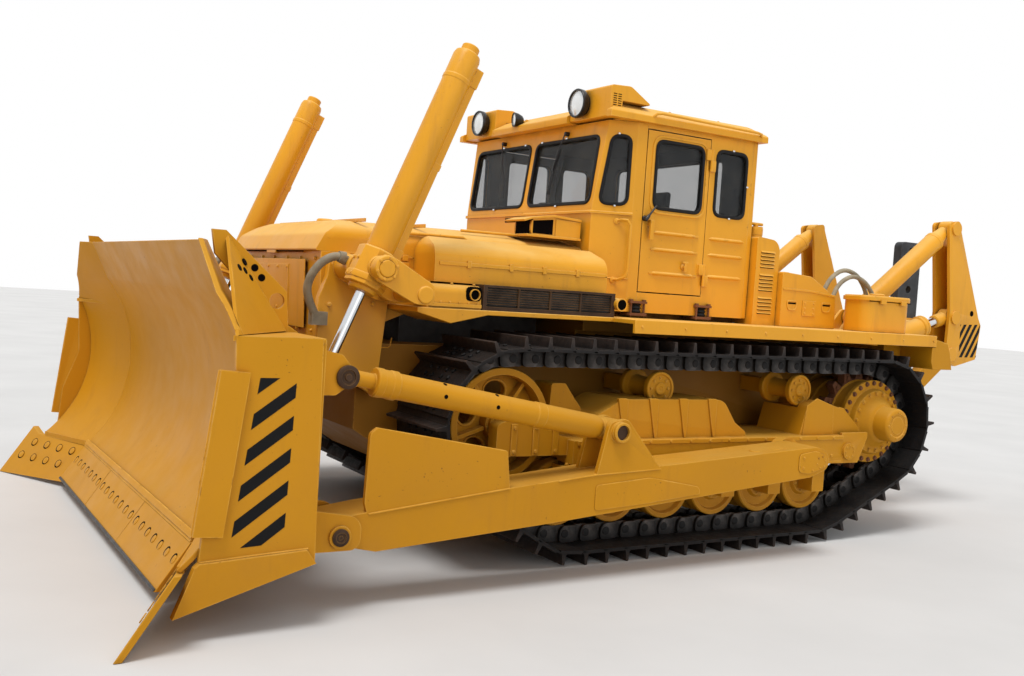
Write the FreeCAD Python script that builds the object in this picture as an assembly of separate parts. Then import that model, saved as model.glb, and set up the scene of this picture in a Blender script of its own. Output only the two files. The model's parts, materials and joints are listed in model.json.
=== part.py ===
import FreeCAD, Part
import math
import os

# Crawler bulldozer with a semi-universal blade and a parallelogram ripper, in millimetres.
# X points forward, Y to the machine's left and Z up. Stations along X are counted from a datum
# near the drive sprocket. Every piece is shifted at the end so that the origin lies on the
# floor under the middle of the machine's length.

V = FreeCAD.Vector
os.makedirs("parts", exist_ok=True)

# Running clearances
FIT = 0.3
GAP = 8.0

# Track chain
GAUGE = 2450.0
SHOE_W = 690.0
SPROCKET_X = -120.0
IDLER_X = 3267.0
AXLE_Z = 885.0
WRAP_R = 415.0
LINK_H = 120.0
SHOE_T = 25.0
GROUSER_H = 70.0
GROUSER_TIP = 18.0
GROUSER_ROOT = 34.0
SHOE_PITCH = 168.0
LINK_T = 55.0
LINK_SPREAD = 215.0

# Road wheels and carrier rollers
WHEEL_R = 220.0
WHEEL_FIRST_X = 540.0
WHEEL_LAST_X = 2800.0
WHEEL_COUNT = 6
WHEEL_HALF_W = 140.0
BEARING_HALF_W = 60.0
CARRIER_R = 118.0
CARRIER_HALF_W = 165.0
CARRIER_ARM_HALF = 55.0
CARRIER_X = (670.0, 2020.0)
CARRIER_Z = AXLE_Z + WRAP_R - LINK_H / 2.0 - CARRIER_R - FIT

# Sprocket and idler
RIM_HALF_T = 35.0
TOOTH_TIP_R = WRAP_R - 10.0
TOOTH_ROOT_R = WRAP_R - LINK_H / 2.0 - 30.0
TOOTH_SHARE = 0.32
# Each step of the drum as radius, inner end and outer end along Y from the track's middle
DRUM_STEPS = ((300.0, -325.0, 55.0), (255.0, 54.0, 185.0), (195.0, 184.0, 300.0), (130.0, 299.0, 440.0))
IDLER_HALF_W = 140.0
IDLER_RIM_T = 45.0
IDLER_DISH = 105.0
IDLER_HOLES = 5
IDLER_HOLE_R = 70.0
IDLER_HOLE_RING_R = 202.0
WINDOW_SIDES = 12
WINDOW_STRETCH = 1.2
IDLER_HUB_R = 95.0
IDLER_HUB_HALF = 150.0

# Track frame
FRAME_OUT_Y = GAUGE / 2.0 + 325.0
FRAME_IN_Y = GAUGE / 2.0 - 265.0
FRAME_TOP_Z = 800.0
FRAME_LOW_Z = 590.0
FRAME_REAR_X = 80.0
FRAME_FRONT_X = 2830.0
TAIL_PLATE_T = 22.0
LAST_CAP_X = 290.0
LAST_CAP_Z = 680.0
FRAME_SEAT_X = (620.0, 2250.0)

# Hull between the tracks
HULL_HALF_W = GAUGE / 2.0 - 425.0
HULL_LOW_Z = 450.0
HULL_TOP_Z = 1330.0
HULL_REAR_X = -470.0
DECK_HALF_W = HULL_HALF_W + 98.0
DECK_LOW_Z = 1475.0
DECK_TOP_Z = 1530.0
HULL_FRONT_X = 4020.0

# Bonnet and its sides
HOOD_HALF_W = HULL_HALF_W + 50.0
HOOD_SEAM_Z = 1890.0
HOOD_TOP_Z = 2110.0
HOOD_FRONT_X = 4300.0
HOOD_REAR_X = 2360.0
FAIRING_Y = HOOD_HALF_W + 300.0
GRILLE_Y = HOOD_HALF_W + 440.0
GRILLE_REAR_X = 2390.0
GRILLE_FRONT_X = 3410.0
GRILLE_DIVIDERS_X = (2665.0, 2905.0, 3145.0)
FAIRING_FRONT_X = 3690.0

# Engine block inside the bonnet
ENGINE_X0 = 2500.0
ENGINE_X1 = 3600.0
ENGINE_HALF_W = 500.0
ENGINE_TOP_Z = 1830.0

# Fenders beside the bonnet and the cab
FENDER_TOP_Z = 1590.0
FENDER_LOW_Z = 1500.0
FENDER_OUT_Y = GAUGE / 2.0 + 339.0
FENDER_IN_Y = DECK_HALF_W + 0.3
FENDER_REAR_X = -640.0
FENDER_FRONT_X = 2420.0
TAIL_ARM_Y = FENDER_OUT_Y - 384.0
TAIL_ARM_W = 70.0
BOX_IN_Y = DECK_HALF_W - 68.0
TANK_IN_Y = FENDER_OUT_Y - 384.0
TANK_OUT_Y = FENDER_OUT_Y - 114.0

# Cab
CAB_HALF_W = 1035.0
CAB_REAR_X = 950.0
CAB_FRONT_X = 2360.0
CAB_CORNER_X = 2100.0
CAB_CORNER_Y = CAB_HALF_W - 135.0
CAB_LOW_Z = 1630.0
CAB_TOP_Z = 2965.0
WALL = 45.0
FLOOR_T = 60.0
SCREEN_FOOT_Z = 2350.0
SCREEN_LEAN = 75.0
PANE_R = 65.0
ROOF_TOP_Z = CAB_TOP_Z + 125.0
PANEL_H = 8.0
ROOF_LIP = 50.0
GLASS_T = 8.0
DOOR_REAR_X = 1420.0
DOOR_FRONT_X = 2005.0
DOOR_LOW_Z = 1780.0
DOOR_TOP_Z = 2925.0
HANDLE_LOW_Z = 2150.0
HANDLE_TOP_Z = 2290.0
HINGE_X = DOOR_REAR_X - 5.0
HINGE_Y = CAB_HALF_W + 16.0

# Roof lamps
LAMP_BOX_X = 2250.0
LAMP_FACE_X = 2352.0
LAMP_TAIL_X = 2010.0
LAMP_BOX_IN_Y = CAB_HALF_W - 495.0
LAMP_BOX_OUT_Y = CAB_HALF_W - 5.0
LAMP_Y = CAB_HALF_W - 325.0
LAMP_Z = ROOF_TOP_Z - 5.0
LAMP_R = 103.0

# Blade, its arms and its braces
ARM_PIVOT_X = 1017.0
ARM_PIVOT_Z = 685.0
ARM_PIVOT_R = 62.0
ARM_PIN_R = 60.0
BRACE_PIN_R = 45.0
BRACE_HEAD_R = 62.0
LUG_T = 35.0
RIB_T = 20.0
ARM_OUT_Y = FRAME_OUT_Y + 395.0
BRACE_Y = ARM_OUT_Y - 110.0
BRACE_LUG_REACH = 115.0
ARM_W = 300.0
ARM_PIN_X = 4569.0
ARM_PIN_Z = 405.0
BRACE_REAR_X = 2786.0
BRACE_REAR_Z = 918.0
BRACE_FRONT_X = 4561.0
BRACE_FRONT_Z = 1225.0
BLADE_T = 25.0
BLADE_FOLD_Y = ARM_OUT_Y - 385.0
BLADE_SIDE_Y = ARM_OUT_Y + 210.0
GUSSET_Y = BLADE_FOLD_Y + 145.0
WING_ANGLE = 22.0
EDGE_LOW_Z = 70.0
BIT_TIP_Y = BLADE_SIDE_Y + 160.0
BIT_TIP_X = 5720.0
BIT_T = 40.0
BIT_TOP_Z = 321.0

# Lift cylinders
LIFT_Y = HOOD_HALF_W + 457.0
LIFT_X = 4181.0
LIFT_Z = 1800.0
LIFT_EYE_X = 4600.0
LIFT_EYE_Z = 780.0
LIFT_TUBE_R = 85.0
LIFT_ROD_R = 29.0
LIFT_TUBE_L = 1440.0
LIFT_BOSS_R = 88.0
LIFT_HOSE_R = 25.0

# Ripper
RIP_Y = DECK_HALF_W - 103.0
RIP_BORE_REACH = 200.0
RIP_LOW = (-600.0, 555.0)
RIP_FOOT = (-1770.0, 1415.0)
RIP_HEAD = (-1690.0, 2550.0)
RIP_KNEE = (-1780.0, 1750.0)
RIP_LIFT = (-720.0, 1440.0)
RIP_UP = (RIP_HEAD[0] - RIP_FOOT[0] + RIP_LOW[0], RIP_HEAD[1] - RIP_FOOT[1] + RIP_LOW[1])
RIP_TUBE_R = 85.0
RIP_BARREL_R = 100.0
DECK_HOSE_R = 18.0
RIP_ROD_R = 42.0
RIP_ARM_W = 100.0
RIP_PLATE_T = 30.0
RIP_PLATE_IN_Y = RIP_Y - 90.0
RIP_PLATE_OUT_Y = RIP_Y + 65.0
RIP_PIN_R = 45.0
RIP_HEAD_R = 62.0
RIP_LUG_T = 25.0
RIP_LUG_IN_Y = RIP_Y - 80.0
RIP_LUG_OUT_Y = RIP_Y + 55.0
SHANK_FRONT_X = -2030.0
SHANK_REAR_X = -2330.0
SHANK_TOP_Z = 2470.0
SHANK_TIP_Z = 560.0
SHANK_T = 90.0
POCKET_T = 45.0

# The shift from the datum to the middle of the whole length
MIDDLE_X = (BIT_TIP_X + SHANK_REAR_X - POCKET_T) / 2.0


def box(x0, x1, y0, y1, z0, z1):
    """A block given by its lowest and highest corner."""
    return Part.makeBox(x1 - x0, y1 - y0, z1 - z0, V(x0, y0, z0))


def wire(points, place):
    """A closed outline. A point is (a, b) or (a, b, r), where r rounds that corner."""
    count = len(points)
    corners = []
    for i in range(count):
        a = points[i - 1]
        b = points[i]
        c = points[(i + 1) % count]
        radius = b[2] if len(b) > 2 else 0.0
        if radius <= 0.0:
            corners.append((b, b, b))
            continue
        back = (a[0] - b[0], a[1] - b[1])
        ahead = (c[0] - b[0], c[1] - b[1])
        back_l = math.hypot(*back)
        ahead_l = math.hypot(*ahead)
        back = (back[0] / back_l, back[1] / back_l)
        ahead = (ahead[0] / ahead_l, ahead[1] / ahead_l)
        half = math.acos(max(-1.0, min(1.0, back[0] * ahead[0] + back[1] * ahead[1]))) / 2.0
        reach = min(radius / math.tan(half), 0.49 * back_l, 0.49 * ahead_l)
        inner = reach * math.tan(half)
        mid = (back[0] + ahead[0], back[1] + ahead[1])
        mid_l = math.hypot(*mid)
        depth = inner / math.sin(half) - inner
        start = (b[0] + back[0] * reach, b[1] + back[1] * reach)
        end = (b[0] + ahead[0] * reach, b[1] + ahead[1] * reach)
        top = (b[0] + mid[0] / mid_l * depth, b[1] + mid[1] / mid_l * depth)
        corners.append((start, top, end))
    edges = []
    for i in range(count):
        start, top, end = corners[i]
        if start != end:
            edges.append(Part.Arc(place(*start), place(*top), place(*end)).toShape())
        following = corners[(i + 1) % count][0]
        if math.hypot(end[0] - following[0], end[1] - following[1]) > 0.01:
            edges.append(Part.makeLine(place(end[0], end[1]), place(following[0], following[1])))
    return Part.Wire(edges)


def prism_y(points, y0, y1):
    """An outline in X and Z, drawn out along Y."""
    face = Part.Face(wire(points, lambda a, b: V(a, y0, b)))
    return face.extrude(V(0, y1 - y0, 0))


def prism_x(points, x0, x1):
    """An outline in Y and Z, drawn out along X."""
    face = Part.Face(wire(points, lambda a, b: V(x0, a, b)))
    return face.extrude(V(x1 - x0, 0, 0))


def prism_z(points, z0, z1):
    """An outline in X and Y, drawn out along Z."""
    face = Part.Face(wire(points, lambda a, b: V(a, b, z0)))
    return face.extrude(V(0, 0, z1 - z0))


def rod(start, end, radius):
    """A round bar between two points."""
    line = V(*end) - V(*start)
    return Part.makeCylinder(radius, line.Length, V(*start), line)


def rod_y(x, z, y0, y1, radius):
    """A round bar along Y."""
    return Part.makeCylinder(radius, y1 - y0, V(x, y0, z), V(0, 1, 0))


def fused(pieces):
    """Several overlapping pieces made one."""
    whole = pieces[0]
    if len(pieces) > 1:
        whole = whole.multiFuse(pieces[1:])
    return whole.removeSplitter()


def less(piece, holes):
    """A piece with holes cut out of it."""
    return piece.cut(Part.makeCompound(holes))


def mirrored(piece):
    """The same piece on the machine's right side."""
    return piece.mirror(V(0, 0, 0), V(0, 1, 0))


def both(pieces):
    """Pieces of the left side with their twins on the right."""
    return list(pieces) + [mirrored(piece) for piece in pieces]


def polar(start, angle, length):
    """A point in X and Z at an angle from forward towards up."""
    return (start[0] + length * math.cos(angle), start[1] + length * math.sin(angle))


def heading(start, end):
    """The angle of a line in X and Z."""
    return math.atan2(end[1] - start[1], end[0] - start[0])


def strip(start, end, half):
    """The four corners of a straight bar's side view."""
    angle = heading(start, end)
    dx = -math.sin(angle) * half
    dz = math.cos(angle) * half
    return [(start[0] + dx, start[1] + dz), (start[0] - dx, start[1] - dz),
            (end[0] - dx, end[1] - dz), (end[0] + dx, end[1] + dz)]


def save(name, solids):
    """Writes the solids of one node, shifted to the machine's origin."""
    found = []
    for piece in solids:
        found.extend(piece.Solids)
    for solid in found:
        if not solid.isValid() or solid.Volume <= 0:
            raise ValueError("bad solid in " + name)
    shape = Part.makeCompound(found) if len(found) > 1 else found[0]
    shape = shape.copy()
    shape.translate(V(-MIDDLE_X, 0, 0))
    shape.exportStep("parts/" + name + ".step")


# Track path: a belt round the sprocket, the outer road wheels and the idler, along the pins

PIN_LOW_Z = GROUSER_H + SHOE_T + LINK_H / 2.0
WHEEL_Z = PIN_LOW_Z + LINK_H / 2.0 + WHEEL_R
WHEEL_BELT_R = WHEEL_Z - PIN_LOW_Z
BELT = [(WHEEL_FIRST_X, WHEEL_Z, WHEEL_BELT_R), (WHEEL_LAST_X, WHEEL_Z, WHEEL_BELT_R),
        (IDLER_X, AXLE_Z, WRAP_R), (SPROCKET_X, AXLE_Z, WRAP_R)]


def belt_spans():
    """The straight and round stretches of the belt, each as (kind, length, values)."""
    lines = []
    for i in range(len(BELT)):
        x0, z0, r0 = BELT[i]
        x1, z1, r1 = BELT[(i + 1) % len(BELT)]
        span = math.hypot(x1 - x0, z1 - z0)
        angle = math.atan2(z1 - z0, x1 - x0) + math.asin((r0 - r1) / span)
        start = (x0 + r0 * math.sin(angle), z0 - r0 * math.cos(angle))
        end = (x1 + r1 * math.sin(angle), z1 - r1 * math.cos(angle))
        lines.append((angle, start, end))
    spans = []
    for i in range(len(BELT)):
        angle, start, end = lines[i]
        length = math.hypot(end[0] - start[0], end[1] - start[1])
        spans.append(("line", length, (start, angle)))
        turn = (lines[(i + 1) % len(BELT)][0] - angle) % (2.0 * math.pi)
        wheel = BELT[(i + 1) % len(BELT)]
        spans.append(("arc", wheel[2] * turn, (wheel, angle)))
    return spans


SPANS = belt_spans()
BELT_LENGTH = sum(span[1] for span in SPANS)
SHOE_COUNT = int(round(BELT_LENGTH / SHOE_PITCH))
PITCH = BELT_LENGTH / SHOE_COUNT


def belt_point(distance):
    """The point of the belt at a distance along it."""
    left = distance % BELT_LENGTH
    for kind, length, values in SPANS:
        if left <= length:
            if kind == "line":
                return polar(values[0], values[1], left)
            wheel, angle = values
            turned_by = angle + left / wheel[2]
            return (wheel[0] + wheel[2] * math.sin(turned_by), wheel[1] - wheel[2] * math.cos(turned_by))
        left -= length
    return belt_point(0.0)


PINS = [belt_point(i * PITCH) for i in range(SHOE_COUNT)]


def shoe_frames():
    """For each shoe its middle, its direction along the chain and its outward direction."""
    frames = []
    for i in range(SHOE_COUNT):
        a = PINS[i]
        b = PINS[(i + 1) % SHOE_COUNT]
        length = math.hypot(b[0] - a[0], b[1] - a[1])
        along = ((b[0] - a[0]) / length, (b[1] - a[1]) / length)
        out = (along[1], -along[0])
        frames.append((((a[0] + b[0]) / 2.0, (a[1] + b[1]) / 2.0), along, out))
    return frames


def on_shoe(frame, t, n):
    """A point at t along a shoe and n outward of its pins."""
    middle, along, out = frame
    return (middle[0] + along[0] * t + out[0] * n, middle[1] + along[1] * t + out[1] * n)


def belt_block(offset, y0, y1):
    """A block whose outline is the belt, moved outward by an offset."""
    edges = []
    for kind, length, values in SPANS:
        if kind == "line":
            start, angle = values
            normal = (math.sin(angle) * offset, -math.cos(angle) * offset)
            end = polar(start, angle, length)
            edges.append(Part.makeLine(V(start[0] + normal[0], y0, start[1] + normal[1]),
                                       V(end[0] + normal[0], y0, end[1] + normal[1])))
        else:
            wheel, angle = values
            radius = wheel[2] + offset
            turn = length / wheel[2]
            points = []
            for share in (0.0, 0.5, 1.0):
                at = angle + turn * share
                points.append(V(wheel[0] + radius * math.sin(at), y0, wheel[1] - radius * math.cos(at)))
            edges.append(Part.Arc(*points).toShape())
    return Part.Face(Part.Wire(edges)).extrude(V(0, y1 - y0, 0))


def track():
    """One closed track with its shoes, lugs and two rows of links."""
    half = PITCH / 2.0
    plate = LINK_H / 2.0
    outer = []
    for frame in shoe_frames():
        outer.append(on_shoe(frame, -half * 0.96, plate + SHOE_T))
        outer.append(on_shoe(frame, half * 0.62 - GROUSER_ROOT / 2.0, plate + SHOE_T))
        outer.append(on_shoe(frame, half * 0.62 - GROUSER_TIP / 2.0, plate + SHOE_T + GROUSER_H))
        outer.append(on_shoe(frame, half * 0.62 + GROUSER_TIP / 2.0, plate + SHOE_T + GROUSER_H))
        outer.append(on_shoe(frame, half * 0.62 + GROUSER_ROOT / 2.0, plate + SHOE_T))
    y_mid = GAUGE / 2.0
    shoes = prism_y(outer, y_mid - SHOE_W / 2.0, y_mid + SHOE_W / 2.0)
    pieces = [shoes.cut(belt_block(plate, y_mid - SHOE_W, y_mid + SHOE_W))]
    hollow = belt_block(-plate, y_mid - SHOE_W, y_mid + SHOE_W)
    for side in (-1.0, 1.0):
        y_link = y_mid + side * LINK_SPREAD / 2.0
        links = belt_block(plate + 4.0, y_link - LINK_T / 2.0, y_link + LINK_T / 2.0)
        pieces.append(links.cut(hollow))
    return fused(pieces)


def sprocket():
    """The drive sprocket with its toothed rim and its stepped drum."""
    teeth = int(round(2.0 * math.pi * WRAP_R / PITCH))
    share = math.pi / teeth * TOOTH_SHARE
    points = []
    for i in range(teeth * 2):
        mid = math.pi * i / teeth
        radius = TOOTH_TIP_R if i % 2 == 0 else TOOTH_ROOT_R
        for angle in (mid - share, mid + share):
            points.append(polar((SPROCKET_X, AXLE_Z), angle, radius))
    y_mid = GAUGE / 2.0
    pieces = [prism_y(points, y_mid - RIM_HALF_T, y_mid + RIM_HALF_T)]
    for radius, y0, y1 in DRUM_STEPS:
        pieces.append(rod_y(SPROCKET_X, AXLE_Z, y_mid + y0, y_mid + y1, radius))
    return fused(pieces)


def idler():
    """The front idler: a rim, a holed disc and a hub."""
    y_mid = GAUGE / 2.0
    rim_r = WRAP_R - LINK_H / 2.0 - FIT
    rim = rod_y(IDLER_X, AXLE_Z, y_mid - IDLER_HALF_W, y_mid + IDLER_HALF_W, rim_r)
    hollows = []
    for sign in (-1.0, 1.0):
        y = y_mid + sign * IDLER_HALF_W
        hollows.append(rod_y(IDLER_X, AXLE_Z, y - IDLER_DISH, y + IDLER_DISH, rim_r - IDLER_RIM_T))
    for i in range(IDLER_HOLES):
        at = math.radians(90.0 + 360.0 / IDLER_HOLES * i)
        hollows.append(prism_y(window_outline(polar((IDLER_X, AXLE_Z), at, IDLER_HOLE_RING_R), at),
                               y_mid - IDLER_HALF_W, y_mid + IDLER_HALF_W))
    hub = rod_y(IDLER_X, AXLE_Z, y_mid - IDLER_HUB_HALF, y_mid + IDLER_HUB_HALF, IDLER_HUB_R)
    return fused([less(rim, hollows), hub])


def window_outline(centre, angle):
    """The outline of one oval window in the idler's disc, longer around the wheel than across it."""
    points = []
    for i in range(WINDOW_SIDES):
        turn = 2.0 * math.pi * i / WINDOW_SIDES
        across = IDLER_HOLE_R * math.cos(turn)
        around = IDLER_HOLE_R * WINDOW_STRETCH * math.sin(turn)
        points.append((centre[0] + across * math.cos(angle) - around * math.sin(angle),
                       centre[1] + across * math.sin(angle) + around * math.cos(angle)))
    return points


def road_wheel(x):
    """A road wheel, which runs under both rows of links."""
    y_mid = GAUGE / 2.0
    return rod_y(x, WHEEL_Z, y_mid - WHEEL_HALF_W, y_mid + WHEEL_HALF_W, WHEEL_R - FIT)


def carrier_roller(x):
    """A carrier roller on the bracket arm that the hull's side holds."""
    y_mid = GAUGE / 2.0
    roller = rod_y(x, CARRIER_Z, y_mid - CARRIER_HALF_W, y_mid + CARRIER_HALF_W, CARRIER_R)
    arm = box(x - CARRIER_ARM_HALF, x + CARRIER_ARM_HALF, HULL_HALF_W + FIT, y_mid - CARRIER_HALF_W + 10.0,
              CARRIER_Z - CARRIER_ARM_HALF, CARRIER_Z + CARRIER_ARM_HALF)
    return fused([roller, arm])


def track_frame():
    """The side frame of one track with its rounded covers, bearing blocks and front tensioner."""
    y_mid = GAUGE / 2.0
    outline = [(FRAME_REAR_X + 260, FRAME_TOP_Z), (FRAME_REAR_X + 260, FRAME_LOW_Z),
               (FRAME_FRONT_X - 60, FRAME_LOW_Z), (FRAME_FRONT_X, FRAME_LOW_Z + 60),
               (FRAME_FRONT_X, FRAME_TOP_Z)]
    body = prism_y(outline, FRAME_IN_Y + 40.0, FRAME_OUT_Y)
    tail = [(FRAME_REAR_X, FRAME_TOP_Z + 20), (FRAME_REAR_X, FRAME_TOP_Z - 20),
            (FRAME_REAR_X + 90, FRAME_LOW_Z), (FRAME_REAR_X + 280, FRAME_LOW_Z),
            (FRAME_REAR_X + 280, FRAME_TOP_Z + 20)]
    pieces = [body, prism_y(tail, FRAME_OUT_Y - TAIL_PLATE_T, FRAME_OUT_Y)]
    covers = [[(1300, 780), (1300, 830, 20), (1410, 900), (1530, 1060, 120), (2420, 1060, 160),
               (2610, 960, 60), (2700, 780)],
              [(345, 780), (345, 1000), (560, 1060, 120), (690, 1030, 60), (760, 780)]]
    for cover in covers:
        pieces.append(prism_y(cover, FRAME_IN_Y + 90.0, FRAME_OUT_Y - 60.0))
    shield = [(100, 780), (120, 850, 30), (300, 1000), (350, 1010), (350, 780)]
    pieces.append(prism_y(shield, FRAME_OUT_Y - 60.0 - TAIL_PLATE_T, FRAME_OUT_Y - 60.0))
    slope = [(2700, 780), (2560, 930, 10), (2660, 1040), (2740, 1140, 20), (2850, 1140, 20), (2860, 780)]
    pieces.append(prism_y(slope, FRAME_IN_Y + 120.0, FRAME_IN_Y + 320.0))
    fork = prism_y([(FRAME_FRONT_X - 100, 700), (3360, 700, 15), (3360, 900, 40), (3180, 960, 30),
                    (2900, 830, 15), (FRAME_FRONT_X - 100, 790)],
                   y_mid + IDLER_HUB_HALF + FIT, FRAME_OUT_Y - 70.0)
    pieces.extend([fork, mirrored_about(fork, y_mid)])
    room = [box(WHEEL_FIRST_X - WHEEL_R - GAP, WHEEL_LAST_X + WHEEL_R + GAP, y_mid - WHEEL_HALF_W - GAP,
                y_mid + WHEEL_HALF_W + GAP, 0.0, WHEEL_Z + WHEEL_R + GAP)]
    bearings = []
    step = (WHEEL_LAST_X - WHEEL_FIRST_X) / (WHEEL_COUNT - 1)
    for i in range(WHEEL_COUNT):
        x = WHEEL_FIRST_X + i * step
        block = box(x - BEARING_HALF_W, x + BEARING_HALF_W, y_mid + WHEEL_HALF_W + FIT, FRAME_OUT_Y - 40.0,
                    WHEEL_Z - BEARING_HALF_W, FRAME_LOW_Z + 40.0)
        bearings.extend([block, mirrored_about(block, y_mid)])
    for x in CARRIER_X:
        room.append(box(x - CARRIER_R - GAP, x + CARRIER_R + GAP, 0.0, y_mid + CARRIER_HALF_W + GAP,
                        CARRIER_Z - CARRIER_R - GAP, CARRIER_Z + CARRIER_R))
    bearings.append(rod_y(LAST_CAP_X, LAST_CAP_Z, FRAME_OUT_Y - 20.0, FRAME_OUT_Y + 22.0, 62.0))
    bearings.append(rod_y(ARM_PIVOT_X, ARM_PIVOT_Z, FRAME_OUT_Y - 20.0, ARM_OUT_Y - ARM_W - 8.0, 120.0))
    bearings.append(rod_y(ARM_PIVOT_X, ARM_PIVOT_Z, FRAME_OUT_Y - 20.0, ARM_OUT_Y - 30.0, ARM_PIVOT_R))
    for x in FRAME_SEAT_X:
        bearings.append(box(x - 90.0, x + 90.0, HULL_HALF_W + FIT, FRAME_IN_Y + 60.0, FRAME_LOW_Z + 50.0,
                            FRAME_TOP_Z - 20.0))
    return fused([less(fused(pieces), room)] + bearings)


def mirrored_about(piece, y):
    """The same piece on the other side of a plane across Y."""
    return piece.mirror(V(0, y, 0), V(0, 1, 0))


def hull():
    """The main hull between the tracks with its final drives."""
    outline = [(HULL_REAR_X, HULL_LOW_Z + 130), (HULL_REAR_X + 160, HULL_LOW_Z), (3500, HULL_LOW_Z),
               (HULL_FRONT_X, HULL_LOW_Z + 330), (HULL_FRONT_X, HULL_TOP_Z), (HULL_REAR_X, HULL_TOP_Z)]
    body = prism_y(outline, -HULL_HALF_W, HULL_HALF_W)
    drives = [rod_y(SPROCKET_X, AXLE_Z, HULL_HALF_W - 10.0, GAUGE / 2.0 + DRUM_STEPS[0][1] - FIT, 330.0)]
    riser = box(HULL_REAR_X, HOOD_REAR_X, -HULL_HALF_W, HULL_HALF_W, HULL_TOP_Z - 10.0, DECK_LOW_Z + 10.0)
    deck = box(HULL_REAR_X, 950.0, -DECK_HALF_W, DECK_HALF_W, DECK_LOW_Z, DECK_TOP_Z)
    cab_base = box(945.0, HOOD_REAR_X, -DECK_HALF_W, DECK_HALF_W, DECK_LOW_Z, CAB_LOW_Z - FIT)
    return fused([body, riser, deck, cab_base] + both(drives))


def hood():
    """The bonnet: a side view with a sloped front, trimmed to a rounded cross-section."""
    side = [(HOOD_REAR_X + 4.0, HOOD_SEAM_Z), (HOOD_FRONT_X + 60, HOOD_SEAM_Z, 10),
            (HOOD_FRONT_X, HOOD_SEAM_Z + 110, 60), (HOOD_FRONT_X - 150, HOOD_TOP_Z - 10, 120),
            (HOOD_REAR_X + 4.0, HOOD_TOP_Z + 20)]
    section = [(-HOOD_HALF_W, HOOD_SEAM_Z), (HOOD_HALF_W, HOOD_SEAM_Z),
               (HOOD_HALF_W, HOOD_TOP_Z - 60, 160), (HOOD_HALF_W / 2.0, HOOD_TOP_Z + 25, 500),
               (-HOOD_HALF_W / 2.0, HOOD_TOP_Z + 25, 500), (-HOOD_HALF_W, HOOD_TOP_Z - 60, 160)]
    block = prism_y(side, -HOOD_HALF_W - 50.0, HOOD_HALF_W + 50.0)
    return block.common(prism_x(section, HOOD_REAR_X, HOOD_FRONT_X + 100.0))


def radiator_case():
    """The front housing under the bonnet with its side skirts."""
    side = [(HOOD_REAR_X + 4.0, HOOD_SEAM_Z - FIT), (HOOD_REAR_X + 4.0, 1560), (3660, 1560),
            (HULL_FRONT_X - 100, 1450), (HULL_FRONT_X - 100, HULL_TOP_Z + FIT),
            (HOOD_FRONT_X, HULL_TOP_Z + FIT),
            (HOOD_FRONT_X + 20, HOOD_SEAM_Z - FIT)]
    case = prism_y(side, -HOOD_HALF_W, HOOD_HALF_W)
    room = box(ENGINE_X0 - 20.0, ENGINE_X1 + 20.0, -ENGINE_HALF_W - 20.0, ENGINE_HALF_W + 20.0,
               HULL_TOP_Z, ENGINE_TOP_Z + 20.0)
    half = HOOD_HALF_W - 230.0
    grille = box(HOOD_FRONT_X - 20.0, HOOD_FRONT_X + 100.0, -half, half, 1420.0, 1820.0)
    bars = []
    for i in range(7):
        y = (i / 3.0 - 1.0) * (half - 20.0)
        bars.append(box(HOOD_FRONT_X - 30.0, HOOD_FRONT_X - 2.0, y - 14.0, y + 14.0, 1410.0, 1830.0))
    return fused([less(case, [room, grille])] + bars)


def fairing():
    """The rounded box along the bonnet's side."""
    section = [(HOOD_HALF_W + FIT, 1750), (FAIRING_Y, 1750), (FAIRING_Y, 1960, 110),
               (HOOD_HALF_W + FIT, 2060, 60)]
    body = prism_x(section, HOOD_REAR_X + 6.0, FAIRING_FRONT_X)
    side = [(HOOD_REAR_X + 6.0, 1750), (FAIRING_FRONT_X, 1750), (FAIRING_FRONT_X, 2070, 200),
            (HOOD_REAR_X + 6.0, 2070)]
    return body.common(prism_y(side, HOOD_HALF_W - 10.0, FAIRING_Y + 10.0))


def side_grille():
    """The outlet below the fairing with its slats and dividers."""
    body = box(GRILLE_REAR_X, GRILLE_FRONT_X, HOOD_HALF_W + FIT, GRILLE_Y, FENDER_TOP_Z + FIT, 1750.0 - FIT)
    pocket = box(GRILLE_REAR_X + 30.0, GRILLE_FRONT_X - 25.0, GRILLE_Y - 60.0, GRILLE_Y + 10.0, 1615.0,
                 1735.0)
    slats = []
    for i in range(7):
        z = 1630.0 + i * 15.0
        slats.append(box(GRILLE_REAR_X + 20.0, GRILLE_FRONT_X - 15.0, GRILLE_Y - 40.0, GRILLE_Y - 12.0, z,
                         z + 5.0))
    for x in GRILLE_DIVIDERS_X:
        slats.append(box(x - 6.0, x + 6.0, GRILLE_Y - 50.0, GRILLE_Y - 6.0, 1605.0, 1745.0))
    return fused([less(body, [pocket])] + slats)


def air_box():
    """The air cleaner housing in front of the outlet."""
    section = [(HOOD_HALF_W + FIT, FENDER_TOP_Z + FIT), (GRILLE_Y, FENDER_TOP_Z + FIT), (GRILLE_Y, 1735, 55),
               (HOOD_HALF_W + FIT, 1745, 20)]
    body = prism_x(section, GRILLE_FRONT_X + 15.0, GRILLE_FRONT_X + 390.0)
    stub = rod((GRILLE_FRONT_X + 380.0, GRILLE_Y - 90.0, 1650.0), (GRILLE_FRONT_X + 425.0, GRILLE_Y - 90.0,
               1650.0), 36.0)
    return fused([body, stub])


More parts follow.
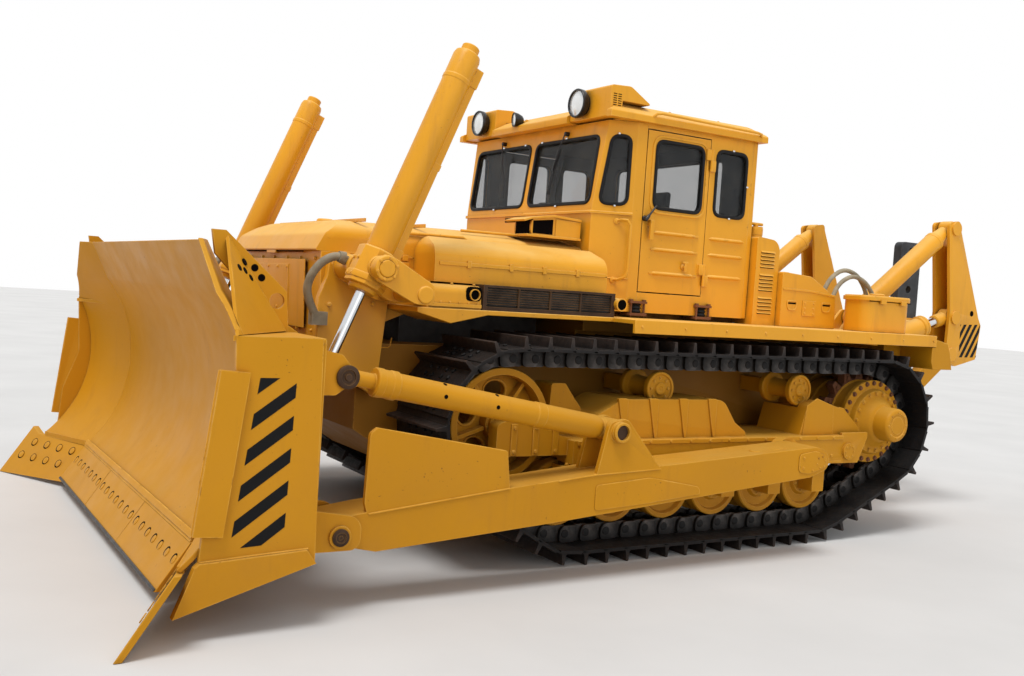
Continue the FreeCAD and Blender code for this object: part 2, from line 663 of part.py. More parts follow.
def fender():
    """The deck over one track: a top plate with an outer lip and a front run-down."""
    top = box(FENDER_REAR_X, FENDER_FRONT_X, FENDER_IN_Y, FENDER_OUT_Y, FENDER_TOP_Z - 30.0, FENDER_TOP_Z)
    lip = box(FENDER_REAR_X, FENDER_FRONT_X, FENDER_OUT_Y - 25.0, FENDER_OUT_Y, FENDER_LOW_Z,
              FENDER_TOP_Z - 10.0)
    front = prism_y([(FENDER_FRONT_X - 10.0, FENDER_TOP_Z), (3870, FENDER_TOP_Z), (3870, 1560),
                     (3640, 1500), (3380, 1560), (FENDER_FRONT_X - 10.0, 1560)],
                    HOOD_HALF_W + FIT, GRILLE_Y + 20.0)
    end = box(FENDER_REAR_X, FENDER_REAR_X + 20.0, FENDER_IN_Y, FENDER_OUT_Y, FENDER_LOW_Z,
              FENDER_TOP_Z - 10.0)
    return fused([top, lip, front, end])


CAB_PLAN = [(CAB_REAR_X, CAB_HALF_W), (CAB_REAR_X, -CAB_HALF_W), (CAB_CORNER_X, -CAB_HALF_W),
            (CAB_FRONT_X, -CAB_CORNER_Y), (CAB_FRONT_X, CAB_CORNER_Y), (CAB_CORNER_X, CAB_HALF_W)]


def cab_shell():
    """All the cab's walls as one ring, before they are split into panels."""
    inner = [(CAB_REAR_X + WALL, CAB_HALF_W - WALL), (CAB_REAR_X + WALL, -CAB_HALF_W + WALL),
             (CAB_CORNER_X - 8.0, -CAB_HALF_W + WALL), (CAB_FRONT_X - WALL, -CAB_CORNER_Y + 12.0),
             (CAB_FRONT_X - WALL, CAB_CORNER_Y - 12.0), (CAB_CORNER_X - 8.0, CAB_HALF_W - WALL)]
    outer = prism_z(CAB_PLAN, CAB_LOW_Z, CAB_TOP_Z).cut(screen_slab(0.0, -400.0))
    room = prism_z(inner, CAB_LOW_Z - 10.0, CAB_TOP_Z + 10.0).cut(screen_slab(WALL, -400.0))
    return outer.cut(room)


def screen_slab(near, far):
    """A slab that leans back like the windscreen, between two depths behind its face."""
    rise = 100.0
    slope = SCREEN_LEAN / (CAB_TOP_Z - SCREEN_FOOT_Z)
    top_x = CAB_FRONT_X - SCREEN_LEAN - slope * rise
    outline = [(CAB_FRONT_X - near, SCREEN_FOOT_Z), (CAB_FRONT_X - far, SCREEN_FOOT_Z),
               (top_x - far, CAB_TOP_Z + rise), (top_x - near, CAB_TOP_Z + rise)]
    return prism_y(outline, -CAB_HALF_W - 50.0, CAB_HALF_W + 50.0)


def pane_outline(a, b, inset):
    """A window's outline with rounded corners, from one side to the other."""
    low = WIN_LOW_Z + inset
    top = WIN_TOP_Z - inset
    a += inset
    b -= inset
    return [(a, low, PANE_R), (b, low, PANE_R), (b, top, PANE_R), (a, top, PANE_R)]


def corner_window(y_sign, thick, inset):
    """The slanted corner window, as a block across the corner's wall."""
    a = (CAB_FRONT_X, CAB_CORNER_Y)
    b = (CAB_CORNER_X, CAB_HALF_W)
    length = math.hypot(b[0] - a[0], b[1] - a[1])
    along = ((b[0] - a[0]) / length, (b[1] - a[1]) / length)
    out = (-along[1], along[0])
    if out[0] < 0:
        out = (-out[0], -out[1])
    slope = SCREEN_LEAN / (CAB_TOP_Z - SCREEN_FOOT_Z) * length / (CAB_FRONT_X - CAB_CORNER_X)
    low = WIN_LOW_Z + inset
    top = WIN_TOP_Z - inset
    near = CORNER_POST_W + inset
    outline = [(near + slope * (low - SCREEN_FOOT_Z), low, PANE_R),
               (near + slope * (top - SCREEN_FOOT_Z), top, PANE_R), (length - near, top, PANE_R),
               (length - near, low, PANE_R)]

    def place(t, z):
        return V(a[0] + along[0] * t + out[0] * thick[0], a[1] + along[1] * t + out[1] * thick[0], z)

    depth = thick[1] - thick[0]
    block = Part.Face(wire(outline, place)).extrude(V(out[0] * depth, out[1] * depth, 0))
    return block if y_sign > 0 else mirrored(block)


WIN_LOW_Z = 2380.0
WIN_TOP_Z = 2860.0
CORNER_POST_W = 45.0
FRONT_PANES = ((40.0, CAB_CORNER_Y - 40.0), (40.0 - CAB_CORNER_Y, -40.0))
SIDE_PANE = (1050.0, 1350.0)
REAR_PANE = (335.0 - CAB_HALF_W, CAB_HALF_W - 335.0)
DOOR_PANE = (1480.0, 1920.0)


def cab_walls():
    """The cab's front, side and rear panels with their windows cut."""
    shell = cab_shell()
    front_cut = []
    for y0, y1 in FRONT_PANES:
        front_cut.append(prism_x(pane_outline(y0, y1, 0.0), CAB_CORNER_X + 50.0, CAB_FRONT_X + 50.0))
    for sign in (1.0, -1.0):
        front_cut.append(corner_window(sign, (-80.0, 60.0), 0.0))
    reach = CAB_HALF_W + 65.0
    low = CAB_LOW_Z - 50.0
    top = CAB_TOP_Z + 50.0
    front_zone = box(DOOR_FRONT_X + GAP, CAB_FRONT_X + 50.0, -reach, reach, low, top)
    front = less(shell.common(front_zone), front_cut)
    rear_zone = box(CAB_REAR_X - 10.0, CAB_REAR_X + WALL, -reach, reach, low, top)
    rear_hole = prism_x(pane_outline(REAR_PANE[0], REAR_PANE[1], 0.0), CAB_REAR_X - 50.0, CAB_REAR_X + 100.0)
    rear = less(shell.common(rear_zone), [rear_hole])
    side_zone = box(CAB_REAR_X + WALL + FIT, DOOR_FRONT_X + GAP - FIT, CAB_HALF_W - WALL, CAB_HALF_W,
                    CAB_LOW_Z, CAB_TOP_Z)
    door_hole = box(HINGE_X - FIT, DOOR_FRONT_X + 50.0, CAB_HALF_W - 100.0, CAB_HALF_W + 50.0,
                    DOOR_LOW_Z - GAP, DOOR_TOP_Z + GAP)
    pane_hole = prism_y(pane_outline(SIDE_PANE[0], SIDE_PANE[1], 0.0), CAB_HALF_W - 100.0, CAB_HALF_W + 50.0)
    lugs = []
    for z in (DOOR_LOW_Z + 150.0, DOOR_TOP_Z - 150.0):
        lugs.append(rod((HINGE_X, HINGE_Y, z - 80.0), (HINGE_X, HINGE_Y, z - FIT), 12.0))
        lugs.append(box(HINGE_X - 40.0, HINGE_X, CAB_HALF_W - 5.0, HINGE_Y + 4.0, z - 80.0, z - FIT))
    side = fused([less(side_zone, [door_hole, pane_hole])] + lugs)
    return front, rear, side


def cab_glass():
    """The panes of the fixed windows, each seated in the middle of its wall."""
    middle = WALL / 2.0
    panes = []
    half = GLASS_T / 2.0
    for y0, y1 in FRONT_PANES:
        sheet = prism_x(pane_outline(y0, y1, FIT), CAB_CORNER_X + 50.0, CAB_FRONT_X + 50.0)
        panes.append(sheet.common(screen_slab(middle - half, middle + half)))
    panes.append(prism_x(pane_outline(REAR_PANE[0], REAR_PANE[1], FIT), CAB_REAR_X + middle,
                         CAB_REAR_X + middle + GLASS_T))
    for sign in (1.0, -1.0):
        y = sign * (CAB_HALF_W - middle)
        panes.append(prism_y(pane_outline(SIDE_PANE[0], SIDE_PANE[1], FIT), y - half, y + half))
        panes.append(corner_window(sign, (-middle - half, -middle + half), FIT))
    return panes


def door():
    """The left door with its window hole, pressed ribs and hinge knuckles."""
    panel = box(DOOR_REAR_X, DOOR_FRONT_X, CAB_HALF_W - WALL, CAB_HALF_W, DOOR_LOW_Z, DOOR_TOP_Z)
    hole = prism_y(pane_outline(DOOR_PANE[0], DOOR_PANE[1], 0.0), CAB_HALF_W - 100.0, CAB_HALF_W + 50.0)
    parts = [less(panel, [hole])]
    for z in (1910.0, 2080.0, 2200.0):
        parts.append(box(DOOR_PANE[0], DOOR_PANE[1], CAB_HALF_W - 5.0, CAB_HALF_W + 8.0, z, z + 14.0))
    for z in (DOOR_LOW_Z + 150.0, DOOR_TOP_Z - 150.0):
        parts.append(rod((HINGE_X, HINGE_Y, z), (HINGE_X, HINGE_Y, z + 80.0), 12.0))
        parts.append(box(HINGE_X, HINGE_X + 50.0, CAB_HALF_W - 5.0, HINGE_Y + 4.0, z, z + 80.0))
    rear = DOOR_FRONT_X - 70.0
    front = DOOR_FRONT_X - 40.0
    parts.append(box(rear, front, CAB_HALF_W - 5.0, CAB_HALF_W + 45.0, HANDLE_TOP_Z - 40.0, HANDLE_TOP_Z))
    parts.append(box(rear, front, CAB_HALF_W + 30.0, CAB_HALF_W + 48.0, HANDLE_LOW_Z, HANDLE_TOP_Z))
    return fused(parts)


def door_pane():
    """The glass of the left door."""
    y = CAB_HALF_W - WALL / 2.0
    return prism_y(pane_outline(DOOR_PANE[0], DOOR_PANE[1], FIT), y - GLASS_T / 2.0, y + GLASS_T / 2.0)


def roof():
    """The crowned roof with its drip rails."""
    low = CAB_TOP_Z + FIT
    side = [(CAB_REAR_X - ROOF_LIP, low), (CAB_FRONT_X + 20.0, low), (CAB_FRONT_X + 20.0, low + 50.0, 20),
            (CAB_FRONT_X - 120.0, ROOF_TOP_Z, 60), (CAB_REAR_X + 60.0, ROOF_TOP_Z, 60),
            (CAB_REAR_X - ROOF_LIP, low + 60.0, 20)]
    half = CAB_HALF_W + ROOF_LIP
    section = [(-half, low), (half, low), (half, low + 45.0, 15), (half - 130.0, ROOF_TOP_Z, 90),
               (130.0 - half, ROOF_TOP_Z, 90), (-half, low + 45.0, 15)]
    block = prism_y(side, -half - 20.0, half + 20.0)
    block = block.common(prism_x(section, CAB_REAR_X - 100.0, CAB_FRONT_X + 100.0))
    seats = both([box(LAMP_BOX_X - FIT, CAB_FRONT_X + 100.0, LAMP_BOX_IN_Y - FIT, LAMP_BOX_OUT_Y + FIT,
                      low - 10.0, ROOF_TOP_Z + 100.0)])
    panel = box(CAB_REAR_X + 150.0, CAB_CORNER_X - 120.0, 60.0 - LAMP_BOX_IN_Y, LAMP_BOX_IN_Y - 60.0,
                ROOF_TOP_Z - 10.0, ROOF_TOP_Z + PANEL_H)
    return fused([less(block, seats), panel])


def lamp_box():
    """A lamp housing let into the roof's front corner, with a tail running back over the roof."""
    side = [(LAMP_BOX_X, CAB_TOP_Z + 12.0), (LAMP_FACE_X, CAB_TOP_Z + 12.0),
            (LAMP_FACE_X, ROOF_TOP_Z + 100.0, 20), (LAMP_FACE_X - 170.0, ROOF_TOP_Z + 110.0, 60),
            (LAMP_TAIL_X, ROOF_TOP_Z + 12.0), (LAMP_TAIL_X, ROOF_TOP_Z + FIT),
            (LAMP_BOX_X, ROOF_TOP_Z + FIT)]
    return prism_y(side, LAMP_BOX_IN_Y, LAMP_BOX_OUT_Y)


def headlamp():
    """A round lamp on the housing's front: a short neck, the rim and the sunk glass."""
    x = LAMP_FACE_X + FIT
    neck = rod((x, LAMP_Y, LAMP_Z), (x + 30.0, LAMP_Y, LAMP_Z), LAMP_R - 25.0)
    rim = rod((x + 20.0, LAMP_Y, LAMP_Z), (x + 75.0, LAMP_Y, LAMP_Z), LAMP_R)
    glass = rod((x + 65.0, LAMP_Y, LAMP_Z), (x + 90.0, LAMP_Y, LAMP_Z), LAMP_R - 12.0)
    return less(fused([neck, rim]), [glass])


def rear_boxes():
    """Boxes and the tank on the left rear deck."""
    louvre = prism_y([(705, FENDER_TOP_Z + FIT), (942, FENDER_TOP_Z + FIT), (942, 2260, 20),
                      (705, 2240, 90)], BOX_IN_Y, BOX_IN_Y + 270.0)
    cap = rod((860.0, BOX_IN_Y + 150.0, 2230.0), (860.0, BOX_IN_Y + 150.0, 2340.0), 55.0)
    vents = []
    for group in range(3):
        for i in range(5):
            z = 1680.0 + group * 175.0 + i * 28.0
            root_y = BOX_IN_Y + 265.0
            vents.append(prism_x([(root_y, z), (root_y, z + 20), (root_y + 17.0, z)], 755.0, 900.0))
    side = prism_y([(90, FENDER_TOP_Z + FIT), (700, FENDER_TOP_Z + FIT), (700, 2010, 15), (390, 1990, 20),
                    (100, 1840, 30)], BOX_IN_Y, BOX_IN_Y + 320.0)
    tank = prism_z([(-450, TANK_IN_Y, 90), (80, TANK_IN_Y, 90), (80, TANK_OUT_Y, 90), (-450, TANK_OUT_Y, 90)],
                   FENDER_TOP_Z + FIT, 1850.0)
    rim_in = TANK_IN_Y - 15.0
    rim_out = TANK_OUT_Y + 15.0
    lid = prism_z([(-465, rim_in, 100), (95, rim_in, 100), (95, rim_out, 100), (-465, rim_out, 100)], 1835.0,
                  1868.0)
    return [fused([louvre, cap] + vents), side, fused([tank, lid])]


def hose(points, radius):
    """A hose held at both ends: straight runs joined by arcs as large as the runs allow."""
    edges = []
    start = V(*points[0])
    for i in range(1, len(points) - 1):
        corner = V(*points[i])
        back = V(*points[i - 1]) - corner
        ahead = V(*points[i + 1]) - corner
        reach = 0.45 * min(back.Length, ahead.Length)
        back.normalize()
        ahead.normalize()
        half = back.getAngle(ahead) / 2.0
        inward = (back + ahead).normalize()
        near = corner + back * reach
        top = corner + inward * (reach / math.cos(half) - reach * math.tan(half))
        far = corner + ahead * reach
        edges.append(Part.makeLine(start, near))
        edges.append(Part.Arc(near, top, far).toShape())
        start = far
    edges.append(Part.makeLine(start, V(*points[-1])))
    ring = Part.Wire([Part.makeCircle(radius, V(*points[0]), V(*points[1]) - V(*points[0]))])
    return Part.Wire(edges).makePipeShell([ring], True, False)


def deck_hoses():
    """The two hoses that arch over the left rear deck beside the ripper's lugs, with their fittings."""
    foot = FENDER_TOP_Z + FIT
    pieces = []
    for y, line in ((DECK_HALF_W + 34.0, ((30, foot), (32, 1840), (-60, 2005), (-215, 2090), (-385, 2050),
                                           (-500, 1930), (-547, 1770), (-545, foot))),
                    (DECK_HALF_W + 90.0, ((-20, foot), (-22, 1810), (-105, 1965), (-265, 2042), (-425, 1995),
                                           (-535, 1885), (-592, 1750), (-590, foot)))):
        path = [(x, y, z) for x, z in line]
        pieces.append(fused([hose(path, DECK_HOSE_R)] + [rod((x, y, foot), (x, y, foot + 70.0), 27.0)
                                                         for x in (line[0][0], line[-1][0])]))
    return pieces


def rear_beam():
    """One of the tail arms behind a fender, with its box end."""
    reach = FENDER_OUT_Y - 4.0
    outer = TAIL_ARM_Y + TAIL_ARM_W
    root = box(HULL_REAR_X + 4.0, -400.0, HULL_HALF_W + FIT, outer, 1395.0, DECK_LOW_Z - FIT)
    arm = box(-700.0, -400.0, TAIL_ARM_Y, outer, 1395.0, FENDER_LOW_Z - 3.0)
    end = prism_y([(-600, 1385), (-620, 1320), (-860, 1320), (-830, 1440), (-790, 1530),
                   (FENDER_REAR_X - 3.0, 1560), (FENDER_REAR_X - 3.0, 1497), (-600, 1497)],
                  outer - 10.0, reach)
    return fused([root, arm, end])


def lift_bracket():
    """The bracket that carries one lift cylinder's trunnion at both sides."""
    plate = prism_y([(3930, 1000), (HOOD_FRONT_X + 40.0, 1240), (HOOD_FRONT_X + 40.0, 1600),
                     (LIFT_X + 110, LIFT_Z - 60), (LIFT_X + 90, LIFT_Z + 80, 60),
                     (LIFT_X - 90, LIFT_Z + 80, 60), (3880, 1600)], HOOD_HALF_W + FIT,
                    HOOD_HALF_W + 60.0)
    parts = [plate]
    root = HOOD_HALF_W + 55.0
    for y0, y1 in ((root, LIFT_Y - 145.0), (LIFT_Y + 145.0, LIFT_Y + 225.0)):
        parts.append(rod_y(LIFT_X, LIFT_Z, y0, y1, LIFT_BOSS_R))
        parts.append(prism_y([(3850, 1600), (3990, 1600), (LIFT_X + 40, LIFT_Z - 60),
                              (LIFT_X - 60, LIFT_Z + 70), (3850, 1740)], y0, y1))
    parts.append(box(3850.0, 3990.0, root, LIFT_Y + 225.0, 1600.0, 1740.0))
    whole = fused(parts)
    return less(whole, [rod_y(LIFT_X, LIFT_Z, root + 15.0, LIFT_Y + 400.0, 50.0 + FIT)])


def lift_hose():
    """The wrapped hose from a trunnion's boss to the block on its bracket's plate."""
    block = box(4300.0, 4400.0, HOOD_HALF_W + 60.0 + FIT, HOOD_HALF_W + 120.0, 1440.0, 1520.0)
    offsets = ((4262, 250, 1853), (4335, 243, 1858), (4402, 222, 1815), (4447, 192, 1740), (4458, 160, 1660),
               (4430, 130, 1590), (4375, 95, 1505))
    path = [(x, HOOD_HALF_W + y, z) for x, y, z in offsets]
    fitting = rod(path[0], path[1], LIFT_HOSE_R + 9.0).common(
        box(4250.0, 4300.0, HOOD_HALF_W, HOOD_HALF_W + 400.0, 1700.0, 2000.0))
    socket_y = HOOD_HALF_W + 251.0
    socket = rod((4300.0, socket_y, 1853.0), (4255.0, socket_y, 1835.0), LIFT_HOSE_R + 5.0)
    boss = rod_y(LIFT_X, LIFT_Z, HOOD_HALF_W, LIFT_Y, LIFT_BOSS_R + FIT)
    return less(fused([block, hose(path, LIFT_HOSE_R), fitting, socket]), [boss])


LIFT_ANGLE = heading((LIFT_X, LIFT_Z), (LIFT_EYE_X, LIFT_EYE_Z))


def lift_barrel():
    """A lift cylinder's barrel with its trunnion block, side pipe and top nut."""
    up = LIFT_ANGLE + math.pi
    top = polar((LIFT_X, LIFT_Z), up, LIFT_TUBE_L)
    gland = polar((LIFT_X, LIFT_Z), LIFT_ANGLE, 150.0)
    tube = rod((gland[0], LIFT_Y, gland[1]), (top[0], LIFT_Y, top[1]), LIFT_TUBE_R)
    nut_end = polar((LIFT_X, LIFT_Z), up, LIFT_TUBE_L + 45.0)
    nut = rod((top[0], LIFT_Y, top[1]), (nut_end[0], LIFT_Y, nut_end[1]), 55.0)
    block = prism_y(strip(polar((LIFT_X, LIFT_Z), LIFT_ANGLE, 125.0),
                          polar((LIFT_X, LIFT_Z), up, 110.0), 112.0), LIFT_Y - 115.0, LIFT_Y + 115.0)
    pins = rod_y(LIFT_X, LIFT_Z, LIFT_Y - 225.0, LIFT_Y + 235.0, 50.0)
    side = up - math.pi / 2.0
    near = polar(polar((LIFT_X, LIFT_Z), side, -LIFT_TUBE_R - 12.0), up, 60.0)
    far = polar(polar((LIFT_X, LIFT_Z), side, -LIFT_TUBE_R - 12.0), up, LIFT_TUBE_L - 80.0)
    pipe = prism_y(strip(near, far, 32.0), LIFT_Y - 30.0, LIFT_Y + 30.0)
    solid = fused([tube, nut, block, pins, pipe])
    deep = polar((LIFT_X, LIFT_Z), up, LIFT_TUBE_L - 40.0)
    mouth = polar((LIFT_X, LIFT_Z), LIFT_ANGLE, 200.0)
    return less(solid, [rod((mouth[0], LIFT_Y, mouth[1]), (deep[0], LIFT_Y, deep[1]), LIFT_ROD_R + FIT)])


def lift_rod():
    """A lift cylinder's rod with its eye between the blade's ears."""
    inner = polar((LIFT_X, LIFT_Z), LIFT_ANGLE + math.pi, 620.0)
    end = (LIFT_EYE_X, LIFT_EYE_Z)
    bar = rod((inner[0], LIFT_Y, inner[1]), polar_y(end, LIFT_ANGLE, -60.0, LIFT_Y), LIFT_ROD_R)
    eye = prism_y(eye_outline(end, LIFT_ANGLE + math.pi, 62.0, 80.0), LIFT_Y - 40.0, LIFT_Y + 40.0)
    return less(fused([bar, eye]), [rod_y(LIFT_EYE_X, LIFT_EYE_Z, LIFT_Y - 60.0, LIFT_Y + 60.0, 30.0)])


# Front face of the blade at its middle: an arc from the edge up to the visor, as (x, z)
FACE_LOW = (5190.0, 340.0)
FACE_MID = (4898.0, 960.0)
FACE_TOP = (5105.0, 1620.0)
VISOR_TOP = (5230.0, 1880.0)
# The room that the blade's cutting tools cover
BLADE_ROOM_X = (4000.0, 7000.0)
BLADE_ROOM_Z = (-500.0, 2500.0)


def sheet_edges(behind, y):
    """The blade sheet's section as edges: an arc and the straight visor, set back from the front."""
    mid = heading(FACE_LOW, FACE_TOP)
    arc = Part.Arc(V(FACE_LOW[0], y, FACE_LOW[1]), V(FACE_MID[0], y, FACE_MID[1]),
                   V(FACE_TOP[0], y, FACE_TOP[1])).toShape()
    curve = arc.Curve
    centre = curve.Center
    points = []
    for at in (FACE_LOW, FACE_MID, FACE_TOP):
        out = V(at[0], y, at[1]) - centre
        points.append(centre + out * ((curve.Radius + behind) / curve.Radius))
    tip = V(VISOR_TOP[0] - behind * math.sin(mid), y, VISOR_TOP[1])
    return Part.Arc(*points).toShape(), Part.makeLine(points[2], tip), points[0], tip


def sheet_section(y, ahead, behind):
    """The face between two lines that follow the blade's section, one ahead and one behind the front."""
    arc_a, visor_a, foot_a, tip_a = sheet_edges(ahead, y)
    arc_b, visor_b, foot_b, tip_b = sheet_edges(behind, y)
    edges = [arc_a, visor_a, Part.makeLine(tip_a, tip_b), visor_b, arc_b, Part.makeLine(foot_b, foot_a)]
    return Part.Face(Part.Wire(Part.__sortEdges__(edges)))


def wing_turned(piece):
    """A piece of the blade's straight middle, turned into the left wing's direction about the fold."""
    piece = piece.copy()
    piece.rotate(V(FACE_LOW[0], BLADE_FOLD_Y, 0), V(0, 0, 1), -WING_ANGLE)
    return piece


def mitre_block():
    """All that lies inward of the mitre plane, in which the left wing meets the middle."""
    lean = math.tan(math.radians(WING_ANGLE / 2.0))
    plan = []
    for x in (BLADE_ROOM_X[0], BLADE_ROOM_X[1]):
        plan.append((x, BLADE_FOLD_Y - (x - FACE_LOW[0]) * lean))
    return prism_z([(plan[0][0], -BLADE_ROOM_X[1]), plan[0], plan[1], (plan[1][0], -BLADE_ROOM_X[1])],
                   BLADE_ROOM_Z[0], BLADE_ROOM_Z[1])


def bent(section, outer_y):
    """A section of the blade drawn across its width: the left half's middle, and its wing."""
    inner = section.extrude(V(0, outer_y, 0)).common(mitre_block())
    reach = (outer_y - BLADE_FOLD_Y) * 1.4 + 200.0
    wing = section.copy()
    wing.translate(V(0, BLADE_FOLD_Y - 200.0, 0))
    wing = wing_turned(wing.extrude(V(0, reach, 0))).cut(mitre_block())
    wing = wing.common(box(BLADE_ROOM_X[0], BLADE_ROOM_X[1], 0.0, outer_y, BLADE_ROOM_Z[0], BLADE_ROOM_Z[1]))
    wing.translate(V(0, FIT, 0))
    return inner, wing


def mouldboard():
    """The blade's curved sheet between its two folds, and the left wing."""
    half, wing = bent(sheet_section(0.0, 0.0, BLADE_T), BLADE_SIDE_Y - BLADE_T - FIT)
    top_y = GUSSET_Y + 8.0
    slope = prism_x([(top_y, VISOR_TOP[1]), (top_y, 2100), (BLADE_SIDE_Y + 245.0, 2100),
                     (BLADE_SIDE_Y + 245.0, 1240), (BLADE_SIDE_Y, 1430)], BLADE_ROOM_X[0], BLADE_ROOM_X[1])
    return fused(both([half])), wing.cut(slope)


def blade_frame():
    """The beams and ribs on the blade's back, one by one, and the ears of the lift cylinders."""
    back = FACE_MID[0] - 225.0
    front = FACE_TOP[0] + 100.0
    reach = BLADE_FOLD_Y - 60.0
    beams = [[(back, 1330), (front, 1330), (front, 1560), (back + 180, 1530), (back, 1420)],
             [(back, 620), (front, 620), (front, 840), (back, 840)],
             [(back + 60, 300), (FACE_LOW[0] - 40, 300), (front, 460), (back + 60, 480)]]
    members = [prism_y(beam, -reach, reach) for beam in beams]
    upper = [(back, 840 + FIT), (front, 840 + FIT), (front, 1330 - FIT), (back, 1330 - FIT)]
    lower = [(back, 620 - FIT), (back + 60, 480 + FIT), (front, 460 + FIT), (front, 620 - FIT)]
    half = RIB_T / 2.0
    for y in (350.0, 1050.0, reach - half):
        members.extend(both([prism_y(upper, y - half, y + half), prism_y(lower, y - half, y + half)]))
    trimmed = [member.cut(sheet_room()) for member in members]
    for y in (LIFT_Y - 85.0, LIFT_Y + 50.0):
        ear = prism_y([(LIFT_EYE_X - 70, LIFT_EYE_Z - 60, 60), (back - FIT, 640), (back - FIT, 960),
                       (LIFT_EYE_X - 70, LIFT_EYE_Z + 80, 60)], y, y + LUG_T)
        trimmed.extend(both([ear]))
    return trimmed


def sheet_room():
    """All that lies ahead of the curved sheet's back."""
    arc, visor, foot, tip = sheet_edges(BLADE_T + FIT, -2000.0)
    ahead = V(tip.x + 600.0, tip.y, tip.z)
    low = V(tip.x + 600.0, tip.y, foot.z - 200.0)
    edges = [arc, visor, Part.makeLine(tip, ahead), Part.makeLine(ahead, low),
             Part.makeLine(low, V(foot.x, foot.y, foot.z - 200.0)),
             Part.makeLine(V(foot.x, foot.y, foot.z - 200.0), foot)]
    return Part.Face(Part.Wire(Part.__sortEdges__(edges))).extrude(V(0, 4000.0, 0))


def end_plate():
    """One side of the blade: the end plate, its wear strips, the top gusset and the arm ears."""
    outline = [(5210, 1430), (4780, 1430), (4760, 334), (5440, 120), (5350, 350), (5330, 370),
               (5300, 700), (5190, 1000)]
    plate = prism_y(outline, BLADE_SIDE_Y - 25.0, BLADE_SIDE_Y)
    strip_front = prism_y([(5280, 1270), (5140, 1260), (5230, 490), (5370, 500)], BLADE_SIDE_Y - 10.0,
                          BLADE_SIDE_Y + 30.0)
    wear = prism_y([(4760, 330), (4810, 400), (5330, 370), (5350, 350), (5440, 120)],
                   BLADE_SIDE_Y - 5.0, BLADE_SIDE_Y + 22.0)
    gusset = prism_y([(5230, 1930), (5160, 1930), (4830, 1640), (4810, 1410), (5210, 1810)], GUSSET_Y,
                     GUSSET_Y + 25.0)
    gusset = less(gusset, [rod_y(4880.0, 1590.0, GUSSET_Y - 100.0, GUSSET_Y + 100.0, 40.0)])
    slope_y = GUSSET_Y + 17.0
    corners = [V(5212.0, BLADE_SIDE_Y - 5.0, 1425.0), V(4835.0, slope_y, 1430.0), V(5160.0, slope_y, 1895.0)]
    normal = (corners[2] - corners[0]).cross(corners[1] - corners[0]).normalize()
    slope = Part.Face(Part.makePolygon(corners + corners[:1])).extrude(normal * -18.0)
    top = prism_z([(4765.0, GUSSET_Y), (4765.0, BLADE_SIDE_Y - 5.0), (5222.0, BLADE_SIDE_Y - 5.0),
                   (5045.0, GUSSET_Y)], 1405.0, 1430.0)
    inner = BLADE_FOLD_Y - 45.0
    back = box(4760.0, 4785.0, inner, BLADE_SIDE_Y - 10.0, 400.0, 1420.0)
    root_plan = [(4775, inner), (4775, inner + 25.0), (5120, GUSSET_Y + 15.0), (5150, GUSSET_Y - 5.0)]
    root = prism_z(root_plan, 1000.0, 1400.0)
    ears = []
    for y0 in (ARM_OUT_Y - ARM_W - 45.0, ARM_OUT_Y + 10.0):
        ears.append(prism_y([(4450, 330, 60), (4790, 330), (4790, 560), (4450, 500, 80)], y0, y0 + LUG_T))
    for y0 in (ARM_OUT_Y - 220.0, ARM_OUT_Y - 30.0):
        ears.append(prism_y([(4790, 1380), (4590, 1340, 30), (4490, 1220, 40), (4620, 1130, 30),
                             (4790, 1130)], y0, y0 + LUG_T))
    low_y = ARM_OUT_Y - ARM_W - 145.0
    high_y = BLADE_SIDE_Y - BLADE_T - 30.0
    holes = [rod_y(ARM_PIN_X, ARM_PIN_Z, low_y, high_y, ARM_PIN_R + FIT),
             rod_y(BRACE_FRONT_X, BRACE_FRONT_Z, low_y, high_y, BRACE_PIN_R + FIT)]
    whole = less(fused([plate, strip_front, wear, gusset, slope, top, back, root] + ears), holes)
    middle, wing = bent(sheet_section(0.0, -FIT, BLADE_T + FIT), BLADE_SIDE_Y - BLADE_T)
    grown = [middle, wing, wing.translated(V(0, -2.0 * FIT, 0))]
    return max(less(whole, grown).Solids, key=lambda solid: solid.Volume)


def cutting_edge():
    """The bolted edge along the blade's foot."""
    low = (5370.0, EDGE_LOW_Z)
    top = (FACE_LOW[0] - 20.0, BIT_TOP_Z - 4.0)
    outline = [(top[0] + 2.0, top[1] - FIT), (top[0] + 40.0, top[1] - FIT), (low[0] + 10.0, low[1]),
               (low[0] - 30.0, low[1])]
    return prism_y(outline, -BLADE_FOLD_Y, BLADE_FOLD_Y)


def end_bit():
    """The bolted bit at one end of the edge, reaching out past the end plate."""
    top_in = V(5172.0, BLADE_FOLD_Y + FIT, BIT_TOP_Z)
    top_out = V(5480.0, BIT_TIP_Y, BIT_TOP_Z + 44.0)
    tip = V(BIT_TIP_X, BIT_TIP_Y, 0.0)
    normal = (top_out - top_in).cross(tip - top_in)

    def on_plane(y, z):
        return V(top_in.x - ((y - top_in.y) * normal.y + (z - top_in.z) * normal.z) / normal.x, y, z)

    corners = [top_in, on_plane(BLADE_SIDE_Y + 35.0, BIT_TOP_Z), top_out, tip,
               on_plane(BLADE_FOLD_Y + FIT, 40.0)]
    return Part.Face(Part.makePolygon(corners + [top_in])).extrude(V(-BIT_T, 0, 0))


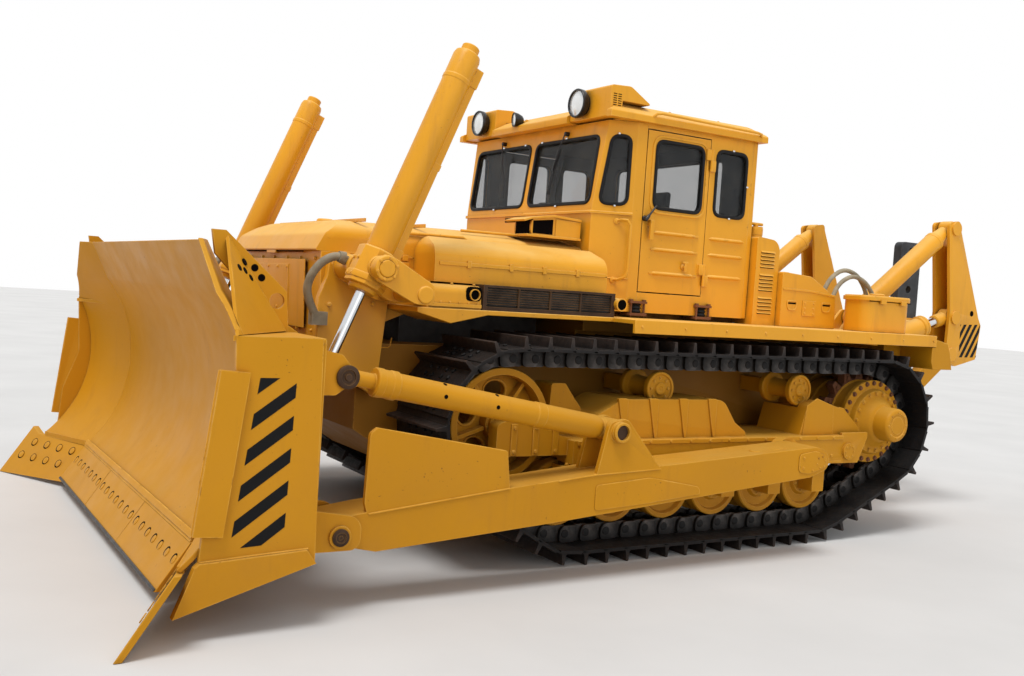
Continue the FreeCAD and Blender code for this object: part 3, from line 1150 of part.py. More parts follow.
def push_arm():
    """The left push arm: a tapered box with its shield plate, brace lugs and pins."""
    y0 = ARM_OUT_Y - ARM_W
    outline = [(1060, 790), (950, 760, 90), (925, 640, 90), (1110, 580), (2110, 490), (3190, 390),
               (4340, 300), (4480, 330, 60), (4660, 400, 80), (4640, 480, 60), (4360, 520), (2890, 670),
               (2140, 720)]
    arm = prism_y(outline, y0, ARM_OUT_Y)
    shield = prism_y([(3530, 600), (4400, 500), (4420, 560), (4410, 930, 40), (4370, 960), (3560, 820, 20)],
                     ARM_OUT_Y - 30.0, ARM_OUT_Y)
    parts = [arm, shield]
    for y in (BRACE_Y - BRACE_LUG_REACH, BRACE_Y + BRACE_LUG_REACH - LUG_T):
        parts.append(prism_y([(2930, 660), (BRACE_REAR_X + 70.0, BRACE_REAR_Z + 60.0, 60),
                              (BRACE_REAR_X - 60.0, BRACE_REAR_Z + 80.0, 60), (2440, 680)], y, y + LUG_T))
    parts.append(rod_y(BRACE_REAR_X, BRACE_REAR_Z, BRACE_Y - BRACE_LUG_REACH + 5.0,
                       BRACE_Y + BRACE_LUG_REACH - 5.0, BRACE_PIN_R))
    parts.append(rod_y(BRACE_REAR_X, BRACE_REAR_Z, BRACE_Y + BRACE_LUG_REACH - LUG_T,
                       BRACE_Y + BRACE_LUG_REACH + 20.0, BRACE_HEAD_R))
    parts.append(rod_y(ARM_PIN_X, ARM_PIN_Z, y0 - 60.0, ARM_OUT_Y + 62.0, ARM_PIN_R))
    bore = rod_y(ARM_PIVOT_X, ARM_PIVOT_Z, y0 - 10.0, ARM_OUT_Y - 30.0 + FIT, ARM_PIVOT_R + FIT)
    return less(fused(parts), [bore])


def brace():
    """The tilt brace between arm and blade: a bored tube with a collar and a screwed rod."""
    start = (BRACE_REAR_X, BRACE_REAR_Z)
    end = (BRACE_FRONT_X, BRACE_FRONT_Z)
    angle = heading(start, end)
    tube_start = polar(start, angle, 70.0)
    tube_end = polar(end, angle, -200.0)
    collar_start = polar(end, angle, -330.0)
    y = BRACE_Y
    half = BRACE_LUG_REACH - LUG_T - FIT
    pieces = [rod((tube_start[0], y, tube_start[1]), (tube_end[0], y, tube_end[1]), 72.0),
              rod((collar_start[0], y, collar_start[1]), (tube_end[0], y, tube_end[1]), 80.0),
              rod((tube_end[0], y, tube_end[1]), polar_y(end, angle, -60.0, y), 43.0),
              prism_y(eye_outline(start, angle, 72.0, 100.0), y - half, y + half),
              prism_y(eye_outline(end, angle + math.pi, 72.0, 90.0), y - 50.0, y + 50.0),
              rod_y(end[0], end[1], ARM_OUT_Y - 215.0, ARM_OUT_Y - 10.0, BRACE_PIN_R),
              rod_y(end[0], end[1], ARM_OUT_Y + 5.0 + FIT, ARM_OUT_Y + 28.0, BRACE_HEAD_R),
              rod_y(end[0], end[1], ARM_OUT_Y - 11.0, ARM_OUT_Y + 6.0, BRACE_PIN_R)]
    bore = rod_y(start[0], start[1], BRACE_Y - 300.0, BRACE_Y + 300.0, BRACE_PIN_R + FIT)
    return less(fused(pieces), [bore])


def polar_y(start, angle, length, y):
    """A point in space, at an angle and length from a point of the side view, at a given Y."""
    at = polar(start, angle, length)
    return (at[0], y, at[1])


def eye_outline(centre, angle, radius, neck):
    """The side view of a rod end: a round eye whose sides run on as a straight neck at an angle."""
    corners = []
    for along, across, turn in ((-radius, -radius, radius), (-radius, radius, radius), (neck, radius, 0.0),
                                (neck, -radius, 0.0)):
        x = centre[0] + along * math.cos(angle) - across * math.sin(angle)
        z = centre[1] + along * math.sin(angle) + across * math.cos(angle)
        corners.append((x, z, turn))
    return corners


def ripper_bore(point):
    """The tool that bores a ripper's link for its pin."""
    return rod_y(point[0], point[1], RIP_Y - RIP_BORE_REACH, RIP_Y + RIP_BORE_REACH, RIP_PIN_R + FIT)


def ripper_mount():
    """The wall plate and lugs on the hull's rear that carry the ripper's links and cylinders."""
    wall = box(HULL_REAR_X - 40.0, HULL_REAR_X - FIT, -DECK_HALF_W + 30.0, DECK_HALF_W - 30.0, 460.0, 1340.0)
    pieces = [wall]
    for y0 in (RIP_LUG_IN_Y, RIP_LUG_OUT_Y):
        y1 = y0 + RIP_LUG_T
        low = [(HULL_REAR_X - 30.0, RIP_LOW[1] - 110.0), (RIP_LOW[0] - 70.0, RIP_LOW[1] - 75.0, 65),
               (RIP_LOW[0] - 75.0, RIP_LOW[1] + 70.0, 65), (HULL_REAR_X - 30.0, RIP_LOW[1] + 170.0)]
        mid = [(HULL_REAR_X - 30.0, 1180), (RIP_LIFT[0] - 70.0, RIP_LIFT[1] - 90.0, 60),
               (RIP_LIFT[0] - 75.0, RIP_LIFT[1] + 70.0, 65), (HULL_REAR_X - 40.0, RIP_LIFT[1] + 40.0),
               (HULL_REAR_X - 40.0, 1330)]
        pieces.extend(both([prism_y(low, y0, y1), prism_y(mid, y0, y1)]))
    joined = both([rod_y(point[0], point[1], RIP_LUG_IN_Y + 5.0, RIP_LUG_OUT_Y + 5.0, RIP_PIN_R)
                   for point in (RIP_LOW, RIP_LIFT)])
    return fused(pieces + joined)


def ripper_tower():
    """The lugs on the rear deck that hold one upper cylinder."""
    pieces = [box(HULL_REAR_X + 10.0, RIP_UP[0] + 280.0, RIP_LUG_IN_Y - 30.0, DECK_HALF_W - 3.0,
                  DECK_TOP_Z + FIT, DECK_TOP_Z + 30.0)]
    for y0 in (RIP_LUG_IN_Y, RIP_LUG_OUT_Y):
        lug = [(HULL_REAR_X + 15.0, DECK_TOP_Z + 20.0), (RIP_UP[0] - 60.0, RIP_UP[1] + 10.0, 30),
               (RIP_UP[0] - 60.0, RIP_UP[1] + 65.0, 55), (RIP_UP[0] + 70.0, RIP_UP[1] + 65.0, 55),
               (RIP_UP[0] + 250.0, DECK_TOP_Z + 20.0)]
        pieces.append(prism_y(lug, y0, y0 + RIP_LUG_T))
    pieces.append(rod_y(RIP_UP[0], RIP_UP[1], RIP_LUG_IN_Y + 5.0, RIP_LUG_OUT_Y + 5.0, RIP_PIN_R))
    return fused(pieces)


def ripper_frame():
    """The lower frame: two arms, a cross tube and bored ends."""
    arms = []
    angle = heading(RIP_LOW, RIP_FOOT)
    span = math.hypot(RIP_FOOT[0] - RIP_LOW[0], RIP_FOOT[1] - RIP_LOW[1])
    bar = eye_outline(RIP_LOW, angle, 80.0, 0.0)[:2] + eye_outline(RIP_FOOT, angle + math.pi, 80.0, 0.0)[:2]
    arms.append(prism_y(bar, RIP_Y - RIP_ARM_W / 2.0, RIP_Y + RIP_ARM_W / 2.0))
    cross = polar(RIP_LOW, angle, span / 2.0 + 35.0)
    tube = rod_y(cross[0], cross[1], -RIP_Y, RIP_Y, 95.0)
    gusset = prism_z([(cross[0] + 300.0, RIP_Y - 30.0), (cross[0] - 300.0, RIP_Y - 30.0),
                      (cross[0] - 60.0, RIP_Y - 280.0), (cross[0] + 60.0, RIP_Y - 280.0)],
                     -15.0, 15.0)
    gusset.rotate(V(cross[0], 0, 0), V(0, 1, 0), -math.degrees(angle) + 180.0)
    gusset.translate(V(0, 0, cross[1]))
    bores = [ripper_bore(RIP_LOW), ripper_bore(RIP_FOOT)]
    return less(fused([tube] + both(arms + [gusset])), both(bores))


def ripper_carrier():
    """The two forked levers joined by the shank beam, with the pins at foot, knee and head."""
    outline = [(-1590, 2600, 40), (-1740, 2625, 60), (-1755, 2560, 40), (-2120, 1760), (-2165, 1690, 20),
               (-2125, 1375, 20), (-1830, 1305, 30), (-1690, 1370, 60), (-1700, 1800)]
    levers = []
    for y0 in (RIP_PLATE_IN_Y, RIP_PLATE_OUT_Y):
        levers.append(prism_y(outline, y0, y0 + RIP_PLATE_T))
    spacer = [(-1960, 2050), (-2120, 1745), (-2160, 1690), (-2122, 1380), (-1960, 1345), (-1960, 1700),
              (-1885, 2030)]
    levers.append(prism_y(spacer, RIP_PLATE_IN_Y, RIP_PLATE_OUT_Y + 10.0))
    back = [(-1805, 2410), (-1880, 2290), (-1950, 2130), (-1990, 2050), (-1960, 2030), (-1780, 2400)]
    levers.append(prism_y(back, RIP_PLATE_IN_Y, RIP_PLATE_OUT_Y + 10.0))
    for point in (RIP_FOOT, RIP_HEAD):
        levers.append(rod_y(point[0], point[1], RIP_PLATE_IN_Y + 5.0, RIP_PLATE_OUT_Y + 5.0, RIP_PIN_R))
    for point in (RIP_FOOT, RIP_KNEE, RIP_HEAD):
        levers.append(rod_y(point[0], point[1], RIP_PLATE_OUT_Y + 10.0, RIP_PLATE_OUT_Y + RIP_PLATE_T + 15.0,
                            RIP_HEAD_R))
    beam = prism_y([(-1930, 1380), (-1930, 1690, 20), (SHANK_FRONT_X - 60.0, 1700),
                    (SHANK_FRONT_X - 60.0, 1370)], -RIP_PLATE_IN_Y - 10.0, RIP_PLATE_IN_Y + 10.0)
    pocket = box(SHANK_REAR_X - POCKET_T, SHANK_FRONT_X + 40.0, -130.0, 130.0, 1360.0, 1720.0)
    slot = box(SHANK_REAR_X - FIT, SHANK_FRONT_X + FIT, -SHANK_T / 2.0 - FIT, SHANK_T / 2.0 + FIT, 1300.0,
               1800.0)
    return less(fused(both(levers) + [beam, pocket]), [slot])


def shank():
    """The ripper shank with its adjusting holes and its pointed, forward-curved foot."""
    middle = (SHANK_FRONT_X + SHANK_REAR_X) / 2.0
    outline = [(SHANK_FRONT_X, SHANK_TOP_Z, 60), (SHANK_REAR_X, SHANK_TOP_Z, 60), (SHANK_REAR_X, 1100, 300),
               (SHANK_FRONT_X - 90.0, SHANK_TIP_Z + 60.0), (SHANK_FRONT_X + 190.0, SHANK_TIP_Z),
               (SHANK_FRONT_X + 60.0, SHANK_TIP_Z + 150.0), (SHANK_FRONT_X, 1000, 200)]
    body = prism_y(outline, -SHANK_T / 2.0, SHANK_T / 2.0)
    holes = []
    for z in (2380.0, 2000.0):
        holes.append(rod_y(middle, z, -SHANK_T, SHANK_T, 38.0))
    return less(body, holes)


def ripper_tilt():
    """One upper cylinder from the deck's lugs to the lever's head."""
    angle = heading(RIP_UP, RIP_HEAD)
    length = math.hypot(RIP_HEAD[0] - RIP_UP[0], RIP_HEAD[1] - RIP_UP[1])
    a = polar(RIP_UP, angle, 130.0)
    b = polar(RIP_UP, angle, length - 165.0)
    half = RIP_ARM_W / 2.0
    pieces = [rod((a[0], RIP_Y, a[1]), (b[0], RIP_Y, b[1]), RIP_TUBE_R)]
    pieces.append(prism_y(eye_outline(RIP_UP, angle, 70.0, 150.0), RIP_Y - half, RIP_Y + half))
    pieces.append(prism_y(eye_outline(RIP_HEAD, angle + math.pi, 70.0, 180.0), RIP_Y - half, RIP_Y + half))
    bores = [ripper_bore(end) for end in (RIP_UP, RIP_HEAD)]
    return less(fused(pieces), bores)


RIP_BARREL_L = 760.0


def ripper_barrel():
    """One lift cylinder's barrel with its bolted flange."""
    angle = heading(RIP_LIFT, RIP_KNEE)
    half = RIP_ARM_W / 2.0
    a = polar(RIP_LIFT, angle, 120.0)
    b = polar(RIP_LIFT, angle, RIP_BARREL_L)
    c = polar(RIP_LIFT, angle, RIP_BARREL_L - 60.0)
    pieces = [rod((a[0], RIP_Y, a[1]), (b[0], RIP_Y, b[1]), RIP_BARREL_R - 12.0),
              rod((c[0], RIP_Y, c[1]), (b[0], RIP_Y, b[1]), RIP_BARREL_R),
              prism_y(eye_outline(RIP_LIFT, angle, 70.0, 135.0), RIP_Y - half, RIP_Y + half)]
    mouth = polar(RIP_LIFT, angle, RIP_BARREL_L + 20.0)
    floor = polar(RIP_LIFT, angle, 150.0)
    bores = [ripper_bore(RIP_LIFT),
             rod((floor[0], RIP_Y, floor[1]), (mouth[0], RIP_Y, mouth[1]), RIP_ROD_R + FIT)]
    return less(fused(pieces), bores)


def ripper_rod():
    """One lift cylinder's rod with its eye at the lever's knee."""
    angle = heading(RIP_LIFT, RIP_KNEE)
    half = RIP_ARM_W / 2.0
    inner = polar(RIP_LIFT, angle, 170.0)
    bar = rod((inner[0], RIP_Y, inner[1]), polar_y(RIP_KNEE, angle, -100.0, RIP_Y), RIP_ROD_R)
    eye = prism_y(eye_outline(RIP_KNEE, angle + math.pi, 75.0, 120.0), RIP_Y - half, RIP_Y + half)
    return fused([bar, eye])


def seat():
    """The driver's seat on its pedestal."""
    base = box(1250.0, 1550.0, -200.0, 200.0, CAB_LOW_Z + FLOOR_T + FIT, 2010.0)
    cushion = prism_y([(1180, 2000), (1680, 2000), (1700, 2120, 40), (1180, 2120, 20)], -260.0, 260.0)
    back = prism_y([(1130, 2010), (1230, 2010), (1190, 2620, 40), (1080, 2620, 40)], -240.0, 240.0)
    return fused([base, cushion, back])


def console():
    """The dashboard under the windscreen with two levers' boxes."""
    desk = prism_y([(CAB_FRONT_X - WALL - FIT, CAB_LOW_Z + FLOOR_T + FIT), (CAB_FRONT_X - WALL - FIT, 2350),
                    (2180, 2330, 20), (2080, 2210, 20), (2200, CAB_LOW_Z + FLOOR_T + FIT)],
                   235.0 - CAB_HALF_W, CAB_HALF_W - 235.0)
    return desk


def build():
    """Makes every node."""
    front, rear, side = cab_walls()
    rear_x = CAB_REAR_X + WALL + FIT
    front_x = CAB_FRONT_X - WALL - FIT
    side_y = CAB_HALF_W - WALL - FIT
    floor_plan = [(rear_x, side_y), (rear_x, -side_y), (CAB_CORNER_X - 15.0, -side_y),
                  (front_x, 20.0 - CAB_CORNER_Y), (front_x, CAB_CORNER_Y - 20.0),
                  (CAB_CORNER_X - 15.0, side_y)]
    step = (WHEEL_LAST_X - WHEEL_FIRST_X) / (WHEEL_COUNT - 1)
    wheels = [road_wheel(WHEEL_FIRST_X + i * step) for i in range(WHEEL_COUNT)]
    save("hull", [hull()])
    save("engine", [box(ENGINE_X0, ENGINE_X1, -ENGINE_HALF_W, ENGINE_HALF_W, HULL_TOP_Z + FIT, ENGINE_TOP_Z)])
    save("radiator_case", [radiator_case()])
    save("hood", [hood()])
    save("side_fairings", both([fairing()]))
    save("side_grilles", both([side_grille()]))
    save("air_boxes", both([air_box()]))
    save("fenders", both([fender()]))
    save("cab_floor", [prism_z(floor_plan, CAB_LOW_Z, CAB_LOW_Z + FLOOR_T)])
    save("cab_front", [front])
    save("cab_rear", [rear])
    save("cab_sides", both([side]))
    save("cab_glass", cab_glass())
    save("cab_roof", [roof()])
    save("lamp_boxes", both([lamp_box()]))
    save("headlamps", both([headlamp()]))
    save("seat", [seat()])
    save("console", [console()])
    save("door_left", [door()])
    save("door_right", [mirrored(door())])
    save("door_glass_left", [door_pane()])
    save("door_glass_right", [mirrored(door_pane())])
    boxes = rear_boxes()
    save("louvre_boxes", both(boxes[:1]))
    save("deck_boxes", both(boxes[1:2]))
    save("tanks", both(boxes[2:]))
    save("deck_hoses", both(deck_hoses()))
    save("tail_arms", both([rear_beam()]))
    save("track_frames", both([track_frame()]))
    save("tracks", both([track()]))
    save("sprockets", both([sprocket()]))
    save("idlers", both([idler()]))
    save("carrier_rollers", both([carrier_roller(x) for x in CARRIER_X]))
    save("road_wheels", both(wheels))
    save("lift_brackets", both([lift_bracket()]))
    middle, wing = mouldboard()
    save("lift_hoses", both([lift_hose()]))
    save("blade", [middle])
    save("blade_wings", both([wing]))
    save("blade_ends", both([end_plate()]))
    save("blade_frame", blade_frame())
    save("cutting_edge", [cutting_edge()])
    save("end_bits", both([end_bit()]))
    save("push_arms", both([push_arm()]))
    save("tilt_braces", both([brace()]))
    save("lift_barrels", both([lift_barrel()]))
    save("lift_rods", both([lift_rod()]))
    save("ripper_mount", [ripper_mount()])
    save("ripper_towers", both([ripper_tower()]))
    save("ripper_frame", [ripper_frame()])
    save("ripper_carrier", [ripper_carrier()])
    save("ripper_shank", [shank()])
    save("ripper_tilt_cylinders", both([ripper_tilt()]))
    save("ripper_lift_barrels", both([ripper_barrel()]))
    save("ripper_lift_rods", both([ripper_rod()]))


build()
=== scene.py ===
import json
import math

import bmesh
import bpy
from mathutils import Matrix, Vector


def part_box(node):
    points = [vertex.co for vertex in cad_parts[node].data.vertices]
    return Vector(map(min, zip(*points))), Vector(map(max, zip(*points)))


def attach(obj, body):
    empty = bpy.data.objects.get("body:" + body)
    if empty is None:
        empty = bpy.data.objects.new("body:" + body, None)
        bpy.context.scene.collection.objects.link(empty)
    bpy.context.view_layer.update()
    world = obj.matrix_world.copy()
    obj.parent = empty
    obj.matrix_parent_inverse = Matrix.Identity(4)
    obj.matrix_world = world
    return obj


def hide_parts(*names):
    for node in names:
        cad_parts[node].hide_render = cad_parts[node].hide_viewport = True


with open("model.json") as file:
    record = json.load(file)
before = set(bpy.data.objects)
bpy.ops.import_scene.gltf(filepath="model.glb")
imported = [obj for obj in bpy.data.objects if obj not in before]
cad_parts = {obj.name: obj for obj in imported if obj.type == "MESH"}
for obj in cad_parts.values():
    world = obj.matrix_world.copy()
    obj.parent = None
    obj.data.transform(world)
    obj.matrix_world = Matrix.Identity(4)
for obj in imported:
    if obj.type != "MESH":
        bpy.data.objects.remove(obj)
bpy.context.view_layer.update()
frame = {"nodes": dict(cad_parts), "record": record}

NODES = frame["nodes"]
RECORD = frame["record"]
BODY_OF = {name: body for body, names in RECORD["behaviour"]["bodies"].items() for name in names}
SLOT_OF = {part["node"]: part["material_slot"] for part in RECORD["subparts"]}

LONG_AXIS = (1, 0, 0)
SIDE_AXIS = (0, 1, 0)
RISE_AXIS = (0, 0, 1)
SIDES = (1.0, -1.0)

# The stations of the drawings start 120 mm ahead of the sprocket's shaft
SPROCKET_STATION = -0.120
IDLER_STATION = 3.267
AXLE_Z = 0.885
TRACK_Y = 1.225
SHIFT = SPROCKET_STATION - sum(corner.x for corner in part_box("sprockets")) / 2.0

# The cab's side face, the windscreen's foot and how far it leans back with height, and the windows
CAB_SIDE_Y = 1.035
SCREEN_X = 2.360
SCREEN_FOOT_Z = 2.350
SCREEN_SLOPE = 0.075 / 0.615
WINDOW_LOW = 2.380
WINDOW_HIGH = 2.860
WINDOW_CORNER = 0.065


def at(x, y, z):
    """A point of the drawings, in the frame."""
    return Vector((x - SHIFT, y, z))


# Finishes

class Finish:
    """A material's node tree while it is made."""

    def __init__(self, name):
        self.material = bpy.data.materials.new(name)
        self.material.use_nodes = True
        self.tree = self.material.node_tree
        self.tree.nodes.clear()
        self.place = self.node("ShaderNodeTexCoord").outputs["Object"]

    def node(self, kind, inputs=None, **settings):
        """A node with its settings; an input is a plain value or another node's output."""
        made = self.tree.nodes.new(kind)
        for key, value in settings.items():
            setattr(made, key, value)
        for key, value in (inputs or {}).items():
            if isinstance(value, bpy.types.NodeSocket):
                self.tree.links.new(value, made.inputs[key])
            else:
                made.inputs[key].default_value = value
        return made

    def noise(self, scale, detail=4.0, rough=0.55, stretch=None):
        """Cloudy noise between 0 and 1; stretch scales the pattern along each axis."""
        where = self.place
        if stretch:
            where = self.node("ShaderNodeMapping", {"Vector": where, "Scale": stretch}).outputs[0]
        return self.node("ShaderNodeTexNoise", {"Vector": where, "Scale": scale, "Detail": detail,
                                                "Roughness": rough}).outputs["Fac"]

    def span(self, value, low, high, to_low=0.0, to_high=1.0):
        """The value mapped from one range to another and held within it."""
        return self.node("ShaderNodeMapRange", {0: value, 1: low, 2: high, 3: to_low, 4: to_high}).outputs[0]

    def sum(self, a, b, operation="MULTIPLY"):
        """Two numbers joined by an operation and held between 0 and 1."""
        return self.node("ShaderNodeMath", {0: a, 1: b}, operation=operation, use_clamp=True).outputs[0]

    def mix(self, share, a, b):
        """Colour a turned into colour b by a share."""
        return self.node("ShaderNodeMix", {0: share, 6: a, 7: b}, data_type="RGBA").outputs[2]

    def edges(self, radius):
        """A mask that is 1 along edges that stand out or lie in."""
        soft = self.node("ShaderNodeBevel", {"Radius": radius}, samples=4).outputs[0]
        hard = self.node("ShaderNodeNewGeometry").outputs["Normal"]
        dot = self.node("ShaderNodeVectorMath", {0: soft, 1: hard}, operation="DOT_PRODUCT").outputs["Value"]
        return self.span(dot, 0.995, 0.9)

    def crevices(self, distance):
        """A mask that is 1 where surfaces lie close together."""
        open_to = self.node("ShaderNodeAmbientOcclusion", {"Distance": distance}, samples=4).outputs["AO"]
        return self.span(open_to, 0.75, 0.3)

    def upward(self):
        """A mask that is 1 on surfaces that face up."""
        normal = self.node("ShaderNodeNewGeometry").outputs["Normal"]
        height = self.node("ShaderNodeSeparateXYZ", {0: normal}).outputs["Z"]
        return self.span(height, 0.35, 0.95)

    def low(self, bottom, top):
        """A mask that is 1 near the ground and 0 from the top height up."""
        return self.span(self.node("ShaderNodeSeparateXYZ", {0: self.place}).outputs["Z"], top, bottom)

    def number(self, a, b, operation):
        """Two numbers joined by an operation, left as they come."""
        return self.node("ShaderNodeMath", {0: a, 1: b}, operation=operation).outputs[0]

    def inside_cab(self):
        """A mask that is 1 on the inner faces of the cab's walls, doors and roof."""
        parts = self.node("ShaderNodeSeparateXYZ", {0: self.place}).outputs
        x = self.number(parts["X"], SHIFT, "ADD")
        y = self.number(parts["Y"], 0.0, "ABSOLUTE")
        z = parts["Z"]
        lean = self.number(self.number(z, SCREEN_FOOT_Z, "SUBTRACT"), 0.0, "MAXIMUM")
        screen = self.number(x, self.number(lean, SCREEN_SLOPE, "MULTIPLY"), "ADD")
        corner = self.number(self.number(x, 0.461, "MULTIPLY"), self.number(y, 0.887, "MULTIPLY"), "ADD")
        mask = self.span(screen, 2.340, 2.336)
        for value, limit, step in ((x, 0.972, 0.004), (y, 1.013, -0.004), (corner, 1.864, -0.004),
                                   (z, 1.680, 0.004), (z, 2.985, -0.004)):
            mask = self.sum(mask, self.span(value, limit - step / 2, limit + step / 2))
        return mask

    def worn(self, name):
        """The share of wear that a shape carries on its corners."""
        return self.node("ShaderNodeAttribute", attribute_name=name).outputs["Fac"]

    def bump(self, height, strength, distance, normal=None):
        """A bumped normal."""
        inputs = {"Height": height, "Strength": strength, "Distance": distance}
        if normal:
            inputs["Normal"] = normal
        return self.node("ShaderNodeBump", inputs).outputs[0]

    def done(self, inputs):
        """Joins the surface and hands the material over."""
        shader = self.node("ShaderNodeBsdfPrincipled", inputs)
        self.node("ShaderNodeOutputMaterial", {"Surface": shader.outputs[0]})
        return self.material


def shade(colour, factor):
    """A colour made lighter or darker, as RGBA."""
    return tuple(min(1.0, part * factor) for part in colour[:3]) + (1.0,)


# Grime, and painted shade for hollows and corners
GRIME_AND_SHADE = (0.070, 0.036, 0.014, 1.0)
RUST = (0.15, 0.052, 0.016, 1.0)
# Dust, and painted light on upward faces
DUST_AND_TOP_LIGHT = (0.84, 0.58, 0.20, 1.0)
STREAK = (0.40, 0.170, 0.022, 1.0)
# Rubbed paint, and a painted highlight along edges
RUBBED_AND_HIGHLIGHT = (0.92, 0.56, 0.13, 1.0)
# Near black, for the inner faces of the cab
INSIDE_TONE = (0.030, 0.029, 0.028, 1.0)
# A darker tone towards the ground
LOW_DARK_TONE = (0.33, 0.145, 0.026, 1.0)
# Dimmer dust and painted top light for the upward faces of the low pieces
LOW_DUST_AND_TOP_LIGHT = (0.56, 0.31, 0.06, 1.0)
MUD = (0.052, 0.042, 0.032, 1.0)
DRY_MUD = (0.085, 0.070, 0.054, 1.0)
DARK_RUST = (0.090, 0.040, 0.022, 1.0)
GREY_DUST = (0.30, 0.25, 0.19, 1.0)
PANE_DUST = (0.60, 0.56, 0.48, 1.0)


def enamel(name, colour, dirt=1.0, gloss=0.34, dark_inside=False, dust=DUST_AND_TOP_LIGHT, mirror=0.30):
    """Brushed-on enamel: cloudy tone, dust and painted top light on top, streaks down the sides, grime and painted
    shade in the corners, chips.
    """
    f = Finish(name)
    base = f.mix(f.span(f.noise(1.1, 5.0), 0.3, 0.7), shade(colour, 0.90), shade(colour, 1.07))
    streaks = f.span(f.noise(2.6, 7.0, 0.65, (3.0, 3.0, 0.35)), 0.56, 0.8, 0.0, 0.42 * dirt)
    base = f.mix(streaks, base, STREAK)
    # Darker in patches towards the ground
    toward_ground = f.sum(f.low(0.25, 1.5), f.span(f.noise(2.2, 9.0, 0.62), 0.38, 0.70, 0.0, 0.42 * dirt))
    base = f.mix(toward_ground, base, LOW_DARK_TONE)
    # Paler upward faces: dust, and painted top light
    top_share = f.sum(f.upward(), f.span(f.noise(3.4, 8.0, 0.6), 0.30, 0.72, 0.28, 0.72))
    base = f.mix(top_share, base, dust)
    # Grime and painted shade where ambient occlusion finds hollows and corners
    close = f.sum(f.crevices(0.08), f.span(f.noise(7.0, 6.0), 0.34, 0.66, 0.28, 0.72 * dirt))
    base = f.mix(close, base, GRIME_AND_SHADE)
    # Paler edges: rubbed wear, and a painted highlight
    rim = f.edges(0.009)
    base = f.mix(f.sum(rim, f.span(f.noise(6.0, 6.0), 0.40, 0.62, 0.10, 0.55)), base, RUBBED_AND_HIGHLIGHT)
    bare = f.sum(rim, f.span(f.noise(9.0, 9.0, 0.7), 0.57, 0.64))
    base = f.mix(f.sum(bare, 0.7 * dirt), base, RUST)
    chips = f.sum(f.span(f.noise(48.0, 3.0), 0.69, 0.73), f.span(f.noise(1.9, 4.0), 0.50, 0.66))
    scrapes = f.sum(f.span(f.noise(20.0, 5.0, 0.6, (0.6, 1.0, 6.0)), 0.71, 0.75),
                    f.span(f.noise(0.9, 3.0), 0.52, 0.66))
    base = f.mix(f.sum(f.sum(chips, scrapes, "MAXIMUM"), 0.75 * min(dirt, 1.0)), base, RUST)
    rough = f.span(f.noise(5.0, 6.0), 0.3, 0.7, gloss - 0.06, gloss + 0.12)
    rough = f.sum(rough, f.sum(f.sum(top_share, close, "MAXIMUM"), 0.5), "ADD")
    if dark_inside:
        # The inner faces of the cab's walls, doors and roof are turned near black
        inside_share = f.inside_cab()
        base = f.mix(inside_share, base, INSIDE_TONE)
        rough = f.sum(rough, inside_share, "ADD")
    waves = f.bump(f.noise(2.3, 2.0), 0.25, 0.012)
    skin = f.bump(f.noise(130.0, 3.0), 0.08, 0.002, waves)
    return f.done({"Base Color": base, "Roughness": rough, "Normal": skin, "Specular IOR Level": mirror})


def steel(name, colour, mud=0.5, gloss=0.5, bright=(0.42, 0.40, 0.38, 1.0), shine=0.35, rub=None):
    """Dark worn steel: mud in the hollows, rubbed bright edges, rust, and wear where the shape says."""
    f = Finish(name)
    base = f.mix(f.span(f.noise(6.0, 6.0), 0.3, 0.7), shade(colour, 0.7), shade(colour, 1.5))
    muddy = f.sum(f.crevices(0.06), f.span(f.noise(11.0, 8.0, 0.65), 0.36, 0.62, 0.15, mud))
    base = f.mix(muddy, base, MUD)
    top_share = f.sum(f.upward(), f.span(f.noise(8.0, 8.0, 0.65), 0.42, 0.70, 0.0, 0.6 * mud))
    base = f.mix(top_share, base, DRY_MUD)
    rusty = f.span(f.noise(17.0, 5.0), 0.60, 0.74, 0.0, 0.4 * mud)
    base = f.mix(rusty, base, DARK_RUST)
    rubbed = f.sum(f.edges(0.007), f.span(f.noise(13.0, 5.0), 0.40, 0.60, 0.1, shine))
    base = f.mix(rubbed, base, bright)
    if rub:
        tips = f.sum(f.worn("wear"), f.span(f.noise(24.0, 7.0, 0.65), 0.30, 0.62, 0.25, 1.0))
        base = f.mix(tips, base, rub)
    rough = f.span(f.noise(25.0, 5.0), 0.3, 0.7, gloss, gloss + 0.22)
    pits = f.bump(f.noise(70.0, 8.0, 0.7), 0.45, 0.004)
    return f.done({"Base Color": base, "Roughness": rough, "Metallic": 0.2, "Normal": pits,
                   "Specular IOR Level": 0.3})


def plain(name, colour, gloss, metal=0.0, grain=90.0, depth=0.15, spread=0.12, mirror=0.5):
    """A simple finish with a slight grain, for rubber, plastic, chrome and lamp glass."""
    f = Finish(name)
    base = f.mix(f.span(f.noise(14.0, 5.0), 0.3, 0.7), shade(colour, 1.0 - spread), shade(colour, 1.0 + spread))
    top_share = f.sum(f.upward(), f.span(f.noise(9.0, 6.0), 0.4, 0.75, 0.0, 0.22 * (1.0 - metal)))
    base = f.mix(top_share, base, GREY_DUST)
    rough = f.span(f.noise(20.0, 5.0), 0.3, 0.7, max(0.02, gloss - 0.05), gloss + 0.08)
    skin = f.bump(f.noise(grain, 4.0), depth, 0.001)
    return f.done({"Base Color": base, "Roughness": rough, "Metallic": metal, "Normal": skin,
                   "Specular IOR Level": mirror})


def pane(name, tint, clear):
    """Window glass: a clear pane with faint patches of dust."""
    f = Finish(name)
    dust = f.span(f.noise(6.0, 7.0, 0.6), 0.45, 0.8, 0.0, 0.16)
    base = f.mix(dust, tint, PANE_DUST)
    rough = f.span(f.noise(9.0, 4.0), 0.3, 0.7, 0.02, 0.07)
    return f.done({"Base Color": base, "Roughness": rough, "Alpha": 1.0 - clear, "IOR": 1.45,
                   "Specular IOR Level": 0.5})


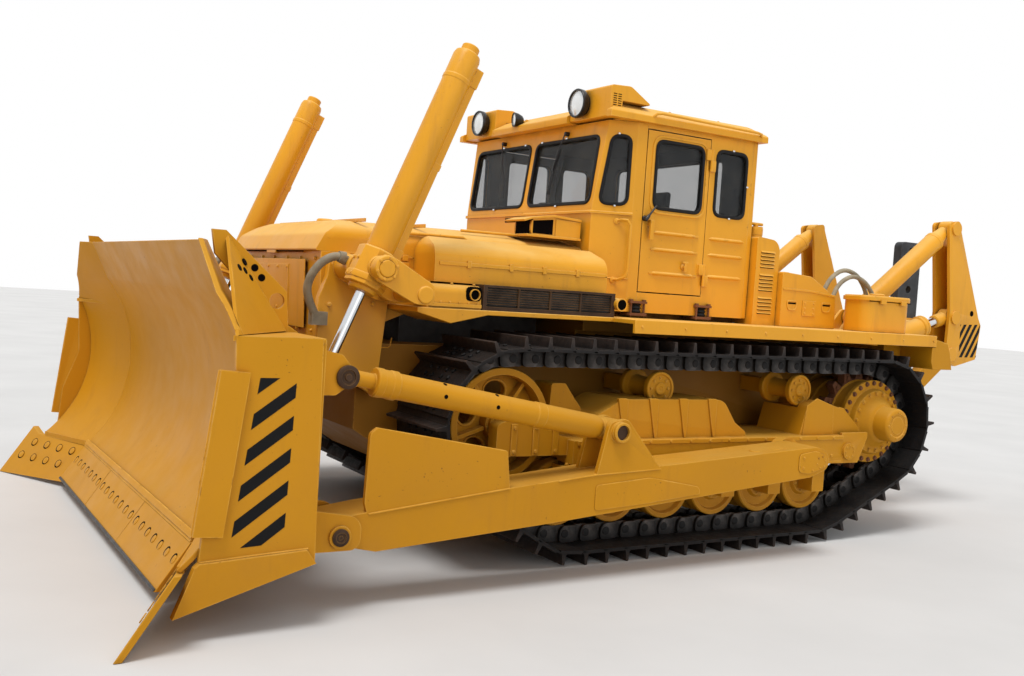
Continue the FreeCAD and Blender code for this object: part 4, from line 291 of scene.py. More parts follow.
def wrapped(name, colour):
    """Hose cover: woven cords round the hose, with a dull sheen, and grime and painted shade in its hollows."""
    f = Finish(name)
    weave = f.node("ShaderNodeTexVoronoi", {"Vector": f.place, "Scale": 260.0}).outputs["Distance"]
    base = f.mix(f.span(f.noise(9.0, 6.0), 0.3, 0.7), shade(colour, 0.62), shade(colour, 1.15))
    # Grime and painted shade in the hollows that ambient occlusion finds
    base = f.mix(f.sum(f.crevices(0.03), 0.5), base, GRIME_AND_SHADE)
    rough = f.span(f.noise(30.0, 4.0), 0.3, 0.7, 0.62, 0.82)
    return f.done({"Base Color": base, "Roughness": rough, "Normal": f.bump(weave, 0.5, 0.002)})


OCHRE = (0.790, 0.360, 0.016)
FINISH = {
    "yellow": enamel("ochre_enamel", OCHRE),
    # The cab's enamel, with its inner faces turned near black
    "cab_yellow": enamel("enamel_dark_inside", OCHRE, dark_inside=True),
    # A darker copy of the enamel for the pieces near the ground: dust, and painted shade
    "low_yellow": enamel("dusty_shaded_enamel", (0.590, 0.262, 0.010), 1.0, 0.38, dust=LOW_DUST_AND_TOP_LIGHT, mirror=0.12),
    "hull_yellow": enamel("oiled_enamel", (0.36, 0.160, 0.018), 1.6, 0.46, mirror=0.15),
    "track_steel": steel("track_steel", (0.0045, 0.0044, 0.005), 0.28, 0.50, (0.10, 0.095, 0.092, 1.0), 0.18,
                         (0.050, 0.034, 0.027, 1.0)),
    "link_steel": steel("link_steel", (0.007, 0.0066, 0.0068), 0.3, 0.44, (0.14, 0.13, 0.12, 1.0), 0.25,
                        (0.17, 0.155, 0.145, 1.0)),
    "iron": steel("rough_iron", (0.05, 0.048, 0.046), 0.4),
    "burnt": steel("burnt_steel", (0.050, 0.026, 0.014), 0.3, 0.6, (0.30, 0.15, 0.04, 1.0), 0.5),
    "rusty": steel("rusty_bolt", (0.15, 0.058, 0.026), 0.4, 0.6, (0.34, 0.17, 0.08, 1.0)),
    "mat": plain("ribbed_mat", (0.03, 0.03, 0.03), 0.7),
    "glass": pane("window_glass", (0.045, 0.050, 0.054, 1.0), 0.74),
    "lamp": plain("lamp_black", (0.010, 0.010, 0.011), 0.32, mirror=0.4),
    "lens": plain("lamp_lens", (0.80, 0.84, 0.86), 0.12, 0.45, 60.0, 0.30, 0.10),
    "seat_cloth": plain("seat_cloth", (0.030, 0.028, 0.026), 0.85, grain=180.0, depth=0.15, mirror=0.15),
    "dash": plain("dash_plastic", (0.050, 0.050, 0.052), 0.55),
    "chrome": plain("polished_rod", (0.66, 0.68, 0.70), 0.10, 1.0, spread=0.05, depth=0.02),
    "dark_steel": steel("shank_paint", (0.040, 0.043, 0.048), 0.25, 0.45, (0.2, 0.2, 0.2, 1.0), 0.25),
    "rubber": plain("black_rubber", (0.006, 0.006, 0.007), 0.5, mirror=0.2),
    "hose": wrapped("hose_cover", (0.34, 0.29, 0.20)),
    "stripe": plain("stripe_black", (0.0045, 0.0042, 0.0045), 0.55, mirror=0.15),
    # Near black, for painted shade in holes, slots, gaps and pockets
    "painted_shade": plain("deep_shadow", (0.003, 0.002, 0.002), 0.95, mirror=0.05),
}

# The record's material names for the finishes that have another name here; none where it has no match
SLOT_OF_FINISH = {"low_yellow": "yellow", "cab_yellow": "yellow", "link_steel": "track_steel", "rusty": "iron",
                  "burnt": "iron", "lens": "glass", "painted_shade": None, "stripe": None, "rubber": None}
CAB_NODES = ("cab_front", "cab_rear", "cab_sides", "cab_roof", "door_left", "door_right")

# Pieces near the ground take a darker copy of the enamel, dustier and with painted shade, than the cab and hood
LOW_NODES = ("blade", "blade_wings", "blade_ends", "blade_frame", "cutting_edge", "end_bits", "push_arms",
             "tilt_braces", "track_frames", "sprockets", "idlers", "carrier_rollers", "road_wheels",
             "ripper_mount", "ripper_frame", "tail_arms")


def finish_of(node):
    """The finish that a node takes."""
    if SLOT_OF[node] != "yellow":
        return SLOT_OF[node]
    if node == "side_grilles":
        return "burnt"
    return "low_yellow" if node in LOW_NODES else "cab_yellow" if node in CAB_NODES else "yellow"


# Shapes, in the drawings' metres

class Form:
    """A shape while it is made."""

    def __init__(self):
        self.mesh = bmesh.new()
        self.wear = self.mesh.verts.layers.float.new("wear")

    def block(self, low, high, turn=None):
        """A box between two corners, turned about its middle where asked."""
        low = Vector(low)
        high = Vector(high)
        place = Matrix.Translation((low + high) / 2.0)
        if turn:
            place = place @ Matrix.Rotation(turn[1], 4, turn[0])
        bmesh.ops.create_cube(self.mesh, size=1.0, matrix=place @ Matrix.Diagonal((high - low).to_4d()))
        return self

    def turned(self, start, axis, profile, sides=32, ring=False, phase=0.0):
        """A turned part: the profile gives distance along the axis and radius; a ring joins its ends."""
        start = Vector(start)
        axis = Vector(axis).normalized()
        guide = Vector(SIDE_AXIS) if abs(axis.y) < 0.9 else Vector(LONG_AXIS)
        side = (guide - axis * guide.dot(axis)).normalized()
        other = axis.cross(side)
        rings = []
        for along, radius in profile:
            rings.append([self.mesh.verts.new(start + axis * along
                                              + side * (radius * math.cos(2 * math.pi * (i + phase) / sides))
                                              + other * (radius * math.sin(2 * math.pi * (i + phase) / sides)))
                          for i in range(sides)])
        pairs = list(zip(rings, rings[1:]))
        if ring:
            pairs.append((rings[-1], rings[0]))
        for a, b in pairs:
            for i in range(sides):
                j = (i + 1) % sides
                self.mesh.faces.new((a[i], a[j], b[j], b[i]))
        if not ring:
            self.mesh.faces.new(rings[0][::-1])
            self.mesh.faces.new(rings[-1])
        return self

    def plate(self, outline, start, end, axis="y"):
        """An outline pushed from start to end along an axis; it gives the other two coordinates in order."""
        place = {"x": lambda a, b, t: (t, a, b), "y": lambda a, b, t: (a, t, b), "z": lambda a, b, t: (a, b, t)}[axis]
        near = [self.mesh.verts.new(place(a, b, start)) for a, b in outline]
        far = [self.mesh.verts.new(place(a, b, end)) for a, b in outline]
        count = len(outline)
        self.mesh.faces.new(near)
        self.mesh.faces.new(far[::-1])
        for i in range(count):
            j = (i + 1) % count
            self.mesh.faces.new((near[j], near[i], far[i], far[j]))
        return self

    def facet(self, corners, thick):
        """A flat panel through corners in space, given a thickness on the side its order turns to."""
        corners = [Vector(corner) for corner in corners]
        normal = (corners[1] - corners[0]).cross(corners[2] - corners[0]).normalized()
        near = [self.mesh.verts.new(corner) for corner in corners]
        far = [self.mesh.verts.new(corner + normal * thick) for corner in corners]
        self.mesh.faces.new(near)
        self.mesh.faces.new(far[::-1])
        for i in range(len(corners)):
            j = (i + 1) % len(corners)
            self.mesh.faces.new((near[j], near[i], far[i], far[j]))
        return self

    def sweep(self, points, section, closed=False, up=RISE_AXIS):
        """A section carried along points; the section gives offsets sideways and upwards."""
        points = [Vector(point) for point in points]
        count = len(points)
        rings = []
        up = Vector(up)
        for i, point in enumerate(points):
            before = points[i - 1] if i or closed else point
            after = points[(i + 1) % count] if i < count - 1 or closed else point
            ahead = (after - before).normalized()
            side = ahead.cross(up)
            if side.length < 0.05:
                side = ahead.cross(Vector(LONG_AXIS))
            side.normalize()
            over = side.cross(ahead)
            stretch = 1.0
            if (i or closed) and (i < count - 1 or closed):
                inward = (point - before).normalized()
                stretch = 1.0 / max(0.5, math.sqrt(max(0.0, (1.0 + inward.dot((after - point).normalized())) / 2.0)))
            rings.append([self.mesh.verts.new(point + side * (a * stretch) + over * b) for a, b in section])
        pairs = list(zip(rings, rings[1:]))
        if closed:
            pairs.append((rings[-1], rings[0]))
        size = len(section)
        for a, b in pairs:
            for i in range(size):
                j = (i + 1) % size
                self.mesh.faces.new((a[i], a[j], b[j], b[i]))
        if not closed:
            self.mesh.faces.new(rings[0][::-1])
            self.mesh.faces.new(rings[-1])
        return self

    def wear_where(self, test, share):
        """Marks the corners that a test picks as worn."""
        for vert in self.mesh.verts:
            if test(vert.co):
                vert[self.wear] = share
        return self

    def both_sides(self):
        """Adds the same shape on the right side."""
        made = bmesh.ops.duplicate(self.mesh, geom=self.mesh.verts[:] + self.mesh.edges[:] + self.mesh.faces[:])
        for part in made["geom"]:
            if isinstance(part, bmesh.types.BMVert):
                part.co.y = -part.co.y
        bmesh.ops.reverse_faces(self.mesh, faces=[p for p in made["geom"] if isinstance(p, bmesh.types.BMFace)])
        return self

    def drawn(self, name):
        """The finished mesh, with its faces turned outwards and put in the frame."""
        bmesh.ops.recalc_face_normals(self.mesh, faces=self.mesh.faces)
        for vert in self.mesh.verts:
            vert.co.x -= SHIFT
        mesh = bpy.data.meshes.new(name)
        self.mesh.to_mesh(mesh)
        self.mesh.free()
        return mesh


def circle(radius, sides):
    """A round section for a rod or a weld bead."""
    return [(radius * math.cos(2 * math.pi * i / sides), radius * math.sin(2 * math.pi * i / sides))
            for i in range(sides)]


def bar(wide, high):
    """A rectangular section for a strip, from its half width and half height."""
    return [(-wide, -high), (wide, -high), (wide, high), (-wide, high)]


def rounded(corners, radius, steps=4):
    """An outline with its corners rounded."""
    points = []
    count = len(corners)
    for i in range(count):
        corner = Vector(corners[i])
        back = Vector(corners[i - 1]) - corner
        ahead = Vector(corners[(i + 1) % count]) - corner
        reach = min(radius, 0.45 * back.length, 0.45 * ahead.length)
        near = corner + back.normalized() * reach
        far = corner + ahead.normalized() * reach
        for step in range(steps + 1):
            t = step / steps
            points.append(near * (1 - t) ** 2 + corner * (2 * t * (1 - t)) + far * t ** 2)
    return points


def frame_of(a, b, low, high):
    """The four corners of a rectangle, in order."""
    return [(a, low), (b, low), (b, high), (a, high)]


def between(outline, normal, low, high):
    """The part of a convex outline whose distance along a normal is between two values."""
    def cut(points, sign, limit):
        kept = []
        for i, point in enumerate(points):
            after = points[(i + 1) % len(points)]
            here = sign * (point[0] * normal[0] + point[1] * normal[1]) - sign * limit
            there = sign * (after[0] * normal[0] + after[1] * normal[1]) - sign * limit
            if here >= 0:
                kept.append(point)
            if here * there < 0:
                share = here / (here - there)
                kept.append((point[0] + (after[0] - point[0]) * share, point[1] + (after[1] - point[1]) * share))
        return kept
    points = cut(list(outline), 1.0, low)
    return cut(points, -1.0, high) if len(points) > 2 else []


def way(start, end):
    """The unit direction from one point of the side view to another, and the distance."""
    step = Vector((end[0] - start[0], 0.0, end[1] - start[1]))
    return step.normalized(), step.length


# Making pieces

def finish_piece(name, mesh, finish, body, slot, bevel=0.0, angle=34.0):
    """A mesh made a piece that rides on a body, with rounded edges."""
    piece = bpy.data.objects.new(name, mesh)
    bpy.context.scene.collection.objects.link(piece)
    mesh.materials.clear()
    mesh.materials.append(FINISH[finish])
    for polygon in mesh.polygons:
        polygon.use_smooth = True
    mesh.set_sharp_from_angle(angle=math.radians(angle))
    if bevel > 0.0:
        edge = piece.modifiers.new("rounded_edges", "BEVEL")
        edge.width = bevel
        edge.segments = 2
        edge.limit_method = "ANGLE"
        edge.angle_limit = math.radians(angle)
        edge.harden_normals = False
        edge.use_clamp_overlap = True
    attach(piece, body)
    slot = SLOT_OF_FINISH.get(slot or finish, slot or finish)
    return piece


def made(name, form, finish, carrier, bevel=0.002, slot=None, replaces=None):
    """A form made a piece on the body that carries a node; it may stand for nodes."""
    piece = finish_piece(name, form.drawn(name), finish, BODY_OF[carrier], slot, bevel)
    if replaces:
        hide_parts(*replaces)
    return piece


# What counts as one point, and as one flat face, in the copy of a node
MERGE_DISTANCE = 0.00002
FLAT_DEGREES = 0.6
COPY_BEVEL = 0.004

# The cover plates of the blade's end boxes, and the line of the blade's sheet that they stop at
COVER_LOW = 1.400
COVER_HIGH = 1.431
COVER_EDGE_Y = 2.128
SHEET_END_X = 5.178
SHEET_END_Y = 2.13
SHEET_SLOPE = 0.399


def trim_covers(form):
    """Stops the cover plates of the end boxes inside the blade's sheet."""
    for vert in form.verts:
        y = abs(vert.co.y)
        if COVER_LOW < vert.co.z < COVER_HIGH and y < COVER_EDGE_Y:
            vert.co.x = min(vert.co.x, SHEET_END_X - SHEET_SLOPE * (SHEET_END_Y - y) - SHIFT)


def dressed(node):
    """A merged copy of a rigid node with rounded edges, which stands for it."""
    form = bmesh.new()
    form.from_mesh(NODES[node].data)
    bmesh.ops.remove_doubles(form, verts=form.verts, dist=MERGE_DISTANCE)
    if node == "blade_ends":
        trim_covers(form)
    bmesh.ops.dissolve_limit(form, angle_limit=math.radians(FLAT_DEGREES), verts=form.verts, edges=form.edges,
                             delimit=set())
    mesh = bpy.data.meshes.new(node + "_form")
    form.to_mesh(mesh)
    form.free()
    piece = finish_piece(node + "_form", mesh, finish_of(node), BODY_OF[node], SLOT_OF[node], COPY_BEVEL)
    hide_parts(node)
    return piece


def repeat_tree():
    """Puts a shape at every place of a set, turned and sized as the place says."""
    tree = bpy.data.node_groups.new("repeat", "GeometryNodeTree")
    sockets = {}
    for name, kind, way_in in (("Shape", "NodeSocketGeometry", "INPUT"), ("Places", "NodeSocketObject", "INPUT"),
                               ("Finish", "NodeSocketMaterial", "INPUT"), ("Uneven turn", "NodeSocketFloat", "INPUT"),
                               ("Size", "NodeSocketFloat", "INPUT"), ("Seed", "NodeSocketInt", "INPUT"),
                               ("Result", "NodeSocketGeometry", "OUTPUT")):
        sockets[name] = tree.interface.new_socket(name, in_out=way_in, socket_type=kind).identifier
    node = tree.nodes.new
    link = tree.links.new
    given = node("NodeGroupInput")
    result = node("NodeGroupOutput")
    places = node("GeometryNodeObjectInfo")
    link(given.outputs["Places"], places.inputs["Object"])
    turn = node("GeometryNodeInputNamedAttribute")
    turn.data_type = "FLOAT_VECTOR"
    turn.inputs["Name"].default_value = "turn"
    size = node("GeometryNodeInputNamedAttribute")
    size.data_type = "FLOAT"
    size.inputs["Name"].default_value = "size"
    scale = node("ShaderNodeMath")
    scale.operation = "MULTIPLY"
    link(size.outputs[0], scale.inputs[0])
    link(given.outputs["Size"], scale.inputs[1])
    spread = node("GeometryNodeInstanceOnPoints")
    link(places.outputs["Geometry"], spread.inputs["Points"])
    link(given.outputs["Shape"], spread.inputs["Instance"])
    link(turn.outputs[0], spread.inputs["Rotation"])
    link(scale.outputs[0], spread.inputs["Scale"])
    chance = node("FunctionNodeRandomValue")
    chance.data_type = "FLOAT_VECTOR"
    chance.inputs[0].default_value = (0.0, 0.0, -1.0)
    chance.inputs[1].default_value = (0.0, 0.0, 1.0)
    link(given.outputs["Seed"], chance.inputs["Seed"])
    amount = node("ShaderNodeVectorMath")
    amount.operation = "SCALE"
    link(chance.outputs[0], amount.inputs[0])
    link(given.outputs["Uneven turn"], amount.inputs["Scale"])
    spin = node("GeometryNodeRotateInstances")
    link(spread.outputs[0], spin.inputs["Instances"])
    link(amount.outputs[0], spin.inputs["Rotation"])
    real = node("GeometryNodeRealizeInstances")
    link(spin.outputs[0], real.inputs[0])
    paint = node("GeometryNodeSetMaterial")
    link(real.outputs[0], paint.inputs["Geometry"])
    link(given.outputs["Finish"], paint.inputs["Material"])
    link(paint.outputs[0], result.inputs[0])
    return tree, sockets


REPEAT, REPEAT_SOCKETS = repeat_tree()
REPEAT_SEED = 7


def repeated(name, form, places, finish, carrier, uneven=0.0, bevel=0.0, replaces=None):
    """One shape repeated at (point, turn, size) places, as a plain piece on one body."""
    bmesh.ops.recalc_face_normals(form.mesh, faces=form.mesh.faces)
    shape = bpy.data.meshes.new(name + "_shape")
    form.mesh.to_mesh(shape)
    form.mesh.free()
    spots = bpy.data.meshes.new(name + "_places")
    spots.from_pydata([at(*place[0]) for place in places], [], [])
    spots.attributes.new("turn", "FLOAT_VECTOR", "POINT")
    spots.attributes.new("size", "FLOAT", "POINT")
    spots.attributes["turn"].data.foreach_set("vector", [part for place in places for part in place[1]])
    spots.attributes["size"].data.foreach_set("value", [place[2] for place in places])
    holder = bpy.data.objects.new(name + "_shape", shape)
    spot = bpy.data.objects.new(name + "_places", spots)
    for thing in (holder, spot):
        bpy.context.scene.collection.objects.link(thing)
    modifier = holder.modifiers.new("repeat", "NODES")
    modifier.node_group = REPEAT
    for key, value in (("Places", spot), ("Finish", FINISH[finish]), ("Uneven turn", uneven), ("Size", 1.0),
                       ("Seed", REPEAT_SEED)):
        modifier[REPEAT_SOCKETS[key]] = value
    bpy.context.view_layer.update()
    mesh = bpy.data.meshes.new_from_object(holder.evaluated_get(bpy.context.evaluated_depsgraph_get()))
    for thing in (holder, spot):
        bpy.data.objects.remove(thing)
    piece = finish_piece(name, mesh, finish, BODY_OF[carrier], None, bevel)
    if replaces:
        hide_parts(*replaces)
    return piece


def bolt_head(reach):
    """A hexagon head on its washer, one unit in radius, which stands along z."""
    form = Form()
    form.turned((0, 0, -0.2), RISE_AXIS, ((0.0, 1.28), (0.32, 1.28), (0.38, 1.2)), 14)
    form.turned((0, 0, 0.15), RISE_AXIS, ((0.0, 1.0), (reach, 1.0), (reach + 0.14, 0.84)), 6)
    return form


BOLTS = {}


def bolt(carrier, point, axis, radius, finish="yellow", both=True):
    """Notes a bolt on a node's body; it is made with all the others."""
    spots = BOLTS.setdefault((BODY_OF[carrier], carrier, finish), [])
    for sign in (SIDES if both else SIDES[:1]):
        there = Vector((axis[0], axis[1] * sign, axis[2]))
        turn = there.to_track_quat("Z", "Y").to_euler()
        spots.append(((point[0], point[1] * sign, point[2]), tuple(turn), radius))


def bolt_row(carrier, start, end, count, axis, radius, finish="yellow", both=True):
    """A straight row of bolts."""
    for i in range(count):
        share = i / max(1, count - 1)
        bolt(carrier, [a + (b - a) * share for a, b in zip(start, end)], axis, radius, finish, both)


def bolt_ring(carrier, middle, axis, reach, count, radius, finish="yellow", phase=0.0):
    """A ring of bolts round an axis, on both sides."""
    axis = Vector(axis)
    side = axis.orthogonal().normalized()
    other = axis.cross(side)
    for i in range(count):
        angle = 2 * math.pi * (i + phase) / count
        bolt(carrier, Vector(middle) + reach * (side * math.cos(angle) + other * math.sin(angle)), axis, radius,
             finish)


def fit_bolts():
    """Makes every noted bolt, one piece for each body and finish."""
    groups = {}
    for (body, carrier, finish), spots in BOLTS.items():
        groups.setdefault((body, finish), [carrier, []])[1].extend(spots)
    for (body, finish), (carrier, spots) in groups.items():
        repeated("bolts_%s_%s" % (body, finish), bolt_head(0.62), spots, finish, carrier, uneven=1.5)


# Tracks and running gear

SHOE_COUNT = 57
TOOTH_COUNT = 16
WHEEL_STATIONS = [0.540 + 0.452 * i for i in range(6)]
WHEEL_Z = 0.435
CARRIER_Z = 1.1217
LOW_PIN_Z = 0.155

# The line of the pins from below the first road wheel: length and radius of each stretch
PIN_LINE = ((2.2600, 0.0), (0.1560, 0.280), (0.6343, 0.0), (1.0725, 0.415), (3.3870, 0.0), (1.1259, 0.415),
            (0.7873, 0.0), (0.1200, 0.280))


def pin_place(distance):
    """The point of the pin line at a distance along it."""
    place = Vector((WHEEL_STATIONS[0], LOW_PIN_Z))
    heading = 0.0
    for length, radius in PIN_LINE:
        step = min(distance, length)
        if radius:
            middle = place + radius * Vector((-math.sin(heading), math.cos(heading)))
            heading += step / radius
            place = middle + radius * Vector((math.sin(heading), -math.cos(heading)))
        else:
            place = place + step * Vector((math.cos(heading), math.sin(heading)))
        distance -= step
        if distance <= 0.0:
            break
    return place


def shoe_places():
    """Where each shoe sits on both tracks, and how it is turned."""
    pitch = sum(length for length, radius in PIN_LINE) / SHOE_COUNT
    pins = [pin_place(i * pitch) for i in range(SHOE_COUNT)]
    places = []
    for i in range(SHOE_COUNT):
        a = pins[i]
        b = pins[(i + 1) % SHOE_COUNT]
        heading = math.atan2(b.y - a.y, b.x - a.x)
        for side in SIDES:
            places.append((((a.x + b.x) / 2, side * TRACK_Y, (a.y + b.y) / 2), (0.0, -heading, 0.0), 1.0))
    return places


def tracks():
    """Shoes with worn grousers, the two rows of links with their pins, and the shoe bolts."""
    places = shoe_places()
    shoe = Form()
    shoe.plate([(-0.1200, -0.0640), (-0.0840, -0.0600), (0.0800, -0.0600), (0.0800, -0.0800), (0.0690, -0.0850),
                (0.0612, -0.1520), (0.0585, -0.1550), (0.0455, -0.1550), (0.0428, -0.1520), (0.0350, -0.0870),
                (0.0260, -0.0830), (-0.0560, -0.0830), (-0.0840, -0.0850), (-0.0840, -0.0760), (-0.1200, -0.0720)],
               -0.345, 0.345)
    shoe.wear_where(lambda p: p.z < -0.15, 1.0)
    shoe.wear_where(lambda p: -0.15 < p.z < -0.07, 0.25)
    repeated("track_shoes", shoe, places, "track_steel", "tracks", bevel=0.0025, replaces=("tracks",))
    link = Form()
    for side in SIDES:
        near = rounded([(-0.132, -0.058), (0.012, -0.058), (0.012, 0.052), (-0.118, 0.052), (-0.134, 0.020)], 0.03, 2)
        far = rounded([(-0.012, -0.058), (0.120, -0.058), (0.128, -0.020), (0.120, 0.030), (0.096, 0.052),
                       (-0.012, 0.052)], 0.03, 2)
        link.plate(near, side * 0.083, side * 0.108)
        link.plate(far, side * 0.106, side * 0.132)
        link.turned((0.0837, side * 0.130, 0.0), (0, side, 0), ((0.0, 0.030), (0.006, 0.028), (0.007, 0.02)), 12)
    link.turned((0.0837, -0.084, 0.0), SIDE_AXIS, ((0.0, 0.036), (0.168, 0.036)), 12)
    link.wear_where(lambda p: p.z > 0.045, 0.85)
    repeated("track_links", link, places, "link_steel", "tracks", bevel=0.002)
    heads = []
    for point, turn, _ in places:
        for along in (-0.045, 0.012):
            for across in (-0.150, -0.062, 0.062, 0.150):
                heading = -turn[1]
                heads.append(((point[0] + math.cos(heading) * along + math.sin(heading) * 0.083,
                               point[1] + across,
                               point[2] + math.sin(heading) * along - math.cos(heading) * 0.083),
                              (0.0, turn[1] + math.pi, 0.0), 1.0))
    nut = Form()
    nut.turned((0, 0, -0.002), RISE_AXIS, ((0.0, 0.0165), (0.012, 0.0165), (0.015, 0.013)), 6)
    repeated("shoe_bolts", nut, heads, "track_steel", "tracks", uneven=1.5)


def sprockets():
    """The drive sprocket: toothed rim, stepped final drive housing, bolt rings and cap."""
    x = SPROCKET_STATION
    z = AXLE_Z
    form = Form()
    teeth = []
    for i in range(TOOTH_COUNT):
        for share, reach in ((-0.34, 0.325), (-0.20, 0.372), (-0.13, 0.402), (0.0, 0.405), (0.13, 0.402),
                             (0.20, 0.372), (0.34, 0.325)):
            angle = 2 * math.pi * (i + share) / TOOTH_COUNT
            teeth.append((x + reach * math.cos(angle), z + reach * math.sin(angle)))
    form.plate(teeth, TRACK_Y - 0.035, TRACK_Y + 0.035)
    made("sprocket_rims", form.both_sides(), "rusty", "sprockets", 0.003, slot="iron")
    drum = Form()
    drum.turned((x, TRACK_Y, z), SIDE_AXIS,
                ((-0.325, 0.290), (-0.315, 0.300), (-0.20, 0.300), (-0.19, 0.285), (-0.05, 0.285), (-0.045, 0.318),
                 (0.040, 0.318), (0.045, 0.305), (0.130, 0.300), (0.140, 0.318), (0.146, 0.326), (0.176, 0.326),
                 (0.182, 0.320), (0.183, 0.286), (0.190, 0.262), (0.205, 0.254), (0.224, 0.250), (0.230, 0.244),
                 (0.232, 0.205), (0.240, 0.190), (0.285, 0.158), (0.300, 0.146), (0.302, 0.140), (0.310, 0.132),
                 (0.418, 0.130), (0.432, 0.124), (0.440, 0.112), (0.440, 0.092), (0.434, 0.088), (0.434, 0.070),
                 (0.438, 0.066)), 56)
    made("final_drives", drum.both_sides(), "low_yellow", "sprockets", 0.0, replaces=("sprockets",))
    for reach, y, count, radius, tone in ((0.352, 0.036, 16, 0.017, "rusty"), (0.303, 0.183, 24, 0.0155, "rusty"),
                                          (0.226, 0.232, 18, 0.0135, "low_yellow"),
                                          (0.101, 0.440, 8, 0.007, "low_yellow")):
        bolt_ring("sprockets", (x, TRACK_Y + y, z), SIDE_AXIS, reach, count, radius, tone)


def idlers():
    """The idler: rim with flanges, disc with five dark windows, ribs and hub."""
    x = IDLER_STATION
    z = AXLE_Z
    rim = Form()
    rim.turned((x, TRACK_Y, z), SIDE_AXIS, ((-0.140, 0.312), (-0.140, 0.350), (-0.136, 0.3547), (-0.075, 0.3547),
                                             (-0.070, 0.3500), (-0.060, 0.338), (0.060, 0.338), (0.070, 0.3500),
                                             (0.075, 0.3547), (0.136, 0.3547), (0.140, 0.350), (0.140, 0.312),
                                             (0.120, 0.309), (-0.120, 0.309)), 64, ring=True)
    disc = Form()
    disc.turned((x, TRACK_Y, z), SIDE_AXIS, ((-0.030, 0.312), (0.030, 0.312)), 64)
    windows = Form()
    ribs = Form()
    for i in range(5):
        angle = math.radians(90.0 + 72.0 * i)
        middle = Vector((x + 0.202 * math.cos(angle), 0.0, z + 0.202 * math.sin(angle)))
        outline = []
        for k in range(24):
            turn = 2 * math.pi * k / 24
            across = 0.070 * math.cos(turn)
            around = 0.084 * math.sin(turn)
            outline.append((middle.x + across * math.cos(angle) - around * math.sin(angle),
                            middle.z + across * math.sin(angle) + around * math.cos(angle)))
        windows.plate(outline, TRACK_Y - 0.2, TRACK_Y + 0.2)
        lip = [(px, TRACK_Y + 0.030, pz) for px, pz in outline]
        ribs.sweep(lip, circle(0.008, 6), closed=True, up=SIDE_AXIS)
        spoke = angle + math.radians(36.0)
        centre = Vector((x + 0.205 * math.cos(spoke), TRACK_Y + 0.058, z + 0.205 * math.sin(spoke)))
        for y in (centre.y, 2 * TRACK_Y - centre.y):
            ribs.block((centre.x - 0.108, y - 0.030, centre.z - 0.011),
                       (centre.x + 0.108, y + 0.030, centre.z + 0.011), ("Y", -spoke))
    hub = Form()
    hub.turned((x, TRACK_Y, z), SIDE_AXIS, ((-0.150, 0.080), (-0.145, 0.092), (-0.06, 0.095), (0.06, 0.095),
                                             (0.110, 0.095), (0.116, 0.082), (0.142, 0.080), (0.150, 0.070)), 40)
    made("idler_rims", rim.both_sides(), "low_yellow", "idlers", 0.0, replaces=("idlers",))
    holed = carved("idler_discs", disc, windows)
    made("idler_discs", holed.both_sides(), "low_yellow", "idlers", 0.003)
    made("idler_ribs", ribs.both_sides(), "low_yellow", "idlers", 0.0)
    made("idler_hubs", hub.both_sides(), "low_yellow", "idlers", 0.0)
    bolt_ring("idlers", (x, TRACK_Y + 0.116, z), SIDE_AXIS, 0.088, 6, 0.0075, "low_yellow")


def carved(name, form, cutter):
    """A form with another cut out of it."""
    holders = []
    for part in (form, cutter):
        bmesh.ops.recalc_face_normals(part.mesh, faces=part.mesh.faces)
        mesh = bpy.data.meshes.new(name)
        part.mesh.to_mesh(mesh)
        part.mesh.free()
        holder = bpy.data.objects.new(name + "_blank", mesh)
        bpy.context.scene.collection.objects.link(holder)
        holders.append(holder)
    cut = holders[0].modifiers.new("cut", "BOOLEAN")
    cut.operation = "DIFFERENCE"
    cut.solver = "EXACT"
    cut.object = holders[1]
    bpy.context.view_layer.update()
    mesh = bpy.data.meshes.new_from_object(holders[0].evaluated_get(bpy.context.evaluated_depsgraph_get()))
    for holder in holders:
        bpy.data.objects.remove(holder)
    made_form = Form()
    made_form.mesh.from_mesh(mesh)
    made_form.wear = made_form.mesh.verts.layers.float.get("wear")
    return made_form


